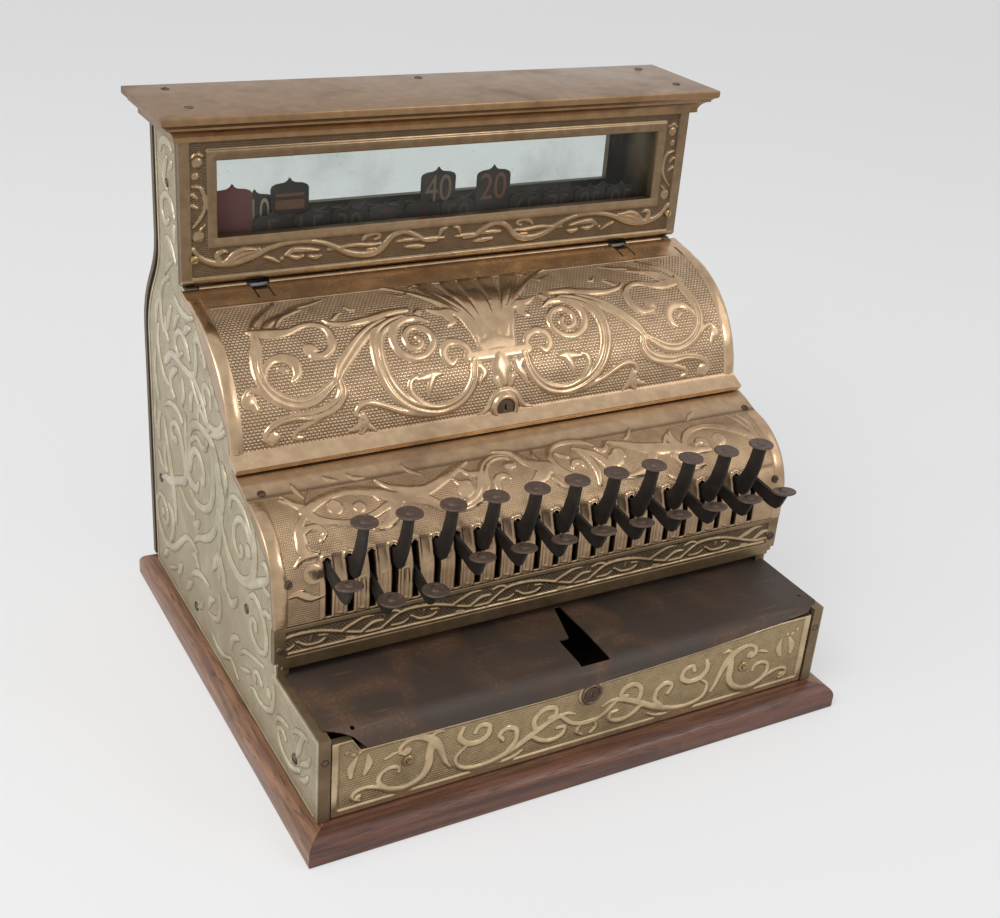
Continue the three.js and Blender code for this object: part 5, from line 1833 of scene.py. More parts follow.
@dataclass
class FriezeRail:
    """Low rail with a running scroll under the key panel."""

    half_width: float = 216.5
    low: float = 97.0
    high: float = 130.5
    cut: float = 9.0
    thickness: float = 4.0
    period: float = 86.0
    ground: tuple[float, float, float] = (207.0, 107.2, 126.5)
    bead: Point2 = (108.8, 1.3)

    def build(self, maker: Maker) -> None:
        """Builds and places the rail.

        Args:
            maker: places the pieces.
        """
        face = front_face(-109.5)
        w = self.half_width
        steps = [(-w + k, 1.0) for k in (0.0, 3.0, 6.0, 9.0)]
        across = steps + [(-w + 11, 0.75), (w - 11, 1.0)] + [(w - k, 1.0) for k in (9.0, 6.0, 3.0, 0.0)]
        along = [(self.low + k, 0.75) for k in (0.0, 3.0, 6.0, 9.0)] + [(self.high, 1.0)]
        shell = Shell(face, across, along, self.thickness, self.keeps)
        relief = shell.relief
        for k in range(-2, 3):
            relief.draw(self.vine(k * self.period))
        relief.height = relief.height * 2.3 - 0.9
        relief.raised = np.clip(relief.raised * 3.0, 0, 1)
        x, z = np.abs(relief.across)[None, :], relief.along[:, None]
        half, low, high = self.ground
        border = (z < low) | (z > high) | (x > half)
        relief.height[np.broadcast_to(border, relief.height.shape)] = 0.0
        relief.raised[np.broadcast_to(border, relief.raised.shape)] = 0.34
        line = ridge(z, *self.bead) * (x < 206)
        relief.height += line * 1.1
        np.maximum(relief.raised, line, out=relief.raised)
        maker.place(shell.mesh("frieze_rail"), "cabinet", maker.finishes.rail, "worn_bronze", ("lower_rail",))
        places = enumerate((-211.5, 211.0))
        heads = [screw_head((x, -109.8, 113.5), (0, -1, 0), 3.4, 30 * i + 10) for i, x in places]
        maker.place_screws(heads, "frieze_rail_screws")

    @staticmethod
    def vine(x: float) -> tuple[Stroke, ...]:
        """Gives one length of the running scroll.

        Args:
            x: where it starts.

        Returns:
            The lines.
        """
        return (
            Stroke(
                ((x - 52, 111), (x - 45, 116), (x - 36, 121.5), (x - 26, 123), (x - 12, 122), (x, 119),
                 (x + 14, 114.5), (x + 26, 112), (x + 38, 112.5)),
                (1.5, 2.6, 3.2, 3.4, 3.2, 3, 2.8, 2.6, 1.5), 0.4,
            ),
            Stroke(
                ((x - 27, 117), (x - 20, 112.5), (x - 10, 112.5), (x - 5, 117), (x - 11, 118.5)),
                (2, 3.2, 3.8, 3.6, 2), 0.35, Form.ROUND,
            ),
            Stroke(
                ((x + 6, 117.5), (x + 14, 121), (x + 22, 124.5), (x + 30, 124.5)),
                (3, 4.4, 3, 1), 0.35, Form.ROUND,
            ),
            Stroke(((x + 22, 114), (x + 30, 118.5), (x + 37, 119)), (3, 4.2, 2), 0.4, Form.ROUND),
            Stroke(((x - 34, 121), (x - 41, 124.5), (x - 48, 123)), (3.2, 3.4, 1.5), 0.35, Form.ROUND),
            Stroke(((x - 16, 120), (x - 17, 115)), (3.4, 2), 0.3, Form.ROUND),
            Stroke(((x - 42, 112.5), (x - 34, 112), (x - 29, 115)), (2, 3.6, 1.5), 0.3, Form.ROUND),
            Stroke(((x + 10, 111), (x + 16, 110.8)), (3, 1.5), 0.25, Form.ROUND),
        )

    def keeps(self, u: float, v: float) -> bool:
        """Tells whether the rail is there, away from its cut lower corners."""
        return (self.half_width - abs(u)) + (v - self.low) > self.cut - 1.6


@dataclass
class Key:
    """One key: a flat lever on the shaft with a riveted cap at its front."""

    index: int
    x: float
    upper: bool
    held: bool
    shaft: Point2 = (-20.0, 189.0)
    thickness: float = 2.4
    cap_radius: float = 9.5
    press: float = 10.0

    def outline(self) -> list[Point2]:
        """Gives the lever's outline round its shaft, front to the left."""
        back = [(9, 4), (129, -5), (129, -10), (9, -4), (0, -8), (-9, -6.8), (-84, -25.4)]
        top = [(-84, -16), (-9, 6.8), (0, 8)]
        if self.upper:
            front = [(-90, -26.4), (-96, -25.6), (-101, -21), (-106, -8), (-110, 4), (-112.95, 24)]
            front += [(-100.45, 24), (-97.5, 8), (-94, -4), (-90, -11.5)]
        else:
            front = [(-103.5, -29.5), (-109, -30.2), (-113, -30.3), (-118, -29.4), (-121.5, -26.4)]
            front += [(-124, -21), (-127.75, -12.84), (-118.25, -11.16), (-115.4, -16), (-110, -18.4)]
        return back + front + top

    def cap_place(self) -> tuple[Point2, float]:
        """Gives the middle of the cap round the shaft, and its tilt in degrees."""
        return ((-106.7, 24.0), 0.0) if self.upper else ((-123.0, -12.0), 10.0)

    def build(self, maker: Maker) -> None:
        """Builds and places the key.

        Args:
            maker: places the pieces.
        """
        name = f"key_{self.index + 1:02d}"
        half = self.thickness / 2
        lever = outline_solid(self.outline(), -half, half, "x", 0.35)
        (y, z), tilt = self.cap_place()
        lean = math.radians(tilt)
        r = self.cap_radius
        profile = [
            (0, -0.9), (r - 0.9, -0.9), (r, -0.35), (r, 0.35), (r - 0.7, 0.9), (r - 2.2, 0.95),
            (r * 0.55, 0.6), (3.4, 0.55), (3.0, 0.9), (2.2, 1.5), (0, 1.75),
        ]
        cap = moved(turned(profile, 32), (0, y, z), (0, math.sin(lean), math.cos(lean)))
        for part, label, look in ((lever, "lever", maker.finishes.key), (cap, "cap", maker.finishes.cap)):
            if self.held:
                turn = Matrix.Rotation(math.radians(self.press), 4, "X")
                bmesh.ops.transform(part, matrix=turn, verts=part.verts)
            bmesh.ops.translate(part, vec=(self.x, *self.shaft), verts=part.verts)
            mesh = finished(part, f"{name}_{label}_look", 30)
            maker.place(mesh, f"{name}_lever", look, "key_iron", (name,) if label == "lever" else ())


@dataclass
class Keyboard:
    """All the keys, every second one in the upper row."""

    held: tuple[int, ...] = (2, 4)

    def build(self, maker: Maker) -> None:
        """Builds and places every key.

        Args:
            maker: places the pieces.
        """
        for i in range(KEY_COUNT):
            Key(i, FIRST_KEY + KEY_PITCH * i, i % 2 == 1, i in self.held).build(maker)


FRONT_SCROLLS = (
    Stroke(
        ((-112, 34), (-116, 40), (-119, 48), (-123, 57), (-129, 64), (-137, 68), (-145, 68.5), (-151, 65),
         (-152, 60), (-148, 57)),
        (1.5, 4, 5, 6, 8, 6, 4, 3.5, 3.5, 3),
    ),
    Stroke(((-146.5, 59.5),), (7,), 1.0, Form.ROUND),
    Stroke(
        ((-127, 62), (-129, 52), (-129.5, 42), (-134, 33.5), (-143, 28.5), (-153, 28), (-162, 32),
         (-167, 39), (-165.5, 46), (-159, 49), (-153, 47.5), (-152, 43.5)),
        (8, 7, 7, 6.5, 6, 5.5, 6, 5, 4.5, 3.5, 3.5, 3),
    ),
    Stroke(
        ((-163, 33), (-170, 36), (-178, 38), (-185, 36), (-186, 31), (-181, 28.5)),
        (5, 4, 3, 3.5, 3.5, 2.5),
    ),
    Stroke(((-182, 31.5),), (5,), 1.0, Form.ROUND),
    Stroke(((-128, 67), (-124, 69), (-119, 68)), (2, 3, 1)),
    Stroke(((-163, 58), (-158, 60), (-154, 61)), (2, 3, 1)),
    Stroke(((-188, 50), (-188, 58), (-184, 66)), (3, 6, 2), 0.8, Form.VEINED),
    Stroke(((-178, 50), (-175, 58), (-176, 66)), (3, 6, 2), 0.8, Form.VEINED),
    Stroke(((-191, 72),), (3.4,), 0.9, Form.ROUND),
    Stroke(((-186.5, 69),), (3.4,), 0.9, Form.ROUND),
    Stroke(((-181.5, 69.5),), (3.4,), 0.9, Form.ROUND),
)

FRONT_VINE = (
    Stroke(
        ((-104, 66), (-106, 58), (-100, 51), (-90, 50), (-83, 55), (-84, 62), (-91, 64), (-94, 59)),
        (3, 5, 5.5, 5, 5, 4.5, 4, 3.5),
    ),
    Stroke(
        ((-101, 49), (-108, 42), (-106, 33), (-96, 28), (-80, 28), (-62, 34), (-46, 43), (-32, 50),
         (-20, 53), (-11, 50)),
        (2, 3.5, 4.5, 5.5, 6, 6, 6, 5, 4, 1.5),
    ),
    Stroke(((-66, 34), (-60, 42), (-61, 51), (-68, 55), (-74, 51), (-71, 45)), (5, 4.5, 4.5, 4.5, 4, 3.5)),
    Stroke(((-44, 45), (-46, 55), (-39, 62), (-30, 61), (-28, 55), (-34, 53)), (5, 4.5, 4.5, 4.5, 4, 3)),
    Stroke(((-48, 42), (-40, 35), (-30, 32), (-21, 35), (-20, 41), (-26, 42)), (5, 4.5, 4.5, 4.5, 4, 3)),
    Stroke(((-78, 28), (-72, 25.5), (-62, 27), (-54, 31)), (4, 4, 3, 1)),
    Stroke(((-24, 52), (-16, 44), (-8, 40), (0, 39)), (4, 4, 4, 5)),
    Stroke(((-6, 40), (-8, 33), (-3, 28.5)), (3, 4, 1.5)),
)

SIDE_SCROLLS = (
    Stroke(((132, 191), (139, 189), (141, 180), (138, 168)), (2, 4, 6, 7)),
    Stroke(
        ((138, 170), (138, 158), (141, 146), (148, 136), (158, 129), (170, 125.5), (184, 127), (197, 134),
         (207, 145), (213, 158)),
        (7, 8, 9, 9, 8, 8, 8, 7, 6, 5), 1.0, Form.VEINED,
    ),
    Stroke(
        ((141, 163), (146, 174), (155, 183), (167, 188), (179, 187), (188, 182), (190, 175)),
        (4, 5, 5, 5, 4.5, 4, 4),
    ),
    Stroke(
        ((148, 167), (155, 174), (165, 176), (175, 171), (181, 162), (181, 152), (175, 145), (167, 145),
         (163.5, 150)),
        (4, 5, 5.5, 5.5, 5.5, 5, 4.5, 4, 3),
    ),
    Stroke(((166, 152),), (8,), 1.0, Form.ROUND),
    Stroke(((152, 158),), (11,), 0.9),
    Stroke(((110, 164), (114, 156), (124, 149), (136, 141), (147, 133), (158, 127)), (3, 6, 7, 7, 6, 4)),
    Stroke(((112, 163), (119, 166), (124, 163)), (3, 5, 2)),
    Stroke(((107, 148), (112, 146), (120, 147)), (2, 5, 2)),
    Stroke(
        ((150, 122), (140, 128), (129, 126), (120, 118), (115, 107), (117, 96), (125, 89.5), (135, 88),
         (144, 92), (147.5, 100), (143, 107), (136, 107)),
        (3, 5, 5.5, 5.5, 5, 5, 4.5, 4.5, 4.5, 4, 4, 3),
    ),
    Stroke(((137, 103),), (7,), 1.0, Form.ROUND),
    Stroke(((124, 122), (117, 128), (108, 130), (104, 136)), (4, 5, 4, 2)),
    Stroke(((33, 64), (37, 57), (44, 51), (50, 46)), (3, 5, 5, 2)),
    Stroke(((44, 74), (49, 67), (53, 58), (56, 50)), (3, 6, 7, 3)),
    Stroke(((38, 76), (47, 74), (58, 69), (66, 62)), (2, 4, 4, 1)),
    Stroke(
        ((52, 40), (60, 34), (70, 31), (82, 33), (90, 39), (91, 47), (84, 51), (77, 48)),
        (4, 5, 5, 5, 4.5, 4, 4, 3),
    ),
    Stroke(((36, 46), (42, 38), (50, 34)), (3, 5, 2)),
    Stroke(((72, 62), (82, 60), (92, 56), (98, 48)), (2, 4, 4, 2)),
    Stroke(
        ((101, 76), (101, 64), (106, 53), (117, 46), (130, 44), (142, 46), (150, 42)),
        (4, 5, 5, 5, 4.5, 4, 2),
    ),
    Stroke(((111, 64),), (9,), 0.8),
    Stroke(((125, 62), (133, 66), (140, 62), (138, 55)), (4, 5, 4, 2)),
    Stroke(((120, 80), (134, 76), (148, 72), (163, 66), (172, 58)), (2, 4, 4, 4, 2)),
    Stroke(((150, 56), (158, 52), (168, 48)), (2, 4, 2)),
    Stroke(((176, 104), (182, 97), (190, 92), (198, 96)), (2, 6, 7, 3)),
    Stroke(((174, 70), (182, 66), (189, 60), (192, 50)), (3, 6, 6, 2)),
    Stroke(((176, 32), (190, 40), (200, 36), (212, 31), (226, 31), (240, 37)), (2, 4, 3, 5, 4, 1)),
    Stroke(
        ((217, 120), (214, 136), (212.5, 155), (213.5, 175), (217, 192), (224, 203), (236, 208),
         (250, 208), (264, 205), (276, 198), (284, 188), (288, 176)),
        (4, 7, 11, 13, 12, 10, 7, 6, 6, 6, 6, 5), 1.1, Form.VEINED,
    ),
    Stroke(
        ((228, 200), (226, 184), (227, 168), (233, 154), (243, 144), (256, 138), (270, 136), (282, 139)),
        (4, 7, 7, 7, 7, 6, 6, 4),
    ),
    Stroke(
        ((218, 156), (221, 143), (229, 131), (240, 121), (254, 112), (268, 105), (278, 96)),
        (5, 6, 7, 7, 6, 5, 2),
    ),
    Stroke(
        ((240, 202), (243, 195), (251, 192), (262, 194), (272, 190), (281, 182), (283, 170), (284, 158)),
        (3, 4, 4, 4, 4, 4, 4, 3),
    ),
    Stroke(((292, 200), (292, 185), (290, 170), (292, 158)), (3, 5, 7, 9)),
    Stroke(
        ((291, 153), (283, 162), (278, 174), (269, 181), (258, 181), (250, 174), (249, 166)),
        (9, 8, 7, 6.5, 6, 5.5, 5),
    ),
    Stroke(((252, 163),), (9,), 1.0, Form.ROUND),
    Stroke(
        ((294, 153), (300, 165), (306, 176), (316, 181), (326, 178), (330, 170), (325, 163)),
        (9, 7, 6, 6, 5, 4.5, 4),
    ),
    Stroke(((320, 166),), (8,), 1.0, Form.ROUND),
    Stroke(((287, 150), (277, 147), (268, 149), (263, 156)), (8, 8, 7, 3)),
    Stroke(
        ((293, 149), (299, 140), (311, 134), (324, 127), (338, 120), (350, 117), (360, 113)),
        (8, 8, 7, 7, 8, 7, 3),
    ),
    Stroke(
        ((348, 172), (345, 158), (340, 145), (334, 133), (329, 119), (326, 104), (326, 88)),
        (2, 6, 7, 7, 7, 6, 4),
    ),
    Stroke(((350, 150), (351, 138), (348, 126)), (2, 5, 6)),
    Stroke(((300, 190), (309, 195), (322, 195), (336, 191), (348, 184)), (3, 5, 5, 4, 2)),
    Stroke(((276, 122), (286, 121), (298, 122), (310, 128)), (4, 5, 5, 3)),
    Stroke(((264, 122), (268, 117), (276, 114)), (3, 7, 3)),
    Stroke(
        ((270, 90), (285, 92), (299, 88), (311, 79), (322, 69), (333, 60), (346, 54), (360, 52.5),
         (372, 58), (379, 68), (380, 80), (373, 90), (362, 93), (352, 88), (349, 79), (355, 71),
         (364, 71)),
        (2, 4, 5, 6, 7, 7, 7, 6, 5.5, 5, 4.5, 4, 4, 4, 4, 4, 3),
    ),
    Stroke(((363, 79),), (8,), 1.0, Form.ROUND),
    Stroke(((344, 94), (336, 92), (334, 82), (337, 70), (345, 60)), (6, 6, 5, 6, 5)),
    Stroke(((202, 96), (207, 106), (213, 116)), (4, 9, 6)),
    Stroke(((216, 98), (216, 108), (217, 118)), (3, 6, 5)),
    Stroke(((232, 97), (226, 106), (219, 117)), (3, 8, 6)),
    Stroke(((217, 82), (216, 70), (221, 59), (232, 52), (246, 50)), (3, 5, 5, 5, 2)),
    Stroke(((242, 76), (256, 75), (268, 72), (280, 66), (287, 60)), (2, 4, 7, 6, 2)),
    Stroke(((258, 52), (264, 44), (272, 38)), (2, 5, 2)),
    Stroke(((313, 54), (319, 47), (323, 39)), (4, 8, 2)),
    Stroke(((352, 46), (358, 41), (364, 34)), (3, 7, 2)),
    Stroke(((330, 42), (340, 36), (352, 30)), (2, 4, 1)),
    Stroke(((196, 232), (203, 226), (214, 219), (228, 213)), (3, 5, 5, 4)),
    Stroke(
        ((199, 248), (202, 236), (210, 226), (222, 220), (238, 218), (254, 222), (268, 232), (275, 240)),
        (3, 5, 5, 5, 4, 4, 4, 3),
    ),
    Stroke(((214, 244),), (10,), 0.9),
    Stroke(((229, 234), (231, 244), (240, 247), (246, 240), (241, 232)), (4, 5, 5, 5, 3)),
    Stroke(
        ((262, 270), (261, 256), (266, 245), (278, 240), (294, 239), (312, 240), (328, 236), (340, 228)),
        (3, 5, 6, 6, 5, 6, 6, 3),
    ),
    Stroke(((240, 262), (244, 272), (254, 277), (262, 272)), (4, 6, 6, 3)),
    Stroke(
        ((277, 252), (284, 262), (297, 266), (309, 260), (311, 250), (303, 245), (295, 250)),
        (4, 5, 5, 5, 5, 4, 3),
    ),
    Stroke(((324, 300), (338, 291), (346, 278), (346, 262), (341, 250)), (3, 4, 5, 5, 3)),
    Stroke(((268, 288), (280, 284), (296, 284), (310, 290)), (3, 5, 5, 2)),
    Stroke(((320, 278), (326, 268), (330, 256)), (3, 7, 3)),
    Stroke(((355, 250), (358, 236), (354, 222), (345, 212), (333, 208)), (3, 5, 5, 5, 4)),
    Stroke(((310, 230), (318, 226), (326, 218), (326, 208), (318, 203)), (3, 7, 6, 5, 4)),
    Stroke(((296, 228), (294, 216), (300, 206)), (3, 5, 4)),
    Stroke(((366, 225), (370, 210), (368, 196), (362, 184)), (2, 4, 4, 2)),
    Stroke(((360, 172), (366, 160), (366, 146)), (3, 6, 3)),
    Stroke(((305, 401), (315, 404), (328, 402), (334, 394)), (3, 6, 6, 3)),
    Stroke(((307, 391), (311, 386)), (5, 3)),
    Stroke(((318, 392), (324, 384), (326, 375), (319, 369)), (4, 7, 6, 3)),
    Stroke(
        ((303, 352), (310, 361), (322, 364), (333, 358), (334, 348), (326, 342), (318, 346)),
        (3, 5, 5, 5, 5, 5, 4),
    ),
    Stroke(((305, 344), (304, 334)), (6, 2)),
    Stroke(((304, 318), (311, 326), (319, 331), (328, 330)), (3, 5, 5, 2)),
    Stroke(((312, 316), (322, 310), (334, 300)), (2, 4, 2)),
    Stroke(((266, 240), (254, 234), (243, 225), (235, 214)), (5, 6, 5, 4)),
    Stroke(((249, 288), (257, 281), (264, 272)), (2, 6, 2)),
    Stroke(((240, 284), (243, 275), (250, 268)), (2, 6, 3)),
    Stroke(((274, 278), (283, 274), (290, 267)), (3, 7, 2)),
    Stroke(((300, 278), (308, 272), (313, 263)), (2, 6, 2)),
    Stroke(((352, 272), (359, 263), (361, 251)), (2, 6, 2)),
    Stroke(((329, 246), (336, 253), (335, 264)), (2, 5, 2)),
    Stroke(((221, 264), (227, 256), (223, 248)), (2, 7, 3)),
    Stroke(((211, 245),), (5,), 1.2, Form.ROUND),
    Stroke(((270, 230), (276, 222), (276, 211)), (3, 7, 2)),
    Stroke(((252, 226), (258, 219), (259, 211)), (2, 5, 2)),
    Stroke(((342, 222), (336, 228), (327, 232)), (2, 6, 2)),
    Stroke(((204, 200), (198, 191), (199, 178)), (3, 7, 2)),
    Stroke(((208, 180), (204, 170), (207, 159)), (2, 5, 2)),
    Stroke(((106, 158), (102, 151), (104, 143)), (2, 5, 2)),
    Stroke(((268, 78), (276, 84), (285, 80)), (3, 7, 2)),
    Stroke(((286, 53), (294, 47), (300, 38)), (3, 8, 2)),
    Stroke(((230, 70), (239, 65), (243, 56)), (2, 7, 2)),
    Stroke(((368, 134), (361, 126), (351, 124)), (2, 5, 2)),
    Stroke(((372, 176), (376, 164), (373, 152)), (2, 5, 2)),
)


@dataclass
class SidePlates:
    """The two cast side plates with their scrolls, rims and screws."""

    outer: float = 211.5
    floor: float = 19.8
    arm_front: float = 18.3
    arm_top: float = 88.0
    arm_back: float = 103.0
    depth: float = 200.0
    top: float = 413.7
    rim: float = 5.2
    lift: float = 0.25
    underside: float = 0.03
    screws: tuple[Point2, ...] = ((61.0, 43.0), (157.0, 107.0), (366.0, 109.0), (277.0, 36.0), (321.0, 372.5))

    def front_edge(self, z: np.ndarray) -> np.ndarray:
        """Gives the front edge above the arm at each height."""
        arcs = ((143.4, 150, 50.2, 180, 104, 20), (262, 213, 84.8, 174, 101, 30))
        low_arc, high_arc = (
            [(y0 + r * math.cos(a), z0 + r * math.sin(a)) for a in np.radians(np.linspace(start, end, count))]
            for y0, z0, r, start, end, count in arcs
        )
        line = [(94.8, self.arm_top), (94.8, 130.9), (93.3, 131.2), *low_arc, (176.6, 207.0), *high_arc]
        line += [(278.8, 303.4), (288.3, 306.0), (288.3, self.top)]
        line = [(y, z0 + 0.001 * k) for k, (y, z0) in enumerate(line)]
        return np.interp(z, [p[1] for p in line], [p[0] for p in line])

    def back_edge(self, z: np.ndarray) -> np.ndarray:
        """Gives the back edge at each height."""
        y, h = s_curve(((346.0, 320.0), (346.0, 290.0), (384.0, 275.0), (384.0, 232.0)), 30)
        return np.interp(z, h[::-1], y[::-1])

    def build(self, maker: Maker) -> None:
        """Builds and places both plates' faces.

        Args:
            maker: places the pieces.
        """
        relief = Relief(even(15, 387, 0.8), even(17, 416, 0.8))
        relief.draw(SIDE_SCROLLS)
        relief.height *= 1.45
        self.add_rims(relief)
        relief.height += self.lift
        look = maker.finishes.plate
        for name, side in (("left", -1.0), ("right", 1.0)):
            face = FlatFace((side * self.outer, -self.depth, 0), (0, 1, 0), (0, 0, 1), (side, 0, 0))
            low, high = even(self.floor + 0.2, self.arm_top, 0.95), even(self.arm_top, self.top, 1.05)
            for label, levels, front, steps in (
                ("plate_foot_face", low, np.full(len(low), self.arm_front), 390),
                ("plate_face", high, self.front_edge(high) + 0.3, 285),
            ):
                back = self.back_edge(levels) - 0.2
                shell = RuledShell(face, levels, front, back, steps, relief, -self.underside)
                maker.place(shell.mesh(f"{name}_{label}"), "cabinet", look, "cast_silver")
            x = side * (self.outer + self.lift)
            heads = [
                screw_head((x, y - self.depth, z), (side, 0, 0), 4.0 if i else 4.4, 35 * i, 1.4)
                for i, (y, z) in enumerate(self.screws)
            ]
            maker.place_screws(heads, f"{name}_plate_screws")
            plug = turned([(0, -0.6), (2.8, -0.6), (2.8, 0.15), (2.4, 0.25), (1.9, -0.05), (0, -0.15)], 20)
            hole = moved(plug, (side * 207.5, -182.0, 70.0), (0, -1, 0))
            maker.place(finished(hole, f"{name}_arm_hole"), "cabinet", maker.finishes.key, "steel")

    def add_rims(self, relief: Relief) -> None:
        """Levels the raised rims along the edges.

        Args:
            relief: the plates' heights.
        """
        y, z = np.meshgrid(relief.across, relief.along)
        front = np.where(z < self.arm_top, 18.0, self.front_edge(z))
        points = np.stack([self.front_edge(relief.along), relief.along], -1)
        distance = np.full(y.shape, 99.0)
        for py, pz in points[relief.along > self.arm_top - 1]:
            distance = np.minimum(distance, np.hypot(y - py, z - pz))
        arm = np.minimum(y - front, np.where(y < self.arm_back, self.arm_top - z, 99))
        distance = np.where(z < self.arm_top, np.minimum(distance, arm), distance)
        distance = np.where(y < front, 0, distance)
        band = np.clip((self.rim - distance) / 1.2, 0, 1)
        groove = np.clip(1 - np.abs(distance - self.rim - 1.3) / 1.5, 0, 1)
        back = np.clip((2.5 - (self.back_edge(z) - y)) / 1.0, 0, 1)
        foot = np.clip((3.0 - (z - self.floor)) / 1.0, 0, 1) * (y > 24)
        band = np.maximum(band, np.maximum(back, foot) * 0.9)
        rimmed = np.maximum(relief.height * (1 - band), band)
        relief.height = np.where(band > 0, rimmed, relief.height) - groove * 0.35
        relief.raised = np.maximum(relief.raised, band * 0.45)


WINDOW_VINE = (
    Stroke(
        ((-206, 335), (-202, 329), (-195, 324.5), (-186, 322), (-175, 322), (-163, 325), (-150, 330),
         (-137, 333), (-122, 333.5), (-108, 331), (-97, 326.5), (-88, 321.5), (-77, 318.5), (-66, 318.5),
         (-58, 322), (-52, 328.5), (-46, 332.5), (-38, 333), (-29, 329), (-22, 325), (-12, 324)),
        (3.5, 4.5, 5.5, 6, 6, 5, 4.2, 4, 4, 4, 4, 4.4, 5, 5.5, 5.8, 5.8, 5, 4.4, 4.2, 4, 3), 1.5,
    ),
    Stroke(((-186, 323), (-188, 329), (-184, 331.5), (-180.5, 330.5)), (4, 4.5, 4, 1.5), 1.4),
    Stroke(
        ((-181, 323.5), (-175, 327), (-168, 329.5), (-160, 330), (-156, 331)),
        (4, 8, 8, 5, 1.5), 1.6, Form.VEINED,
    ),
    Stroke(
        ((-136, 324), (-131, 327), (-126, 327), (-118, 326.5), (-110, 325.5)),
        (3, 4.5, 4.5, 3.6, 2), 1.4,
    ),
    Stroke(((-139, 321.5),), (3.6,), 1.3, Form.ROUND),
    Stroke(((-133, 323), (-128, 321), (-122, 322)), (3, 4, 2), 1.2),
    Stroke(((-152, 324), (-147, 322), (-141, 319)), (3, 3.6, 1.5), 1.2),
    Stroke(((-117, 321), (-113, 320), (-108, 321)), (3, 4.4, 2), 1.3),
    Stroke(((-102, 325), (-97, 325)), (3, 2), 1.2),
    Stroke(((-92, 326), (-80, 326.5), (-68, 325.5), (-59, 326)), (2.5, 3.4, 3.4, 2), 1.3),
    Stroke(((-70, 322), (-64, 322.5)), (2.4, 2), 1.2),
    Stroke(((-74, 330), (-70, 333.5), (-63, 334), (-60, 331), (-64, 329.5)), (3, 4, 3.6, 3, 2), 1.4),
    Stroke(((-45, 326), (-36, 326.5), (-26, 326)), (2.4, 3.6, 2.4), 1.3),
    Stroke(((-38, 321), (-30, 320.5), (-22, 320)), (2.4, 4.4, 2), 1.2),
    Stroke(((-9, 328), (-7, 332), (-3, 333.5)), (2.4, 4, 2.4), 1.3),
    Stroke(((-22, 326), (-14, 326), (-5, 325.5)), (2.4, 3, 2), 1.3),
    Stroke(((-205.5, 401.5), (-201.5, 404), (-197.5, 402)), (2, 3, 2), 1.5),
    Stroke(((-201.5, 397.5),), (8,), 1.3, Form.ROUND),
    Stroke(((-203, 388),), (6,), 1.3, Form.ROUND),
    Stroke(
        ((-205, 381), (-199, 379), (-196.5, 372), (-197, 363), (-201, 356), (-205.5, 351)),
        (2, 3, 3, 3, 3, 1.5), 1.3,
    ),
    Stroke(((-205.5, 375), (-202, 372)), (3, 2), 1.2),
    Stroke(((-205.5, 367), (-202, 365)), (3, 2), 1.2),
    Stroke(((-201.5, 344),), (9,), 1.3, Form.ROUND),
    Stroke(((-200, 349), (-197, 352)), (3, 1), 1.4),
)


@dataclass
class WindowFrame:
    """Cast frame of the window with its running scroll and screws."""

    half_width: float = 215.25
    low: float = 307.6
    high: float = 413.7
    opening: tuple[float, float, float] = (187.5, 342.0, 398.5)
    border: float = 7.5
    ground: tuple[float, float, float] = (207.2, 313.6, 411.7)
    thickness: float = 8.0

    def build(self, maker: Maker) -> None:
        """Builds and places the frame.

        Args:
            maker: places the pieces.
        """
        face = front_face(80.0)
        half, low, high = self.opening
        across = [(-self.half_width, 0.8), (-half, 0.85), (half, 0.8), (self.half_width, 1)]
        along = [(self.low, 0.7), (low, 0.75), (high, 0.7), (self.high, 1)]
        shell = Shell(face, across, along, self.thickness, self.keeps)
        relief = shell.relief
        x, z = np.abs(relief.across)[None, :], relief.along[:, None]
        ground_half, ground_low, ground_high = self.ground
        inside = (x < ground_half) & (z > ground_low) & (z < ground_high)
        border = (x < half + self.border) & (z > low - self.border) & (z < high + self.border)
        ground = inside & ~border
        relief.height[ground] = -1.5
        vine = Relief(relief.across, relief.along)
        vine.draw(WINDOW_VINE, mirrored=True)
        relief.height = np.where(ground, relief.height + vine.height, relief.height)
        relief.raised = np.where(ground, vine.raised * 0.8, 0.3)
        outside = np.maximum(x - half, 0) + np.maximum(low - z, 0) + np.maximum(z - high, 0)
        relief.height -= np.where(border & (outside < 5.0), (5.0 - outside) * 0.22, 0)
        line = np.exp(-(((z - 406.2) / 0.8) ** 2)) * (x < 195)
        line = line + np.exp(-(((z - 312.4) / 0.9) ** 2)) * (x < 207) + np.exp(-(((z - 310.8) / 0.8) ** 2))
        relief.height += line * 0.45 - np.maximum(309.85 - z, 0)
        relief.raised = np.clip(relief.raised + line, 0, 1)
        look = maker.finishes.window
        maker.place(shell.mesh("window_frame_casting"), "cabinet", look, "worn_bronze", ("window_frame",))
        places = enumerate((-206.0, 206.0))
        heads = [screw_head((x0, 79.4, 328), (0, -1, 0), 3.2, 60 * i + 20, 2.0) for i, x0 in places]
        maker.place(finished(joined(heads), "window_frame_screws"), "cabinet", maker.finishes.brass, "steel")

    def keeps(self, u: float, v: float) -> bool:
        """Tells whether the casting is there, away from its opening."""
        half, low, high = self.opening
        return not (abs(u) < half and low < v < high)


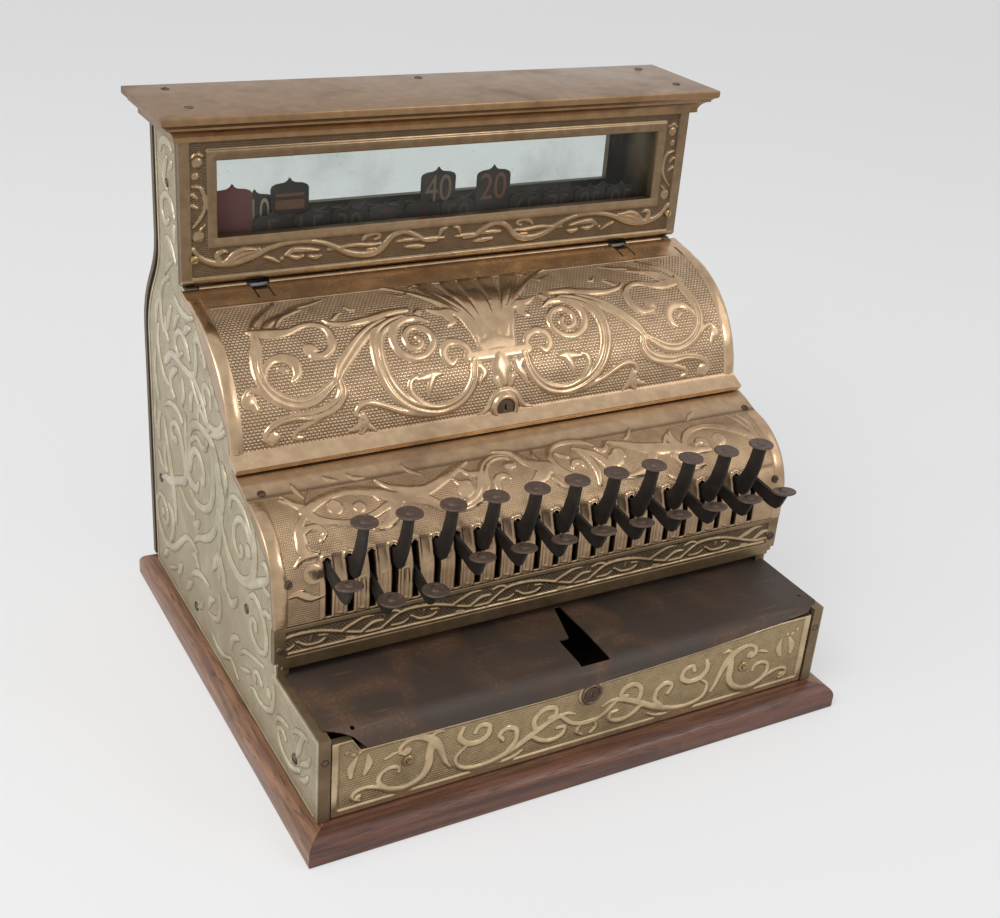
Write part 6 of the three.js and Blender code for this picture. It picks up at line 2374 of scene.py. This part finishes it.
@dataclass
class Cornice:
    """Moulded top with a cove all round and a hollow underneath."""

    inner_half: float = 215.25
    front: float = 80.0
    back: float = 162.0
    bottom: float = 414.0
    height: float = 19.7
    side_reach: float = 15.75
    front_reach: float = 16.6
    hollow: tuple[float, float, float, float] = (203.0, 92.0, 150.0, 15.0)
    screws: tuple[Point2, ...] = ((-203, 92), (-203, 148), (207, 92), (207, 148), (0, 150))
    profile: tuple[Point2, ...] = (
        (0.27, 0.0), (0.27, 0.15), (0.29, 0.2), (0.33, 0.27), (0.385, 0.34), (0.46, 0.4), (0.55, 0.455),
        (0.63, 0.485), (0.72, 0.5), (0.72, 0.575), (0.765, 0.6), (0.8, 0.64), (0.86, 0.665), (0.93, 0.69),
        (0.985, 0.735), (1.0, 0.78), (1.0, 0.955), (0.985, 0.99), (0.95, 1.0),
    )

    def loop(self, shape: bmesh.types.BMesh, out: float, z: float) -> list[bmesh.types.BMVert]:
        """Adds the four corners of one level, whose share of the full reach is out."""
        side, front = self.inner_half + out * self.side_reach, self.front - out * self.front_reach
        corners = ((-side, front), (side, front), (side, self.back), (-side, self.back))
        return [shape.verts.new((x, y, z)) for x, y in corners]

    def build(self, maker: Maker) -> None:
        """Builds and places the cornice.

        Args:
            maker: places the pieces.
        """
        shape = bmesh.new()
        loops = [self.loop(shape, out, self.bottom + up * self.height) for out, up in self.profile]
        for low, high in zip(loops, loops[1:]):
            add_band(shape, low, high)
        shape.faces.new(loops[-1])
        half, near, far, deep = self.hollow
        corners = ((-half, near), (half, near), (half, far), (-half, far))
        rim = [
            [shape.verts.new((x, y, z)) for x, y in corners] for z in (self.bottom, self.bottom + deep)
        ]
        for k in range(4):
            n = (k + 1) % 4
            shape.faces.new((loops[0][n], loops[0][k], rim[0][k], rim[0][n]))
            shape.faces.new((rim[0][n], rim[0][k], rim[1][k], rim[1][n]))
        shape.faces.new(rim[1][::-1])
        mesh = finished(shape, "cornice_moulding", 25)
        maker.place(mesh, "cabinet", maker.finishes.copper, "copper_stain", ("top_cornice",))
        top = self.bottom + self.height
        heads = [
            screw_head((x, y, top - 0.2), (0, 0, 1), 3.4, 50 * i, 1.1) for i, (x, y) in enumerate(self.screws)
        ]
        maker.place_screws(heads, "cornice_screws")


@dataclass
class WoodenBase:
    """Four mitred rails with a rounded outer edge."""

    half_width: float = 225.0
    half_depth: float = 200.0
    rail: float = 40.0
    height: float = 19.5
    radius: float = 9.0

    def build(self, maker: Maker) -> None:
        """Builds and places the rails.

        Args:
            maker: places the pieces.
        """
        # The front and back rails take the wood copy painted darker as shade, and the side rails take the
        # copy painted lighter as lit.
        for name, half, reach, turn, look in (
            ("base_front_rail", self.half_width, self.half_depth, 0, maker.finishes.wood_across_shaded),
            ("base_right_rail", self.half_depth, self.half_width, 90, maker.finishes.wood_along_lit),
            ("base_back_rail", self.half_width, self.half_depth, 180, maker.finishes.wood_across_shaded),
            ("base_left_rail", self.half_depth, self.half_width, 270, maker.finishes.wood_along_lit),
        ):
            shape = self.rail_shape(half, reach)
            bmesh.ops.transform(shape, matrix=Matrix.Rotation(math.radians(turn), 4, "Z"), verts=shape.verts)
            maker.place(finished(shape, f"{name}_moulded", 40, 0.0), "cabinet", look, "base_wood", (name,))

    def rail_shape(self, half: float, reach: float) -> bmesh.types.BMesh:
        """Makes one rail at the front.

        Args:
            half: half of its length.
            reach: distance of its outside from the middle.

        Returns:
            The closed shape.
        """
        r, h = self.radius, self.height
        arc = [(r - r * math.cos(a), h - r + r * math.sin(a)) for a in np.linspace(0, math.pi / 2, 14)]
        section = [(0.0, 0.9), *arc, (self.rail - 0.5, h), (self.rail, h - 0.5), (self.rail, 0.0), (0.8, 0.0)]
        shape = bmesh.new()
        rings = []
        for x0 in (-1, 1):
            rings.append([shape.verts.new((x0 * (half - 0.15 - d), d - reach, z)) for d, z in section])
        shape.faces.new(rings[0][::-1])
        shape.faces.new(rings[1])
        add_band(shape, *rings)
        return shape


@dataclass
class Drawer:
    """Drawer front with its scrolls, bolts and lock."""

    half_width: float = 202.3
    low: float = 20.4
    high: float = 82.7
    thickness: float = 6.0
    front: float = -181.0
    lip_ends: Point2 = (-181.0, 199.0)
    clip: float = -187.8
    border: float = 5.6
    boss: float = 10.5
    lock_place: Point2 = (0.0, 65.5)
    bolts: tuple[Point2, ...] = ((-145.6, 51.0), (141.2, 49.8))

    def top_edge(self, x: np.ndarray) -> np.ndarray:
        """Gives the height of the front's upper edge, which follows the sheet's folded lip."""
        left, right = self.lip_ends
        shares, depths = (0.0, 0.4, 0.73, 0.93, 1.0), (0.94, 1.0, 0.63, 0.3, 0.2)
        xs = [left + (right - left) * share for share in shares]
        zs = [min(88.3 - 16.2 * depth - 0.6, self.high) for depth in depths]
        line = [(-self.half_width, self.high), (self.clip, self.high), (xs[0] - 0.6, zs[0])]
        line += [*list(zip(xs, zs))[1:], (self.half_width, self.high)]
        return np.interp(x, [p[0] for p in line], [p[1] for p in line])

    def build(self, maker: Maker) -> None:
        """Builds and places the front.

        Args:
            maker: places the pieces.
        """
        w = self.half_width
        relief = Relief(even(-w - 2, w + 2, 0.8), even(18, 86, 0.8))
        relief.draw(FRONT_SCROLLS + FRONT_VINE, mirrored=True)
        relief.height = relief.height * 1.25 - 1.1
        x, z = np.meshgrid(relief.across, relief.along)
        edge = np.minimum(np.minimum(w - np.abs(x), z - self.low), self.top_edge(x) - z + 3.0)
        border = np.clip((self.border - edge) / 0.9, 0, 1)
        relief.height = np.where(border > 0, relief.height * (1 - border), relief.height)
        relief.raised = np.maximum(relief.raised, border * 0.8)
        x0, z0 = self.lock_place
        boss = np.clip((self.boss - np.hypot(x - x0, z - z0)) / 1.2, 0, 1)
        relief.height = np.where(boss > 0, relief.height * (1 - boss) + boss * 0.2, relief.height)
        relief.raised = np.maximum(relief.raised, boss * 0.7)
        left, right = self.lip_ends
        stations = np.unique(np.concatenate([even(-w, w, 0.8), [self.clip, left - 0.6, left, right]]))
        face = front_face(self.front)
        lows, highs = np.full(len(stations), self.low), self.top_edge(stations)
        shell = RuledShell(face, stations, lows, highs, 78, relief, self.thickness, upright=True)
        look = maker.finishes.front
        maker.place(shell.mesh("drawer_front_casting"), "drawer", look, "cast_silver", ("drawer_front",))
        bolt = [(0, -0.5), (4.6, -0.5), (4.6, 0.3), (3.9, 1.0), (2.4, 1.2), (2.2, 2.6), (1.2, 3.3), (0, 3.5)]
        bolts = [moved(turned(bolt), (x1, self.front + 0.6, z1), (0, -1, 0)) for x1, z1 in self.bolts]
        maker.place(finished(joined(bolts), "drawer_bolts"), "drawer", maker.finishes.brass, "steel")
        ring = [(6.3, -0.5), (8.8, -0.5), (8.9, 0.7), (8.2, 1.5), (7.2, 1.6), (6.4, 1.0)]
        lock_ring = moved(turned(ring, 36, hollow=True), (x0, self.front - 0.2, z0), (0, -1, 0))
        maker.place(finished(lock_ring, "drawer_lock_ring"), "drawer", maker.finishes.lock, "brass")


@dataclass
class Indicators:
    """Numbers and bars painted on the drop flags."""

    first: float = -169.9
    pitch: float = 15.45
    front: float = 99.6
    rear: float = 105.1
    flag_height: float = 38.0
    lowered_foot: float = 325.0
    number_height: float = 21.5
    red: tuple[int, ...] = (8, 9, 10, 17)
    lowered_numbers: tuple[tuple[int, str], ...] = (
        (2, "5"), (4, "15"), (5, "25"), (6, "30"), (7, "35"), (8, "3"), (9, "45"), (10, "4"), (12, "50"),
        (13, "55"), (15, "60"), (16, "65"), (17, "70"), (18, "75"), (19, "80"), (20, "85"), (21, "90"),
        (22, "95"),
    )

    def build(self, maker: Maker) -> None:
        """Builds and places every painted sign.

        Args:
            maker: places the pieces.
        """
        f, tall = maker.finishes, self.number_height
        for flag, text, wide, aside, rise, look in (
            ("flag_02", "10", 13.5, 4.6, 9.5, f.cream),
            ("flag_12", "40", 23.0, 0.0, 10.0, f.tan),
            ("flag_15", "20", 23.0, 0.0, 10.0, f.orange),
        ):
            middle, plane, foot = self.flag_place(flag)
            at = (middle + aside, plane, foot + rise + tall / 2)
            digits = self.digits(text, (wide, tall), at, f"{flag}_number")
            maker.place(digits, f"{flag}_tablet", look, "cream_flag")
        middle, plane, foot = self.flag_place("flag_04")
        stripes = ((25.0, 2.2), (17.5, 7.0), (9.0, 2.2))
        bars = [self.bar(middle, plane, foot + z, 23.0, high) for z, high in stripes]
        maker.place(finished(joined(bars), "flag_04_bars", 0), "flag_04_tablet", f.orange, "cream_flag")
        for index, text in self.lowered_numbers:
            plane = self.front if index % 2 == 0 else self.rear
            at = (self.first + self.pitch * index, plane, self.lowered_foot + tall / 2)
            wide = 20.0 if len(text) > 1 else 11.0
            digits = self.digits(text, (wide, tall), at, f"lowered_number_{index + 1:02d}")
            # The lowered numbers take the dimmed copies of the paint, as painted shade.
            maker.place(digits, "cabinet", f.dim_red if index in self.red else f.dim, "cream_flag")

    def flag_place(self, flag: str) -> Point3:
        """Gives a raised flag's middle, its front plane and its foot, in millimetres."""
        low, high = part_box(flag)
        return ((low[0] + high[0]) / 2 / MM, low[1] / MM, high[2] / MM - self.flag_height)

    @staticmethod
    def bar(x: float, plane: float, z: float, width: float, tall: float) -> bmesh.types.BMesh:
        """Makes one flat painted bar with softened corners."""
        cut = min(1.0, tall / 3)
        w, h = width / 2, tall / 2
        outline = [(-w + cut, -h), (w - cut, -h), (w, -h + cut), (w, h - cut)]
        outline += [(-a, -b) for a, b in outline]
        shape = bmesh.new()
        rings = [[shape.verts.new((x + a, plane + y, z + b)) for a, b in outline] for y in (0.04, -0.11)]
        shape.faces.new(rings[0][::-1])
        shape.faces.new(rings[1])
        add_band(shape, *rings)
        return shape

    @staticmethod
    def digits(text: str, size: Point2, at: Point3, name: str) -> bpy.types.Mesh:
        """Makes raised digits that face the front.

        Args:
            text: the digits.
            size: width and height.
            at: middle of the digits' back.
            name: name of the mesh.

        Returns:
            The mesh.
        """
        curve = bpy.data.curves.new(f"{name}_letters", "FONT")
        curve.body, curve.extrude, curve.resolution_u = text, 0.1, 4
        holder = bpy.data.objects.new(curve.name, curve)
        bpy.context.scene.collection.objects.link(holder)
        ready = holder.evaluated_get(bpy.context.evaluated_depsgraph_get())
        source = bpy.data.meshes.new_from_object(ready)
        shape = bmesh.new()
        shape.from_mesh(source)
        bpy.data.objects.remove(holder)
        bpy.data.curves.remove(curve)
        bpy.data.meshes.remove(source)
        bmesh.ops.remove_doubles(shape, verts=shape.verts, dist=0.0001)
        places = np.array([v.co for v in shape.verts])
        low, high = places.min(0), places.max(0)
        for vert, place in zip(shape.verts, (places - low) / (high - low)):
            x = at[0] + (place[0] - 0.5) * size[0]
            z = at[2] + (place[1] - 0.5) * size[1]
            vert.co = (x, at[1] + 0.04 - place[2] * 0.15, z)
        return finished(shape, name, 0)


def punch(shape: bmesh.types.BMesh, outline: Sequence[Point2]) -> None:
    """Cuts an opening through an upward-facing sheet.

    Args:
        shape: the sheet.
        outline: corners of the opening in order.
    """
    low = [min(p[k] for p in outline) - 0.1 for k in (0, 1)]
    high = [max(p[k] for p in outline) + 0.1 for k in (0, 1)]

    def nearby() -> list[bmesh.types.BMFace]:
        """Finds the faces that reach into the opening's box."""
        found = []
        for face in shape.faces:
            spans = [[v.co[k] for v in face.verts] for k in (0, 1)]
            if all(min(span) < high[k] and max(span) > low[k] for k, span in enumerate(spans)):
                found.append(face)
        return found

    for (x0, y0), (x1, y1) in zip(outline, [*outline[1:], outline[0]]):
        faces = nearby()
        edges = dict.fromkeys(e for f in faces for e in f.edges)
        verts = dict.fromkeys(v for f in faces for v in f.verts)
        normal = (y1 - y0, x0 - x1, 0)
        geometry = [*faces, *edges, *verts]
        bmesh.ops.bisect_plane(shape, geom=geometry, dist=1e-5, plane_co=(x0, y0, 0), plane_no=normal)

    def inside(x: float, y: float) -> bool:
        """Tells whether a place lies in the opening."""
        count = 0
        for (x0, y0), (x1, y1) in zip(outline, [*outline[1:], outline[0]]):
            if (y0 > y) != (y1 > y) and x < x0 + (y - y0) / (y1 - y0) * (x1 - x0):
                count += 1
        return count % 2 == 1

    gone = [f for f in nearby() if inside(*f.calc_center_median().xy)]
    bmesh.ops.delete(shape, geom=gone, context="FACES")


@dataclass
class CoverSheet:
    """Bent sheet over the drawer, with its opening, holes and uneven front edge."""

    left: float = -205.5
    right: float = 211.0
    inside: float = 203.0
    rail_line: float = -105.8
    back: float = -72.0
    top: float = 89.5
    front: float = -182.4
    bend: float = 12.0
    thickness: float = 1.2
    clips: Point2 = (-186.5, 199.0)
    hole_radius: float = 1.6
    opening: tuple[Point2, ...] = (
        (11.5, -103.0), (16.6, -103.0), (16.6, -176.0), (-8.2, -176.0), (-8.2, -143.5), (0.5, -143.5),
    )
    holes: tuple[Point2, ...] = ((-186.0, -175.5), (203.0, -162.5))

    def edge_run(self, x: float) -> float:
        """Gives how far the sheet runs on past the start of its bend.

        Args:
            x: place across.

        Returns:
            The length in millimetres.
        """
        start = self.front + self.bend
        left, right = self.clips
        if not left <= x <= right:
            y = np.interp(x, [self.left, left, right, self.right], [-172.0, -180.4, -179.7, -173.0])
            return self.bend * math.asin((start - y) / self.bend)
        foot = np.interp(x, [left, -177.0, -29.0, 96.4, 172.4, right], [84.0, 73.4, 72.1, 78.1, 83.4, 85.1])
        drop = self.top - foot
        if drop > self.bend:
            return self.bend * math.pi / 2 + drop - self.bend
        return self.bend * math.acos(1 - drop / self.bend)

    def at(self, x: float, y: float, run: float) -> Point3:
        """Gives a place on the sheet's top.

        Args:
            x: place across.
            y: place back from the bend.
            run: length past the start of the bend.

        Returns:
            The place in millimetres.
        """
        if run <= 0:
            fade = min(1.0, (y - self.front - self.bend) / 25) * min(1.0, max(0.0, (-84 - y) / 20))
            wave = math.sin(x / 47 + 1.2) * math.sin(y / 31 + 0.5) + 0.6 * math.sin(x / 23 + y / 29)
            return (x, y, self.top + 0.45 * wave * fade)
        angle = min(run / self.bend, math.pi / 2)
        past = max(0.0, run - self.bend * math.pi / 2)
        y = self.front + self.bend - self.bend * math.sin(angle)
        return (x, y, self.top - self.bend * (1 - math.cos(angle)) - past)

    def build(self, maker: Maker) -> None:
        """Builds and places the sheet.

        Args:
            maker: places the pieces.
        """
        start = self.front + self.bend
        left, right = self.clips
        marks = [(self.left, 1), (-self.inside, 5), (left, 2.5), (-170, 6), (right, 3), (self.inside, 4)]
        xs, _ = fill_lines([*marks, (self.right, 1)])
        ys = [*np.linspace(self.back, self.rail_line, 7), *np.linspace(self.rail_line, start, 13)[1:]]
        shape = bmesh.new()
        columns = []
        for x in xs:
            spots = [self.at(x, y, 0.0) for y in ys]
            spots += [self.at(x, 0.0, run) for run in np.linspace(0, self.edge_run(x), 15)[1:]]
            columns.append([shape.verts.new(p) for p in spots])
        for a, b in zip(columns, columns[1:]):
            for k in range(len(a) - 1):
                if max(abs(a[k].co.x), abs(b[k].co.x)) > self.inside + 0.01 and k < 6:
                    continue
                shape.faces.new((a[k], a[k + 1], b[k + 1], b[k]))
        bmesh.ops.delete(shape, geom=[v for v in shape.verts if not v.link_faces], context="VERTS")
        punch(shape, self.opening)
        r, turns = self.hole_radius, np.linspace(0, 2 * math.pi, 12, endpoint=False)
        for x, y in self.holes:
            punch(shape, [(x + r * math.cos(a), y + r * math.sin(a)) for a in turns])
        shape.normal_update()
        if sum(f.normal.z for f in shape.faces) < 0:
            bmesh.ops.reverse_faces(shape, faces=shape.faces)
        bmesh.ops.solidify(shape, geom=shape.faces, thickness=self.thickness)
        mesh = finished(shape, "drawer_cover_sheet", 40)
        maker.place(mesh, "cabinet", maker.finishes.sheet, "rusty_sheet", ("drawer_cover",))


def bead(path: Sequence[Point3], radius: float) -> bmesh.types.BMesh:
    """Makes a round bead along a closed line.

    Args:
        path: points of the line in millimetres.
        radius: radius of the bead.

    Returns:
        The closed shape.
    """
    shape = bmesh.new()
    points = [Vector(p) for p in path]
    turns = [math.pi * j / 5 for j in range(10)]
    rings = []
    for before, point, after in zip([points[-1], *points], points, [*points[1:], points[0]]):
        ahead = (after - before).normalized()
        side = ahead.cross(Vector((0, 1, 0) if abs(ahead.y) < 0.9 else (0, 0, 1))).normalized()
        other = ahead.cross(side)
        around = [point + side * math.cos(a) * radius + other * math.sin(a) * radius for a in turns]
        rings.append([shape.verts.new(p) for p in around])
    for low, high in zip(rings, [*rings[1:], rings[0]]):
        add_band(shape, low, high)
    return shape


@dataclass
class RearTrim:
    """Beads and screws on the rear cover."""

    bead_x: float = 196.0
    bead_radius: float = 1.4
    window: tuple[float, float, float] = (194.0, 334.0, 406.0)
    screw_x: float = 201.2
    upper: float = 161.0
    lower: float = 200.0

    def line(self) -> list[Point2]:
        """Gives the cover's outside line from its top to its foot."""
        upper, lower = self.upper, self.lower
        y, z = s_curve(((upper, 320.0), (upper, 290.0), (lower, 275.0), (lower, 232.0)), 24)
        return [*zip(y, z), *((lower, height) for height in (180.0, 130.0, 80.0, 30.0))]

    def build(self, maker: Maker) -> None:
        """Builds and places the trim.

        Args:
            maker: places the pieces.
        """
        line = self.line()
        loop = [(-self.bead_x, y, z) for y, z in line] + [(self.bead_x, y, z) for y, z in line[::-1]]
        half, low, high = self.window
        window = [(x, self.upper, z) for x, z in ((-half, low), (half, low), (half, high), (-half, high))]
        beads = [bead(path, self.bead_radius) for path in (loop, window)]
        mesh = finished(joined(beads), "rear_cover_beads", 50)
        maker.place(mesh, "cabinet", maker.finishes.rear, "copper_stain")
        places = [(self.lower, z) for z in (40.0, 120.0, 205.0)] + [(self.upper, z) for z in (345.0, 396.0)]
        heads = [
            screw_head((side * self.screw_x, y, z), (0, 1, 0), 3.2, 40 * i)
            for side in (-1, 1) for i, (y, z) in enumerate(places)
        ]
        maker.place_screws(heads, "rear_cover_screws")


class Fittings:
    """Finishes for the CAD nodes that keep their own shape."""

    def build(self, maker: Maker) -> None:
        """Gives every other node its material.

        Args:
            maker: holds the finishes.
        """
        f = maker.finishes
        for look, names in (
            (f.edge, ("left_side_plate", "right_side_plate")),
            (f.rear, ("rear_cover",)),
            (f.rear_glass, ("rear_glass",)),
            (f.glass, ("front_glass",)),
            (f.lock, ("lid_lock", "drawer_lock")),
            (f.red_flag, ("flag_01",)),
            (f.dark_flag, ("flag_02", "flag_04", "flag_12", "flag_15", "lowered_flags")),
            (f.steel, ("lid_hinge_rod", "key_shaft", "key_stop_bar", "flag_guide", "drawer_spring")),
            (f.steel, ("hammer_post", "bell_hammer")),
            (f.brass, ("bell",)),
            # The tray takes the wood painted nearly black as shade.
            (f.tray, ("drawer_tray",)),
            (f.board, ("drawer_guide_left", "drawer_guide_right", "base_board")),
        ):
            for name in names:
                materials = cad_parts[name].data.materials
                materials.clear()
                materials.append(look)


def main() -> None:
    """Builds the whole register and logs how many pieces each part makes."""
    logging.basicConfig(level=logging.INFO, format="%(name)s: %(message)s")
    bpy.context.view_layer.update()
    Studio().build()
    maker = Maker()
    for part in (
        WoodenBase(), SidePlates(), WindowFrame(), Cornice(), Indicators(), HingedLid(), KeyPanel(),
        FriezeRail(), Keyboard(), Drawer(), CoverSheet(), RearTrim(), Fittings(),
    ):
        before = maker.count
        part.build(maker)
        log.info("%s: %d pieces", type(part).__name__, maker.count - before)


if __name__ == "__main__":
    main()
